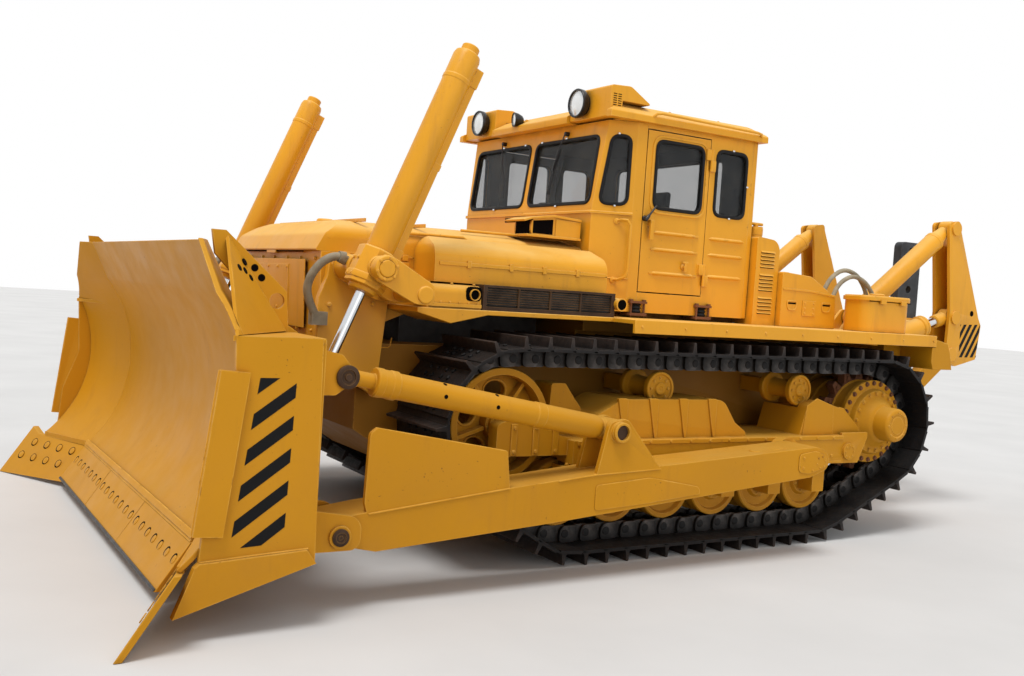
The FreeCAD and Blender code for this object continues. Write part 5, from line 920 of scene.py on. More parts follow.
def rollers():
    """Flanged road wheels and the carrier rollers on their brackets."""
    wheels = Form()
    for x in WHEEL_STATIONS:
        wheels.turned((x, TRACK_Y, WHEEL_Z), SIDE_AXIS,
                      ((-0.140, 0.062), (-0.140, 0.100), (-0.112, 0.118), (-0.112, 0.172), (-0.138, 0.186),
                       (-0.140, 0.212), (-0.132, 0.2195), (-0.060, 0.2195), (-0.050, 0.190), (0.050, 0.190),
                       (0.060, 0.2195), (0.132, 0.2195), (0.140, 0.212), (0.138, 0.186), (0.112, 0.172),
                       (0.112, 0.118), (0.140, 0.100), (0.140, 0.062), (0.128, 0.058), (-0.128, 0.058)),
                      36, ring=True)
        wheels.turned((x, TRACK_Y, WHEEL_Z), SIDE_AXIS, ((-0.136, 0.058), (0.136, 0.058), (0.139, 0.050)), 20)
        bolt_ring("road_wheels", (x, TRACK_Y + 0.139, WHEEL_Z), SIDE_AXIS, 0.080, 6, 0.009, "low_yellow")
    made("road_wheel_discs", wheels.both_sides(), "low_yellow", "road_wheels", 0.0, replaces=("road_wheels",))
    carriers = Form()
    for x in (0.670, 2.020):
        carriers.turned((x, TRACK_Y, CARRIER_Z), SIDE_AXIS,
                        ((-0.165, 0.060), (-0.163, 0.108), (-0.156, 0.117), (-0.120, 0.118), (-0.112, 0.112),
                         (-0.108, 0.074), (-0.095, 0.068), (0.095, 0.068), (0.108, 0.074), (0.112, 0.112),
                         (0.120, 0.118), (0.156, 0.118), (0.163, 0.112), (0.163, 0.099), (0.150, 0.094),
                         (0.150, 0.052), (0.154, 0.046), (0.164, 0.040), (0.165, 0.020), (0.160, 0.016)), 40)
        carriers.block((x - 0.055, 0.8003, CARRIER_Z - 0.055), (x + 0.055, TRACK_Y - 0.155, CARRIER_Z + 0.055))
        bolt_ring("carrier_rollers", (x, TRACK_Y + 0.1505, CARRIER_Z), SIDE_AXIS, 0.074, 8, 0.0085, "low_yellow")
    made("carrier_roller_drums", carriers.both_sides(), "low_yellow", "carrier_rollers", 0.004,
         replaces=("carrier_rollers",))


# Cylinders and braces

LIFT_PIVOT = (4.181, 1.800)
LIFT_EYE = (4.600, 0.780)
LIFT_Y = 1.307


def lift_cylinders():
    """The blade's two lift cylinders: barrels in octagonal trunnions, side pipes and polished rods."""
    down, reach = way(LIFT_PIVOT, LIFT_EYE)
    up = -down
    pivot = Vector((LIFT_PIVOT[0], LIFT_Y, LIFT_PIVOT[1]))
    barrel = Form()
    barrel.turned(pivot, up, ((-0.150, 0.062), (-0.150, 0.080), (-0.142, 0.085), (1.235, 0.085), (1.238, 0.0885),
                              (1.262, 0.0885), (1.265, 0.085), (1.405, 0.085), (1.430, 0.078), (1.440, 0.060),
                              (1.442, 0.055), (1.478, 0.055), (1.485, 0.048)), 48)
    barrel.turned(pivot, up, ((-0.125, 0.098), (-0.118, 0.1205), (0.100, 0.1205), (0.110, 0.104)), 8, phase=0.5)
    barrel.turned(pivot, up, ((-0.095, 0.126), (-0.090, 0.1275), (-0.060, 0.1275), (-0.055, 0.126)), 8, phase=0.5)
    for side in SIDES:
        barrel.turned(pivot, (0, side, 0), ((0.10, 0.072), (0.128, 0.072), (0.134, 0.050), (0.224, 0.050),
                                            (0.229, 0.044)), 32)
    along = math.atan2(up.x, up.z)
    behind = Vector((-up.z, 0.0, up.x))
    for start, end, thick, wide in ((0.06, 1.36, 0.030, 0.026), (0.05, 0.17, 0.036, 0.032),
                                    (1.26, 1.38, 0.036, 0.032), (0.70, 0.74, 0.034, 0.029)):
        middle = pivot + up * ((start + end) / 2) + behind * 0.094
        half = (end - start) / 2
        barrel.block((middle.x - thick, middle.y - wide, middle.z - half),
                     (middle.x + thick, middle.y + wide, middle.z + half), ("Y", along))
    made("lift_cylinder_barrels", barrel.both_sides(), "yellow", "lift_barrels", 0.0025, replaces=("lift_barrels",))
    for side in SIDES:
        bolt_ring("lift_barrels", pivot + Vector((0, side * 0.127, 0)), (0, side, 0), 0.061, 4, 0.0085, phase=0.5)
    for across in (-0.03, 0.03):
        face = pivot - behind * 0.112 + Vector((0, across, 0))
        bolt_row("lift_barrels", face + up * 0.02, face - up * 0.08, 2, tuple(-behind), 0.010)
    rod = Form()
    rod.turned(pivot, down, ((-0.60, 0.029), (reach - 0.075, 0.029)), 40)
    made("lift_rod_bars", rod.both_sides(), "chrome", "lift_rods", 0.0, replaces=("lift_rods",))
    eye = Form()
    eye.turned((LIFT_EYE[0], LIFT_Y - 0.040, LIFT_EYE[1]), SIDE_AXIS, ((0.0, 0.056), (0.004, 0.062), (0.076, 0.062),
                                                                     (0.080, 0.056), (0.080, 0.031), (0.0, 0.031)),
               32, ring=True)
    eye.turned(pivot, down, ((reach - 0.145, 0.031), (reach - 0.135, 0.040), (reach - 0.058, 0.044)), 28)
    made("lift_rod_eyes", eye.both_sides(), "low_yellow", "lift_rods", 0.0)


def lift_brackets():
    """The brackets of the lift cylinders: side plate, bearing boss, outer arm and cross tube."""
    x, z = LIFT_PIVOT
    form = Form()
    form.plate([(3.930, 1.000), (4.340, 1.240), (4.340, 1.600), (x + 0.110, z - 0.060), (x + 0.104, z + 0.040)]
               + [(x + 0.088 * math.cos(math.radians(a)), z + 0.088 * math.sin(math.radians(a)))
                  for a in range(10, 175, 15)] + [(3.880, 1.600)], 0.8503, 0.910)
    arm = [(3.856, 1.606), (3.976, 1.606), (x + 0.060, z - 0.064), (x + 0.010, z + 0.086), (x - 0.060, z + 0.066),
           (3.856, 1.720)]
    for near, far in ((0.905, 0.935), (1.125, 1.162), (1.470, 1.500)):
        form.plate(rounded(arm, 0.03, 3), near, far)
    for near, far, radius in ((0.905, 1.162, 0.078), (1.120, 1.162, 0.088), (1.452, 1.532, 0.074)):
        form.turned((x, near, z), SIDE_AXIS, ((0.0, radius - 0.006), (0.006, radius), (far - near - 0.006, radius),
                                              (far - near, radius - 0.006), (far - near, 0.0505), (0.0, 0.0505)),
                    36, ring=True)
    form.turned((3.918, 0.908, 1.664), SIDE_AXIS, ((0.0, 0.052), (0.600, 0.052), (0.606, 0.046)), 28)
    made("lift_bracket_forms", form.both_sides(), "yellow", "lift_brackets", 0.004, replaces=("lift_brackets",))
    for turn, reach in ((55, 0.150), (125, 0.150), (200, 0.165), (330, 0.150)):
        a = math.radians(turn)
        spot = (x - 0.04 + reach * math.cos(a), 0.9105, z - 0.16 + reach * math.sin(a))
        bolt("lift_brackets", spot, SIDE_AXIS, 0.013)
    bolt_ring("lift_brackets", (x, 1.5325, z), SIDE_AXIS, 0.062, 6, 0.0085)


BRACE_FOOT = (2.786, 0.918)
BRACE_HEAD = (4.561, 1.225)
BRACE_Y = 1.835


def tilt_braces():
    """The braces over the push arms: stepped tube, lock collar, screwed rod and pinned ends."""
    ahead, reach = way(BRACE_FOOT, BRACE_HEAD)
    root = Vector((BRACE_FOOT[0], BRACE_Y, BRACE_FOOT[1]))
    form = Form()
    form.turned(root, ahead, ((0.060, 0.050), (0.085, 0.064), (0.120, 0.072), (0.500, 0.072), (0.505, 0.0755),
                              (0.560, 0.0755), (0.565, 0.072), (reach - 0.335, 0.072), (reach - 0.330, 0.080),
                              (reach - 0.292, 0.080), (reach - 0.290, 0.077), (reach - 0.245, 0.077),
                              (reach - 0.243, 0.080), (reach - 0.205, 0.080), (reach - 0.200, 0.074),
                              (reach - 0.200, 0.046), (reach - 0.196, 0.043), (reach - 0.060, 0.043)), 40)
    for centre, half in ((BRACE_FOOT, 0.0797), (BRACE_HEAD, 0.050)):
        form.turned((centre[0], BRACE_Y - half, centre[1]), SIDE_AXIS,
                    ((0.0, 0.066), (0.006, 0.072), (2 * half - 0.006, 0.072), (2 * half, 0.066), (2 * half, 0.0455),
                     (0.0, 0.0455)), 36, ring=True)
    form.turned(root, ahead, ((0.05, 0.066), (0.115, 0.050)), 24)
    form.turned(root, ahead, ((reach - 0.115, 0.040), (reach - 0.05, 0.052)), 24)
    made("tilt_brace_tubes", form.both_sides(), "low_yellow", "tilt_braces", 0.0, replaces=("tilt_braces",))
    pins = Form()
    pins.turned((BRACE_HEAD[0], 1.730, BRACE_HEAD[1]), SIDE_AXIS,
                ((0.0, 0.045), (0.221, 0.045), (0.2213, 0.058), (0.225, 0.062), (0.2385, 0.062), (0.2425, 0.056),
                 (0.2425, 0.040), (0.234, 0.036), (0.234, 0.020), (0.242, 0.017)), 32)
    made("brace_pins", pins.both_sides(), "burnt", "tilt_braces", 0.0)
    # Dark discs paint the shade in the holes along the brace tubes
    holes = Form()
    above = Vector((-ahead.z, 0.0, ahead.x))
    for share in (0.30, 0.47, 0.66):
        for turn in (math.radians(90.0), math.radians(25.0)):
            out = Vector(SIDE_AXIS) * math.sin(turn) + above * math.cos(turn)
            holes.turned(root + ahead * (reach * share) + out * 0.0722, out, ((-0.004, 0.012), (0.0006, 0.012)), 14)
    made("brace_holes", holes.both_sides(), "painted_shade", "tilt_braces", 0.0)


RIPPER_Y = 0.795
RIPPER_UP = (-0.520, 1.690)
RIPPER_HEAD = (-1.690, 2.550)
RIPPER_LIFT = (-0.720, 1.440)
RIPPER_KNEE = (-1.780, 1.750)


def eye_ring(form, centre, radius, half, bore):
    """A cylinder's eye round its pin."""
    form.turned((centre[0], RIPPER_Y - half, centre[1]), SIDE_AXIS,
                ((0.0, radius - 0.006), (0.006, radius), (2 * half - 0.006, radius), (2 * half, radius - 0.006),
                 (2 * half, bore), (0.0, bore)), 36, ring=True)


def ripper_cylinders():
    """The ripper's upper struts, and its lift cylinders with bolted flanges and short bright rods."""
    ahead, reach = way(RIPPER_UP, RIPPER_HEAD)
    root = Vector((RIPPER_UP[0], RIPPER_Y, RIPPER_UP[1]))
    strut = Form()
    strut.turned(root, ahead, ((0.055, 0.050), (0.095, 0.066), (0.128, 0.078), (0.140, 0.085), (reach - 0.240, 0.085),
                               (reach - 0.236, 0.088), (reach - 0.205, 0.088), (reach - 0.200, 0.080),
                               (reach - 0.160, 0.068), (reach - 0.055, 0.055)), 44)
    for centre in (RIPPER_UP, RIPPER_HEAD):
        eye_ring(strut, centre, 0.070, 0.050, 0.0455)
    made("ripper_struts", strut.both_sides(), "yellow", "ripper_tilt_cylinders", 0.0,
         replaces=("ripper_tilt_cylinders",))
    ahead, reach = way(RIPPER_LIFT, RIPPER_KNEE)
    root = Vector((RIPPER_LIFT[0], RIPPER_Y, RIPPER_LIFT[1]))
    barrel = Form()
    barrel.turned(root, ahead, ((0.055, 0.044), (0.116, 0.046), (0.122, 0.082), (0.130, 0.088), (0.690, 0.088),
                                (0.700, 0.099), (0.728, 0.100), (0.730, 0.096), (0.734, 0.096), (0.736, 0.100),
                                (0.756, 0.100), (0.760, 0.094), (0.760, 0.050), (0.752, 0.044)), 44)
    eye_ring(barrel, RIPPER_LIFT, 0.070, 0.050, 0.0455)
    made("ripper_barrel_tubes", barrel.both_sides(), "yellow", "ripper_lift_barrels", 0.0,
         replaces=("ripper_lift_barrels",))
    bolt_ring("ripper_lift_barrels", root + ahead * 0.759, tuple(ahead), 0.080, 10, 0.0085, "rusty")
    rod = Form()
    rod.turned(root, ahead, ((0.20, 0.042), (reach - 0.10, 0.042)), 40)
    made("ripper_rod_bars", rod.both_sides(), "chrome", "ripper_lift_rods", 0.0, replaces=("ripper_lift_rods",))
    eye = Form()
    eye.turned(root, ahead, ((reach - 0.185, 0.046), (reach - 0.175, 0.058), (reach - 0.06, 0.062)), 32)
    eye.turned((RIPPER_KNEE[0], RIPPER_Y - 0.050, RIPPER_KNEE[1]), SIDE_AXIS,
               ((0.0, 0.069), (0.006, 0.075), (0.094, 0.075), (0.100, 0.069)), 36)
    made("ripper_rod_eyes", eye.both_sides(), "yellow", "ripper_lift_rods", 0.0)


# Blade

def blade_dress():
    """Stripes, edge bolts, weld lines and small plates of the blade."""
    stripes = Form()
    band = [(5.085, 1.235), (4.905, 1.235), (4.927, 0.440), (5.150, 0.428), (5.186, 0.440)]
    slope = Vector((-0.245, 0.180)).normalized()
    normal = (slope.y, -slope.x)
    base = 4.905 * normal[0] + 1.212 * normal[1]
    for k in range(-1, 7):
        top = base - k * 0.1235
        part = between(band, normal, top - 0.055, top)
        if len(part) > 2:
            stripes.plate(part, 2.1545, 2.1562)
    made("blade_stripes", stripes.both_sides(), "stripe", "blade_ends", 0.0)

    edge = Form()
    slots = Form()
    top = Vector((5.210, 0.0, 0.3207))
    foot = Vector((5.380, 0.0, 0.070))
    fall = (foot - top).normalized()
    out = Vector((-fall.z, 0.0, fall.x))
    # Dark discs paint the shade in the countersunk holes; the bolt heads sit off-centre over them so that a dark
    # crescent shows
    for k in range(21):
        y = -1.50 + 0.15 * k
        spot = top + fall * 0.115 + Vector((0, y, 0))
        slots.turned(spot + out * 0.0005, out, ((-0.004, 0.028), (0.0008, 0.028)), 20)
        edge.turned(spot + fall * 0.004 + Vector((0, 0.012, 0)) + out * 0.0008, out,
                    ((-0.004, 0.0235), (0.0015, 0.0235), (0.003, 0.020)), 20)
    made("edge_slots", slots, "painted_shade", "cutting_edge", 0.0)
    made("edge_bolts", edge, "low_yellow", "cutting_edge", 0.0)

    lines = Form()
    lines.plate([(5.150, 0.352), (5.193, 0.345), (5.213, 0.320), (5.196, 0.306), (5.150, 0.306)], -1.556, 1.556)
    lines.plate([(5.186, 0.3675), (5.196, 0.3625), (5.210, 0.338), (5.203, 0.330)], -1.556, 1.556)
    for side in SIDES:
        lines.sweep([(5.160, side * 1.552, 0.331), (5.402, side * 2.115, 0.331)],
                    [(-0.020, -0.016), (0.014, -0.016), (0.014, 0.020), (-0.020, 0.020)])
    for y in (-0.52, 0.52):
        lines.facet([top + Vector((0, y - 0.002, 0)), foot + Vector((0, y - 0.002, 0)),
                     foot + Vector((0, y + 0.002, 0)), top + Vector((0, y + 0.002, 0))], 0.0012)
    made("blade_welds", lines, "low_yellow", "blade", 0.0)

    steps = Form()
    steps.facet([(5.3720, -1.556, 0.0868), (5.3830, -1.556, 0.0720), (5.3830, 1.556, 0.0720),
                 (5.3720, 1.556, 0.0868)], 0.004)
    made("edge_step", steps, "iron", "cutting_edge", 0.001)

    # Dark discs paint the shade in the end bits' bolt holes, with the bolt heads off-centre over them
    bits = Form()
    heads = Form()
    top_in = Vector((5.172, 1.5603, 0.321))
    top_out = Vector((5.480, 2.315, 0.365))
    tip = Vector((5.720, 2.315, 0.0))
    normal = (tip - top_in).cross(top_out - top_in).normalized()
    for row, z in enumerate((0.255, 0.150)):
        for k in range(4):
            y = 1.70 + 0.155 * k + 0.045 * row
            x = top_in.x - ((y - top_in.y) * normal.y + (z - top_in.z) * normal.z) / normal.x
            spot = Vector((x, y, z))
            bits.turned(spot, normal, ((-0.004, 0.034), (0.0008, 0.034)), 18)
            heads.turned(spot + Vector((0.0, -0.013, 0.004)) + normal * 0.0008, normal,
                         ((-0.004, 0.026), (0.0016, 0.026), (0.003, 0.022)), 18)
    made("bit_slots", bits.both_sides(), "painted_shade", "end_bits", 0.0)
    made("bit_bolts", heads.both_sides(), "low_yellow", "end_bits", 0.0)

    # Dark discs paint the shade in the holes of the end boxes' gussets
    marks = Form()
    lean = Vector((-0.6625, 0.5889, 0.463)).normalized()
    for spot, out in (((5.108, 1.810, 1.748), lean), ((5.063, 1.745, 1.778), lean), ((5.068, 1.775, 1.734), lean),
                      ((5.032, 1.761, 1.700), lean), ((5.006, 1.7302, 1.752), Vector(SIDE_AXIS)),
                      ((4.968, 1.7302, 1.704), Vector(SIDE_AXIS))):
        marks.turned(Vector(spot) - lean * 0.0004, out, ((-0.004, 0.019), (0.0012, 0.019)), 16)
    made("gusset_holes", marks.both_sides(), "painted_shade", "blade_ends", 0.0)

    beads = Form()
    for (top_x, top_z), (foot_x, foot_z) in (((5.140, 1.255), (5.232, 0.492)), ((5.280, 1.268), (5.368, 0.500))):
        beads.sweep([(top_x + (foot_x - top_x) * t / 24, 2.1555, top_z + (foot_z - top_z) * t / 24)
                     for t in range(25)], circle(0.006, 6))
    beads.sweep([(4.80, 2.1555, 0.402), (5.05, 2.1555, 0.389), (5.326, 2.1555, 0.372)], circle(0.006, 6))
    made("end_plate_welds", beads.both_sides(), "low_yellow", "blade_ends", 0.0)


def arm_dress():
    """Weld edges, overlaid plates, lubricator covers and pin heads on the push arms."""
    out = 1.945
    form = Form()
    form.plate(rounded([(2.930, 0.600), (2.520, 0.632), (2.120, 0.560), (2.100, 0.510), (2.520, 0.470),
                        (2.930, 0.445)], 0.02, 2), out, out + 0.006)
    form.plate(rounded([(1.075, 0.765), (0.975, 0.735), (0.955, 0.655), (1.120, 0.605), (1.230, 0.620),
                        (1.230, 0.745)], 0.03, 3), out, out + 0.008)
    form.sweep([(3.530, out + 0.001, 0.604), (4.396, out + 0.001, 0.504)], circle(0.007, 6))
    form.sweep([(3.200, out + 0.001, 0.632), (2.930, out + 0.001, 0.661), (2.440, out + 0.001, 0.682)],
               circle(0.007, 6))
    made("arm_plates", form.both_sides(), "low_yellow", "push_arms", 0.003)
    heads = Form()
    heads.turned((4.569, 2.0065, 0.405), SIDE_AXIS, ((0.0, 0.046), (0.008, 0.046), (0.012, 0.040), (0.012, 0.028),
                                                     (0.006, 0.025), (0.006, 0.012), (0.010, 0.010)), 32)
    heads.turned((BRACE_FOOT[0], 1.9735, BRACE_FOOT[1]), SIDE_AXIS, ((0.0, 0.046), (0.0006, 0.046)), 32)
    made("arm_pin_heads", heads.both_sides(), "burnt", "push_arms", 0.0)
    rings = Form()
    rings.turned((BRACE_FOOT[0], 1.9732, BRACE_FOOT[1]), SIDE_AXIS,
                 ((0.0, 0.061), (0.016, 0.061), (0.020, 0.056), (0.020, 0.046), (0.0, 0.046)), 36, ring=True)
    made("arm_pin_rings", rings.both_sides(), "low_yellow", "push_arms", 0.0)
    bolt_ring("push_arms", (1.017, out + 0.008, 0.685), SIDE_AXIS, 0.040, 6, 0.0055, "low_yellow")
    for x, z in ((1.19, 0.72), (1.19, 0.65), (1.10, 0.63)):
        bolt("push_arms", (x, out + 0.007, z), SIDE_AXIS, 0.009, "low_yellow")
    cap = Form()
    cap.turned((1.55, out - 0.10, 0.745), RISE_AXIS, ((-0.02, 0.040), (0.012, 0.040), (0.018, 0.034)), 24)
    cap.block((1.30, out - 0.16, 0.752), (1.44, out - 0.06, 0.772), ("Y", 0.11))
    made("arm_lubricators", cap.both_sides(), "low_yellow", "push_arms", 0.003)


# Cab

def screen_x(z):
    """The station of the windscreen's outer face at a height."""
    return SCREEN_X - SCREEN_SLOPE * max(0.0, z - SCREEN_FOOT_Z)


def opening(start, end):
    """The rounded outline of a window between two places along its wall."""
    return rounded(frame_of(start, end, WINDOW_LOW, WINDOW_HIGH), WINDOW_CORNER, 5)


def gasket(form, points, normal):
    """A rubber seal round a window, over the edge of its opening."""
    section = [(-0.012, -0.012), (0.014, -0.012), (0.014, 0.004), (0.008, 0.009), (-0.006, 0.009), (-0.012, 0.003)]
    form.sweep(points, section, closed=True, up=normal)


def cab_seals():
    """Seals, glazing clips, wipers and the trim round the cab's windows."""
    seals = Form()
    clips = Form()
    wipers = Form()
    for side in SIDES:
        points = [(screen_x(z), side * y, z) for y, z in opening(0.040, 0.860)]
        gasket(seals, points if side < 0 else points[::-1], Vector((1.0, 0.0, SCREEN_SLOPE)).normalized())
        for y, z in ((0.45, 2.368), (0.45, 2.872), (0.12, 2.868)):
            clips.block((screen_x(z) + 0.004, side * y - 0.012, z - 0.006),
                        (screen_x(z) + 0.014, side * y + 0.012, z + 0.006))
        points = [(x, side * CAB_SIDE_Y, z) for x, z in opening(1.050, 1.350)]
        gasket(seals, points if side > 0 else points[::-1], (0, side, 0))
        for x, z in ((1.20, 2.368), (1.20, 2.872), (1.040, 2.62)):
            clips.block((x - 0.010, side * 1.0405 - 0.006, z - 0.006), (x + 0.010, side * 1.0405 + 0.006, z + 0.006))
        corner = Vector((SCREEN_X, side * 0.900, 0.0))
        depth = 0.260
        along = Vector((-depth, side * 0.135, 0.0))
        length = along.length
        along.normalize()
        out = Vector((along.y * side, -along.x * side, 0.0))
        lean = SCREEN_SLOPE * length / depth
        margin = 0.045
        outline = rounded([(margin + lean * (WINDOW_LOW - SCREEN_FOOT_Z), WINDOW_LOW),
                           (margin + lean * (WINDOW_HIGH - SCREEN_FOOT_Z), WINDOW_HIGH),
                           (length - margin, WINDOW_HIGH), (length - margin, WINDOW_LOW)], WINDOW_CORNER, 5)
        points = [corner + along * t + Vector((0, 0, z)) for t, z in outline]
        gasket(seals, points if side > 0 else points[::-1], tuple(out))
        clip = corner + along * (length / 2 + 0.01) + out * 0.008
        for z in (2.368, 2.872):
            clips.block((clip.x - 0.008, clip.y - 0.008, z - 0.006), (clip.x + 0.008, clip.y + 0.008, z + 0.006))
        foot = Vector((screen_x(2.900) + 0.020, side * 0.45, 2.905))
        wipers.turned(foot - Vector((0.03, 0, 0)), LONG_AXIS, ((0.0, 0.016), (0.040, 0.016), (0.046, 0.010)), 14)
        elbow = Vector((screen_x(2.64) + 0.030, side * 0.36, 2.640))
        proud = Vector((0.012, 0, 0))
        wipers.sweep([foot + proud, (foot + elbow) / 2 + proud, elbow], circle(0.005, 6))
        blade_top = Vector((screen_x(2.80) + 0.014, side * 0.395, 2.800))
        blade_low = Vector((screen_x(2.46) + 0.014, side * 0.325, 2.460))
        wipers.sweep([blade_top, blade_low], [(-0.004, -0.010), (0.004, -0.010), (0.006, 0.008), (-0.006, 0.008)])
    gasket(seals, [(0.950, y, z) for y, z in opening(-0.700, 0.700)], (-1, 0, 0))
    made("window_seals", seals, "rubber", "cab_front", 0.0)
    made("glazing_clips", clips, "chrome", "cab_front", 0.001)
    made("wipers", wipers, "lamp", "cab_front", 0.0)
    for name, side in (("door_left", 1.0), ("door_right", -1.0)):
        seal = Form()
        points = [(x, side * CAB_SIDE_Y, z) for x, z in opening(1.480, 1.920)]
        gasket(seal, points if side > 0 else points[::-1], (0, side, 0))
        made(name + "_seal", seal, "rubber", name, 0.0)
        raised = Form()
        points = [(x, side * 1.036, z) for x, z in rounded(frame_of(1.448, 1.952, 2.348, 2.892), 0.090, 6)]
        raised.sweep(points if side > 0 else points[::-1], [(-0.010, -0.003), (0.010, -0.003), (0.006, 0.007),
                                                            (-0.006, 0.007)], closed=True, up=(0, side, 0))
        for z in (1.910, 2.080, 2.200):
            rib(raised, 1.490, 1.915, z + 0.007, side)
        made(name + "_pressings", raised, "yellow", name, 0.0)
        grip = Form()
        grip.turned((1.990, side * 1.030, 2.300), (0, side, 0), ((0.0, 0.020), (0.010, 0.020), (0.014, 0.014),
                                                                 (0.030, 0.012)), 20)
        grip.turned((2.006, side * 1.066, 2.282), (-0.63, 0, 0.77),
                    ((0.0, 0.010), (0.010, 0.014), (0.045, 0.013), (0.055, 0.008), (0.115, 0.007), (0.150, 0.005)),
                    12)
        made(name + "_handle", grip, "lamp", name, 0.0015)
        catch = Form()
        catch.turned((1.605, side * 1.030, 1.980), (0, side, 0), ((0.0, 0.022), (0.012, 0.022), (0.016, 0.014),
                                                                  (0.034, 0.011)), 18)
        catch.block((1.597, side * 1.062 - 0.006, 1.945), (1.613, side * 1.062 + 0.006, 2.018))
        catch.block((1.580, side * 1.062 - 0.005, 2.006), (1.630, side * 1.062 + 0.005, 2.018))
        made(name + "_catch", catch, "yellow", name, 0.0015)


def rib(form, start, end, z, side):
    """A pressed rib in a panel of the cab's side, with pointed ends."""
    wide = 0.015
    foot = [(start, z), (start + 0.035, z + wide), (end - 0.035, z + wide), (end, z), (end - 0.035, z - wide),
            (start + 0.035, z - wide)]
    ridge = frame_of(start + 0.045, end - 0.045, z + 0.004, z - 0.004)
    corners = [form.mesh.verts.new((x, side * (CAB_SIDE_Y - 0.001), height)) for x, height in foot]
    corners += [form.mesh.verts.new((x, side * (CAB_SIDE_Y + 0.017), height)) for x, height in ridge]
    # Corners 0 to 5 are the foot's, 6 to 9 the ridge's
    for face in ((0, 1, 6), (1, 2, 7, 6), (2, 3, 7), (3, 8, 7), (3, 4, 8), (4, 5, 9, 8), (5, 0, 9), (0, 6, 9),
                 (6, 7, 8, 9), (5, 4, 3, 2, 1, 0)):
        form.mesh.faces.new([corners[i] for i in face])


def cab_trim():
    """Belt moulding, pressed ribs, handrails, roof rails and hooks, and the cab's rubber mounts."""
    trim = Form()
    belt = [(2.362, 0.0, 2.318), (2.362, 0.898, 2.318), (2.102, 1.036, 2.318)]
    for side in SIDES:
        points = [(x, side * y, z) for x, y, z in belt]
        trim.sweep(points, [(-0.012, -0.010), (0.010, -0.010), (0.010, 0.004), (-0.004, 0.012), (-0.012, 0.012)])
        for z in (1.925, 2.085, 2.205):
            rib(trim, 1.020, 1.385, z, side)
        trim.sweep([(2.362, side * 0.898, 1.86), (2.102, side * 1.036, 1.86)], circle(0.005, 6))
    for side in SIDES:
        for x in (1.25, 1.72):
            hook = [(x, side * 0.93, 3.060), (x + 0.006, side * 0.93, 3.084), (x + 0.026, side * 0.93, 3.092),
                    (x + 0.046, side * 0.93, 3.084), (x + 0.052, side * 0.93, 3.060)]
            trim.sweep(hook, circle(0.006, 7), up=SIDE_AXIS)
        rail = [(2.01, side * 1.078, 3.008), (1.99, side * 1.100, 3.030), (1.95, side * 1.104, 3.036),
                (1.03, side * 1.104, 3.026), (0.99, side * 1.100, 3.020), (0.97, side * 1.078, 3.002)]
        trim.sweep(rail, circle(0.010, 8))
        grab = [(2.196, side * 0.980, 2.262), (2.186, side * 1.030, 2.272), (2.160, side * 1.064, 2.268),
                (2.140, side * 1.074, 2.235), (2.138, side * 1.074, 1.920), (2.152, side * 1.068, 1.874),
                (2.186, side * 1.030, 1.852), (2.202, side * 0.978, 1.848)]
        trim.sweep(grab, circle(0.010, 8), up=(1, 0.3, 0))
        for z in (2.262, 1.848):
            trim.turned((2.196, side * 0.985, z), (0.46, side * 0.888, 0), ((-0.008, 0.022), (0.008, 0.022),
                                                                           (0.011, 0.016)), 18)
    made("cab_trim", trim, "yellow", "cab_front", 0.0)
    blocks = Form()
    plates = Form()
    for side in SIDES:
        for x in (1.400, 2.010):
            blocks.turned((x, side * 1.000, 1.636), RISE_AXIS, ((-0.010, 0.052), (0.000, 0.058), (0.016, 0.050),
                                                               (0.024, 0.058), (0.040, 0.050), (0.048, 0.058),
                                                               (0.060, 0.050)), 20)
            plates.block((x - 0.075, side * 1.0 - 0.070, 1.694), (x + 0.075, side * 1.0 + 0.068, 1.710))
            plates.block((x - 0.075, side * 1.0 - 0.070, 1.6065), (x + 0.075, side * 1.0 + 0.068, 1.6250))
            for step in (-0.058, 0.058):
                plates.turned((x + step, side * 1.052, 1.600), RISE_AXIS, ((0.0, 0.008), (0.118, 0.008)), 10)
                plates.turned((x + step, side * 1.052, 1.710), RISE_AXIS, ((0.0, 0.015), (0.012, 0.015)), 6)
    made("cab_mounts", blocks, "rubber", "cab_floor", 0.0)
    made("cab_mount_plates", plates, "rusty", "cab_floor", 0.001, slot="iron")


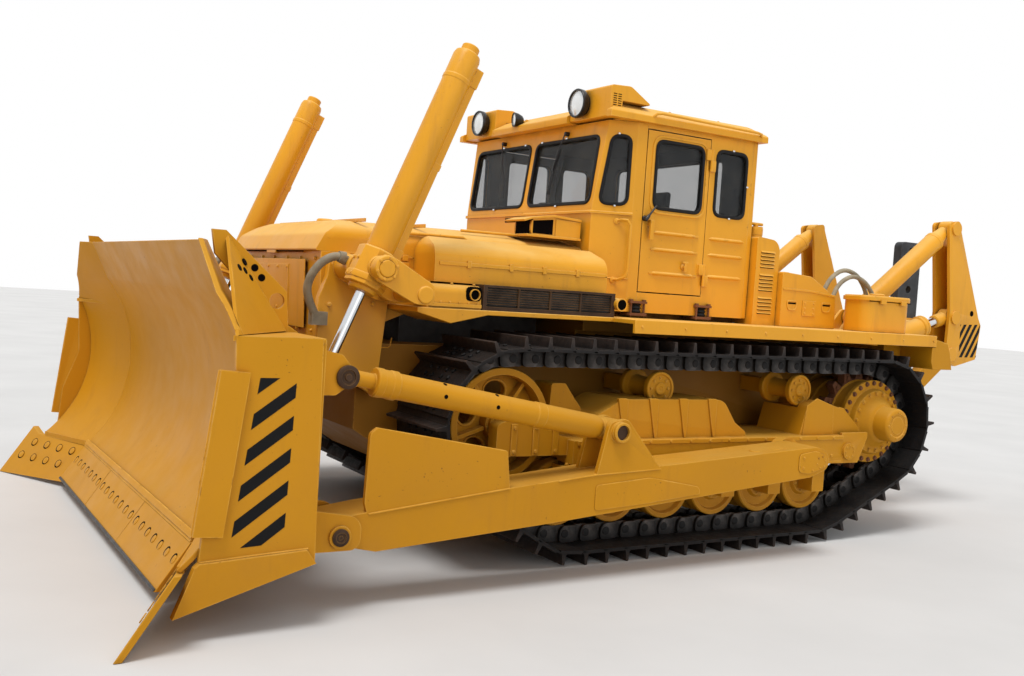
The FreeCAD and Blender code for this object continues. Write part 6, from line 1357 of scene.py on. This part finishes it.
def lamps():
    """Headlamps on the roof boxes, their side louvres and the small work lamp between them."""
    shells = Form()
    lens = Form()
    for side in SIDES:
        middle = (2.3523, side * 0.710, 3.085)
        shells.turned(middle, LONG_AXIS,
                      ((0.0, 0.060), (0.002, 0.078), (0.020, 0.080), (0.024, 0.094), (0.034, 0.101), (0.062, 0.103),
                       (0.070, 0.103), (0.0747, 0.099), (0.0747, 0.091), (0.060, 0.088)), 48)
        lens.turned(middle, LONG_AXIS, ((0.0585, 0.0895), (0.0630, 0.0895), (0.0640, 0.084), (0.0655, 0.074),
                                        (0.0700, 0.056), (0.0725, 0.036), (0.0735, 0.016), (0.0738, 0.004)), 40)
        shells.sweep([(2.372, side * 0.710 - 0.094, 3.050), (2.372, side * 0.710 - 0.108, 3.020),
                      (2.362, side * 0.710 - 0.085, 2.998)], circle(0.005, 6))
    made("headlamp_shells", shells, "lamp", "headlamps", 0.0, replaces=("headlamps",))
    made("headlamp_lenses", lens, "lens", "headlamps", 0.0, slot="lamp")
    work = Form()
    middle = (2.400, -0.170, 3.062)
    aim = (0.96, -0.22, -0.05)
    work.turned(middle, aim, ((-0.075, 0.018), (-0.062, 0.034), (-0.030, 0.050), (-0.004, 0.056), (0.004, 0.056),
                              (0.006, 0.050), (-0.004, 0.047)), 32)
    made("work_lamp", work, "lamp", "cab_roof", 0.0)
    glass = Form()
    glass.turned(middle, aim, ((-0.006, 0.046), (-0.002, 0.046), (0.001, 0.030), (0.002, 0.010)), 28)
    made("work_lamp_glass", glass, "lens", "cab_roof", 0.0, slot="lamp")
    foot = Form()
    foot.sweep([(2.335, -0.165, 3.055), (2.300, -0.140, 3.050), (2.270, -0.090, 3.030), (2.240, -0.060, 3.010)],
               circle(0.011, 8))
    foot.turned((2.268, -0.090, 3.005), RISE_AXIS, ((-0.02, 0.016), (0.036, 0.016), (0.042, 0.012)), 12)
    foot.turned((2.300, -0.142, 3.030), RISE_AXIS, ((0.0, 0.013), (0.036, 0.013), (0.042, 0.009)), 12)
    made("work_lamp_foot", foot, "yellow", "cab_roof", 0.0)
    # Dark strips paint the shade in the lamp boxes' louvre slots
    slots = Form()
    for side in SIDES:
        for column in (2.262, 2.302):
            for k in range(7):
                z = 3.035 + 0.0155 * k
                slots.block((column, side * 1.030 - 0.0008, z), (column + 0.030, side * 1.030 + 0.0008, z + 0.006))
    made("lamp_box_slots", slots, "painted_shade", "lamp_boxes", 0.0)


# The sewn channels of the seat: where they run across the pad, their width and depth, as shares of its half size
CHANNELS = (-0.55, -0.2, 0.2, 0.55)
CHANNEL_WIDTH = 0.035
CHANNEL_DEPTH = 0.07


def driver_seat():
    """The seat: crowned pads with sewn channels on a pedestal, the levers and the wheel."""
    for name, low, high, lean in (("seat_cushion", (1.185, -0.255, 2.000), (1.695, 0.255, 2.118), 0.0),
                                  ("seat_back", (1.100, -0.235, 2.105), (1.205, 0.235, 2.615), -0.034)):
        form = bmesh.new()
        low = Vector(low)
        size = Vector(high) - low
        bmesh.ops.create_cube(form, size=1.0)
        bmesh.ops.subdivide_edges(form, edges=form.edges, cuts=14, use_grid_fill=True)
        flat = min(range(3), key=lambda axis: size[axis])
        for vert in form.verts:
            share = vert.co * 2.0
            others = [share[axis] for axis in range(3) if axis != flat]
            crown = (1.0 - abs(others[0]) ** 3.2) * (1.0 - abs(others[1]) ** 3.2)
            thick = 0.46 + 0.54 * max(0.0, crown) ** 0.45
            if abs(share[flat]) > 0.8:
                thick -= CHANNEL_DEPTH * sum(math.exp(-((others[0] - line) / CHANNEL_WIDTH) ** 2)
                                             for line in CHANNELS)
            around = 0.965 + 0.035 * (1.0 - abs(share[flat]))
            spot = [share[axis] * (thick if axis == flat else around) for axis in range(3)]
            point = low + Vector([(spot[axis] + 1.0) / 2.0 * size[axis] for axis in range(3)])
            point.x += lean * (point.z - low.z) / size.z
            vert.co = point - Vector((SHIFT, 0, 0))
        bmesh.ops.recalc_face_normals(form, faces=form.faces)
        mesh = bpy.data.meshes.new(name)
        form.to_mesh(mesh)
        form.free()
        piece = finish_piece(name, mesh, "seat_cloth", "root", "seat_cloth", angle=80.0)
        smooth = piece.modifiers.new("smooth", "SUBSURF")
        smooth.levels = 1
        smooth.render_levels = 1
        if name == "seat_cushion":
            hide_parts("seat")
    base = Form()
    base.block((1.26, -0.19, 1.6903), (1.54, 0.19, 1.99))
    base.block((1.22, -0.22, 1.975), (1.62, 0.22, 2.005))
    base.block((1.13, -0.20, 2.00), (1.165, 0.20, 2.50), ("Y", -0.04))
    made("seat_pedestal", base, "dash", "seat", 0.010)
    levers = Form()
    for x, y, lean in ((1.95, 0.30, 0.10), (1.95, 0.38, 0.14), (1.95, -0.34, 0.10), (1.72, -0.44, 0.05)):
        levers.sweep([(x, y, 1.690), (x - lean * 0.3, y, 2.05), (x - lean, y, 2.34)], circle(0.009, 8))
        levers.turned((x - lean, y, 2.325), RISE_AXIS,
                      ((0.0, 0.012), (0.012, 0.022), (0.035, 0.026), (0.052, 0.016)), 16)
    levers.turned((2.10, 0.0, 2.20), (-0.35, 0, 1), ((-0.20, 0.020), (0.16, 0.018)), 14)
    ring = [(2.048 + 0.16 * math.cos(a) * 0.94, 0.16 * math.sin(a), 2.365 + 0.16 * math.cos(a) * 0.33)
            for a in (2 * math.pi * k / 28 for k in range(28))]
    levers.sweep(ring, circle(0.011, 8), closed=True, up=(-0.33, 0, 0.94))
    for a in (0.0, 2.1, 4.2):
        levers.sweep([(2.048, 0.0, 2.362), (2.048 + 0.15 * math.cos(a), 0.155 * math.sin(a),
                                            2.365 + 0.05 * math.cos(a))], circle(0.007, 6))
    made("driver_controls", levers, "lamp", "console", 0.0)


# Front and deck details

def hood_dress():
    """Seams, latches, intake and rails of the hood, the radiator's front plates, grille slats and pipe ends."""
    form = Form()
    # Thin dark strips and plates paint the shade in the hood's seams, intake and vents
    dark = Form()
    for side in SIDES:
        form.sweep([(3.660, side * 1.1505, 1.868), (3.30, side * 1.1505, 1.868), (2.385, side * 1.1505, 1.868)],
                   bar(0.006, 0.012))
        for x in (3.45, 3.139, 2.883, 2.616):
            form.block((x - 0.014, side * 1.148 - 0.006, 1.845), (x + 0.014, side * 1.158 + 0.004, 1.892))
        dark.block((2.368, side * 1.150 - 0.0012, 1.857), (3.640, side * 1.150 + 0.0012, 1.861))
        form.block((3.735, side * 0.852 - 0.010, 1.868), (3.775, side * 0.852 + 0.012, 1.905))
        form.block((3.728, side * 0.852 - 0.008, 1.770), (3.782, side * 0.852 + 0.014, 1.858))
        form.block((3.740, side * 0.852 - 0.004, 1.742), (3.770, side * 0.852 + 0.020, 1.772))
        form.sweep([(4.20, side * 0.8505, 1.8898), (3.70, side * 0.8505, 1.8898)], bar(0.004, 0.006))
        dark.block((3.60, side * 0.8503 - 0.0012, 1.8880), (4.16, side * 0.8503 + 0.0012, 1.8915))
        rail = [(3.30, side * 0.835, 1.99), (3.31, side * 0.842, 2.035), (3.34, side * 0.842, 2.05),
                (3.82, side * 0.842, 2.045), (3.85, side * 0.842, 2.03), (3.86, side * 0.835, 1.985)]
        form.sweep(rail, circle(0.011, 8), up=SIDE_AXIS)
        form.sweep([(2.40, side * 0.70, 2.112), (3.28, side * 0.70, 2.106)], circle(0.010, 8))
        for x, z in ((3.608, 1.787), (3.507, 1.696), (3.68, 1.79), (3.64, 1.73), (3.74, 1.70), (3.56, 1.66)):
            bolt("radiator_case", (x, side * 0.8495, z), (0, side, 0), 0.009, both=False)
        pull = [(3.790, 1.372), (3.798, 1.318), (3.812, 1.306), (3.888, 1.306), (3.902, 1.318), (3.912, 1.372)]
        form.sweep([(x, side * 0.802, z) for x, z in pull], [(-0.004, -0.003), (0.004, -0.003), (0.004, 0.004),
                                                             (-0.004, 0.004)], up=SIDE_AXIS)
    for x in (3.60, 4.02):
        form.block((x - 0.006, -0.80, 2.095), (x + 0.006, 0.80, 2.118))
    dark.block((3.66, -0.70, 2.1178), (3.664, 0.70, 2.1205))
    form.turned((3.86, -0.30, 2.105), RISE_AXIS, ((0.0, 0.075), (0.020, 0.075), (0.022, 0.064), (0.040, 0.060),
                                                  (0.048, 0.050)), 32)
    form.block((2.39, 0.58, 2.105), (2.84, 0.84, 2.122))
    cover = rounded([(2.39, 2.105), (2.80, 2.105), (2.80, 2.235), (2.60, 2.262), (2.39, 2.250)], 0.05, 3)
    form.plate(cover, 0.600, 0.620)
    form.plate(cover, 0.800, 0.820)
    form.plate([(2.39, 2.238), (2.62, 2.252), (2.80, 2.226), (2.86, 2.206), (2.87, 2.218), (2.80, 2.240),
                (2.62, 2.268), (2.39, 2.254)], 0.585, 0.835)
    form.plate([(2.39, 2.105), (2.60, 2.105), (2.60, 2.240), (2.39, 2.235)], 0.80, 0.828)
    dark.plate([(2.62, 2.130), (2.785, 2.130), (2.785, 2.216), (2.62, 2.236)], 0.792, 0.8206)
    dark.block((2.80, 0.622, 2.125), (2.8025, 0.798, 2.222))
    for k in range(3):
        dark.block((2.359, -0.27, 2.262 + 0.022 * k), (2.3625, 0.03, 2.272 + 0.022 * k))
    made("hood_fittings", form, "yellow", "hood", 0.002)
    made("hood_gaps", dark, "painted_shade", "hood", 0.0)

    front = Form()
    # A dark strip paints the shade in the gap across the radiator's front
    gaps = Form()
    gaps.block((4.3390, -0.60, 1.881), (4.3425, 0.60, 1.8895))
    front.block((4.330, -0.09, 1.872), (4.350, 0.09, 1.905))
    front.sweep([(4.336, -0.30, 1.800), (4.336, -0.30, 1.640), (4.336, -0.72, 1.640), (4.336, -0.72, 1.800),
                 (4.336, -0.30, 1.800)], bar(0.003, 0.003), up=LONG_AXIS)
    front.facet([(4.3245, -0.64, 1.405), (4.3245, 0.64, 1.405), (4.3388, 0.64, 1.835), (4.3388, -0.64, 1.835)], 0.006)
    front.facet([(4.3335, -0.25, 1.500), (4.3335, 0.35, 1.500), (4.3436, 0.35, 1.800), (4.3436, -0.25, 1.800)], 0.004)
    for z, x in ((1.517, 4.3375), (1.783, 4.3465)):
        bolt_row("radiator_case", (x, -0.225, z), (x, 0.325, z), 4, LONG_AXIS, 0.008, both=False)
    bolt_row("radiator_case", (4.321, -0.76, 1.845), (4.321, 0.76, 1.845), 7, LONG_AXIS, 0.010, both=False)
    bolt_row("radiator_case", (4.321, -0.76, 1.395), (4.321, 0.76, 1.395), 7, LONG_AXIS, 0.010, both=False)
    made("radiator_trim", front, "yellow", "radiator_case", 0.001)
    made("radiator_gaps", gaps, "painted_shade", "radiator_case", 0.0)

    slat = Form()
    slat.plate(bar(0.4825, 0.006), -0.010, 0.010, "z")
    slats = [((2.9025, side * 1.262, 1.6225 + 0.0145 * k), (-0.6 * side, 0.0, 0.0), 1.0)
             for side in SIDES for k in range(8)]
    repeated("grille_slats", slat, slats, "iron", "side_grilles")
    # Dark sheets and discs paint the shade behind the grille slats and inside the pipe mouths
    pocket = Form()
    stubs = Form()
    for side in SIDES:
        pocket.block((2.4215, side * 1.2318 - 0.0005, 1.6165), (3.3835, side * 1.2318 + 0.0005, 1.7335))
        stubs.turned((2.36, side * 1.285, 1.680), (0, side, -0.05),
                     ((-0.10, 0.040), (0.035, 0.040), (0.038, 0.044), (0.046, 0.044), (0.046, 0.036), (0.02, 0.034)),
                     28)
        pocket.turned((2.36, side * 1.330, 1.678), (0, side, -0.05), ((-0.004, 0.034), (0.0008, 0.034)), 24)
        pocket.turned((3.8352, side * 1.200, 1.650), LONG_AXIS, ((-0.004, 0.029), (0.0008, 0.029)), 24)
        pocket.plate(rounded(frame_of(3.425, 3.535, 1.642, 1.732), 0.03, 3), side * 1.2885, side * 1.2908)
        stubs.turned((3.475, side * 1.288, 1.682), (0, side, 0), ((0.0, 0.036), (0.016, 0.036), (0.016, 0.031),
                                                                 (0.0, 0.031)), 28, ring=True)
        stubs.turned((3.790, side * 1.200, 1.650), LONG_AXIS, ((0.0, 0.036), (0.040, 0.036), (0.045, 0.034)), 28)
        stubs.sweep([(3.43, side * 1.296, 1.612), (3.79, side * 1.296, 1.612)],
                    [(-0.012, -0.010), (0.004, -0.010), (0.004, 0.010), (-0.012, 0.010)])
        bolt_row("air_boxes", (3.45, side * 1.290, 1.628), (3.77, side * 1.290, 1.628), 6, (0, side, 0), 0.007,
                 both=False)
        bolt_row("air_boxes", (3.455, side * 1.24, 1.742), (3.770, side * 1.24, 1.742), 3, RISE_AXIS, 0.008,
                 both=False)
    made("grille_depths", pocket, "painted_shade", "side_grilles", 0.0)
    made("pipe_stubs", stubs, "yellow", "air_boxes", 0.0)


def deck_dress():
    """Louvres, filler caps, handles, latch tabs and plates on the rear deck and fenders."""
    form = Form()
    # Dark strips and plates paint the shade in the louvres' slots, in the recesses behind the pulls and in a lid's
    # seam on each side
    dark = Form()
    for side in SIDES:
        for group in range(3):
            for k in range(5):
                z = 1.680 + 0.175 * group + 0.028 * k
                dark.block((0.757, side * 1.1003 - 0.0008, z - 0.0062), (0.898, side * 1.1003 + 0.0008, z - 0.0005))
        middle = (0.860, side * 0.980, 2.300)
        form.turned((middle[0], middle[1], 2.338), RISE_AXIS, ((-0.06, 0.057), (-0.010, 0.057), (0.0, 0.050),
                                                               (0.001, 0.020), (0.030, 0.018)), 32)
        form.turned((middle[0] - 0.07, middle[1], 2.362), LONG_AXIS, ((0.0, 0.009), (0.004, 0.012), (0.136, 0.012),
                                                                      (0.140, 0.009)), 12)
        for x in (0.585, 0.205):
            pull = rounded([(x - 0.055, 1.790), (x - 0.040, 1.722), (x + 0.040, 1.722), (x + 0.055, 1.790)], 0.02, 2)
            form.sweep([(a, side * 1.151, b) for a, b in pull], [(-0.005, -0.003), (0.005, -0.003), (0.005, 0.005),
                                                                 (-0.005, 0.005)], closed=True, up=SIDE_AXIS)
            dark.plate([(x - 0.046, 1.778), (x + 0.046, 1.778), (x + 0.040, 1.766), (x - 0.040, 1.766)],
                       side * 1.1500, side * 1.1512)
        form.block((0.330, side * 1.1500 - 0.006, 1.680), (0.470, side * 1.1500 + 0.007, 1.800))
        for x in (0.352, 0.448):
            for z in (1.700, 1.740, 1.780):
                bolt("deck_boxes", (x, side * 1.1565, z), (0, side, 0), 0.0075, both=False)
        form.sweep([(0.110, side * 1.152, 1.850), (0.400, side * 1.152, 1.876), (0.690, side * 1.152, 1.880)],
                   bar(0.004, 0.008))
        form.block((0.560, side * 1.02 - 0.05, 2.000), (0.640, side * 1.02 + 0.05, 2.012))
        for x in (-0.08, -0.32):
            form.block((x - 0.030, side * 1.466 - 0.004, 1.812), (x + 0.030, side * 1.466 + 0.010, 1.846))
        dark.plate(frame_of(-0.430, 0.060, 1.8275, 1.8345), side * 1.4502, side * 1.4512)
        rim = rounded(frame_of(-0.452, 0.082, 1.193, 1.452), 0.09, 4)
        form.sweep([(x, side * y, 1.868) for x, y in rim], circle(0.008, 8), closed=True)
        form.turned((-0.18, side * 1.32, 1.866), RISE_AXIS, ((0.0, 0.060), (0.022, 0.060), (0.028, 0.050)), 32)
        bolt_row("fenders", (-0.60, side * 1.5635, 1.545), (2.36, side * 1.5635, 1.545), 9, (0, side, 0), 0.008,
                 both=False)
    made("deck_fittings", form, "yellow", "deck_boxes", 0.0015)
    made("deck_gaps", dark, "painted_shade", "louvre_boxes", 0.0)


def frame_dress():
    """Ribs, straps and bolts on the track frames, and the tensioner block."""
    form = Form()
    for x0, x1 in ((1.60, 1.62), (1.86, 1.88), (2.12, 2.14), (2.38, 2.40)):
        form.plate([(x0, 0.80), (x0, 1.062), (x0 + 0.018, 1.068), (x1 + 0.06, 1.068), (x1 + 0.06, 1.060), (x1, 0.80)],
                   1.478, 1.502)
    form.plate([(0.40, 0.80), (0.42, 1.02), (0.60, 1.075), (0.70, 1.02), (0.73, 0.80)], 1.488, 1.496)
    for x in (2.93, 3.08, 3.24):
        form.block((x - 0.022, 1.470, 0.705), (x + 0.022, 1.490, 0.905))
    form.block((0.35, 1.548, 0.770), (2.80, 1.558, 0.800))
    form.block((0.36, 1.548, 0.592), (2.76, 1.556, 0.612))
    made("frame_ribs", form.both_sides(), "low_yellow", "track_frames", 0.003)
    bolt_row("track_frames", (0.46, 1.5575, 0.785), (2.74, 1.5575, 0.785), 14, SIDE_AXIS, 0.010, "low_yellow")
    for x in (2.93, 3.08, 3.24):
        for z in (0.73, 0.88):
            bolt("track_frames", (x, 1.4895, z), SIDE_AXIS, 0.011, "low_yellow")
    for x in WHEEL_STATIONS:
        for step in (-0.075, 0.075):
            bolt("track_frames", (x + step, 1.5495, 0.650), SIDE_AXIS, 0.011, "low_yellow")
    bolt_ring("track_frames", (0.290, 1.5715, 0.680), SIDE_AXIS, 0.046, 8, 0.0065, "low_yellow")


def ripper_dress():
    """Stripes, pin heads and small holes of the ripper's levers."""
    stripes = Form()
    area = [(-1.865, 1.690), (-2.155, 1.700), (-2.130, 1.395), (-1.880, 1.390)]
    normal = (0.85, 0.527)
    centre = -2.0 * normal[0] + 1.545 * normal[1]
    for k in range(-4, 5):
        part = between(area, normal, centre + k * 0.066 - 0.017, centre + k * 0.066 + 0.017)
        if len(part) > 2:
            stripes.plate(part, 0.8895, 0.8912)
    made("ripper_stripes", stripes.both_sides(), "stripe", "ripper_carrier", 0.0)
    heads = Form()
    for x, z in (RIPPER_HEAD, RIPPER_KNEE):
        heads.turned((x, 0.888, z), SIDE_AXIS, ((0.0, 0.050), (0.010, 0.050), (0.014, 0.044), (0.014, 0.022),
                                                (0.010, 0.020)), 28)
    made("ripper_pin_heads", heads.both_sides(), "yellow", "ripper_carrier", 0.0)
    # Dark discs paint the shade in the holes of the ripper's levers and pins
    holes = Form()
    holes.turned((-2.016, 0.8895, 1.797), SIDE_AXIS, ((-0.004, 0.026), (0.0012, 0.026)), 24)
    for x, z in (RIPPER_HEAD, RIPPER_KNEE):
        holes.turned((x, 0.8985, z), SIDE_AXIS, ((-0.004, 0.011), (0.0012, 0.011)), 16)
    made("ripper_lever_holes", holes.both_sides(), "painted_shade", "ripper_carrier", 0.0)


# Pieces that are made anew in full; every other node gets its rounded copy
REBUILT = ("tracks", "sprockets", "idlers", "road_wheels", "carrier_rollers", "lift_barrels", "lift_rods",
           "lift_brackets", "tilt_braces", "ripper_tilt_cylinders", "ripper_lift_barrels", "ripper_lift_rods",
           "headlamps", "seat")
PLAIN_NODES = ("engine", "cab_glass", "door_glass_left", "door_glass_right")


def dress_nodes():
    """Gives every node its finish; the rebuilt and plain ones need no rounded copy."""
    for node, thing in NODES.items():
        for place in thing.material_slots:
            place.material = FINISH[finish_of(node)]
        if node not in PLAIN_NODES and node not in REBUILT:
            dressed(node)


# The photograph's camera, found from the sprocket, idler, blade and cab corners
PHOTO_WIDTH_PX = 1024.0
SENSOR_MM = 36.0
CAMERA_FOCUS_PX = 1052.7
CAMERA_PLACE = (6.6746, 6.9687, 1.7211)
CAMERA_YAW = -2.12215
CAMERA_PITCH = -0.04442
CAMERA_ROLL = 0.06713

# The world's strength as light on the object, and as the background that the camera sees
SKY_LIGHT = 0.56
SKY_SEEN = 1.0


def studio():
    """The floor, the lamps and the camera at the photograph's place."""
    floor = bpy.data.meshes.new("floor")
    reach = 60.0
    floor.from_pydata([(-reach, -reach, 0), (reach, -reach, 0), (reach, reach, 0), (-reach, reach, 0)], [],
                      [(0, 1, 2, 3)])
    f = Finish("pale_floor")
    tone = f.mix(f.span(f.noise(0.6, 4.0), 0.3, 0.7), (0.60, 0.60, 0.60, 1.0), (0.66, 0.66, 0.66, 1.0))
    floor.materials.append(f.done({"Base Color": tone, "Roughness": 0.85}))
    ground = bpy.data.objects.new("floor", floor)
    bpy.context.scene.collection.objects.link(ground)
    ground.location.z = -0.001

    world = bpy.data.worlds.new("studio")
    bpy.context.scene.world = world
    world.use_nodes = True
    tree = world.node_tree
    tree.nodes.clear()
    path = tree.nodes.new("ShaderNodeLightPath")
    seen = None
    for ray in ("Is Camera Ray", "Is Transmission Ray", "Is Glossy Ray"):
        if seen is None:
            seen = path.outputs[ray]
            continue
        joined = tree.nodes.new("ShaderNodeMath")
        joined.operation = "MAXIMUM"
        tree.links.new(seen, joined.inputs[0])
        tree.links.new(path.outputs[ray], joined.inputs[1])
        seen = joined.outputs[0]
    strength = tree.nodes.new("ShaderNodeMix")
    tree.links.new(seen, strength.inputs[0])
    strength.inputs[2].default_value = SKY_LIGHT
    strength.inputs[3].default_value = SKY_SEEN
    sky = tree.nodes.new("ShaderNodeBackground")
    sky.inputs["Color"].default_value = (1.0, 1.0, 1.0, 1.0)
    tree.links.new(strength.outputs[0], sky.inputs["Strength"])
    output = tree.nodes.new("ShaderNodeOutputWorld")
    tree.links.new(sky.outputs[0], output.inputs[0])

    for name, energy, angle, direction, tint in (
            ("key", 2.1, 22.0, (0.30, 0.22, 0.93), (1.0, 0.985, 0.96)),
            ("fill", 0.45, 60.0, (-0.1, 0.95, 0.35), (1.0, 1.0, 1.0))):
        lamp = bpy.data.lights.new(name, "SUN")
        lamp.energy = energy
        lamp.angle = math.radians(angle)
        lamp.color = tint
        holder = bpy.data.objects.new(name, lamp)
        holder.rotation_euler = Vector(direction).to_track_quat("Z", "Y").to_euler()
        bpy.context.scene.collection.objects.link(holder)

    camera = bpy.data.cameras.new("camera")
    camera.sensor_width = SENSOR_MM
    camera.lens = CAMERA_FOCUS_PX * SENSOR_MM / PHOTO_WIDTH_PX
    eye = bpy.data.objects.new("camera", camera)
    bpy.context.scene.collection.objects.link(eye)
    forward = Vector((math.cos(CAMERA_PITCH) * math.cos(CAMERA_YAW), math.cos(CAMERA_PITCH) * math.sin(CAMERA_YAW),
                      math.sin(CAMERA_PITCH)))
    right = forward.cross(Vector(RISE_AXIS)).normalized()
    up = right.cross(forward)
    c = math.cos(CAMERA_ROLL)
    s = math.sin(CAMERA_ROLL)
    turned = Matrix((c * right + s * up, c * up - s * right, -forward)).transposed()
    eye.matrix_world = Matrix.Translation(at(*CAMERA_PLACE)) @ turned.to_4x4()
    bpy.context.scene.camera = eye
    bpy.context.scene.view_settings.view_transform = "Standard"


studio()
dress_nodes()
tracks()
sprockets()
idlers()
rollers()
lift_cylinders()
lift_brackets()
tilt_braces()
ripper_cylinders()
blade_dress()
arm_dress()
cab_seals()
cab_trim()
lamps()
driver_seat()
hood_dress()
deck_dress()
frame_dress()
ripper_dress()
fit_bolts()
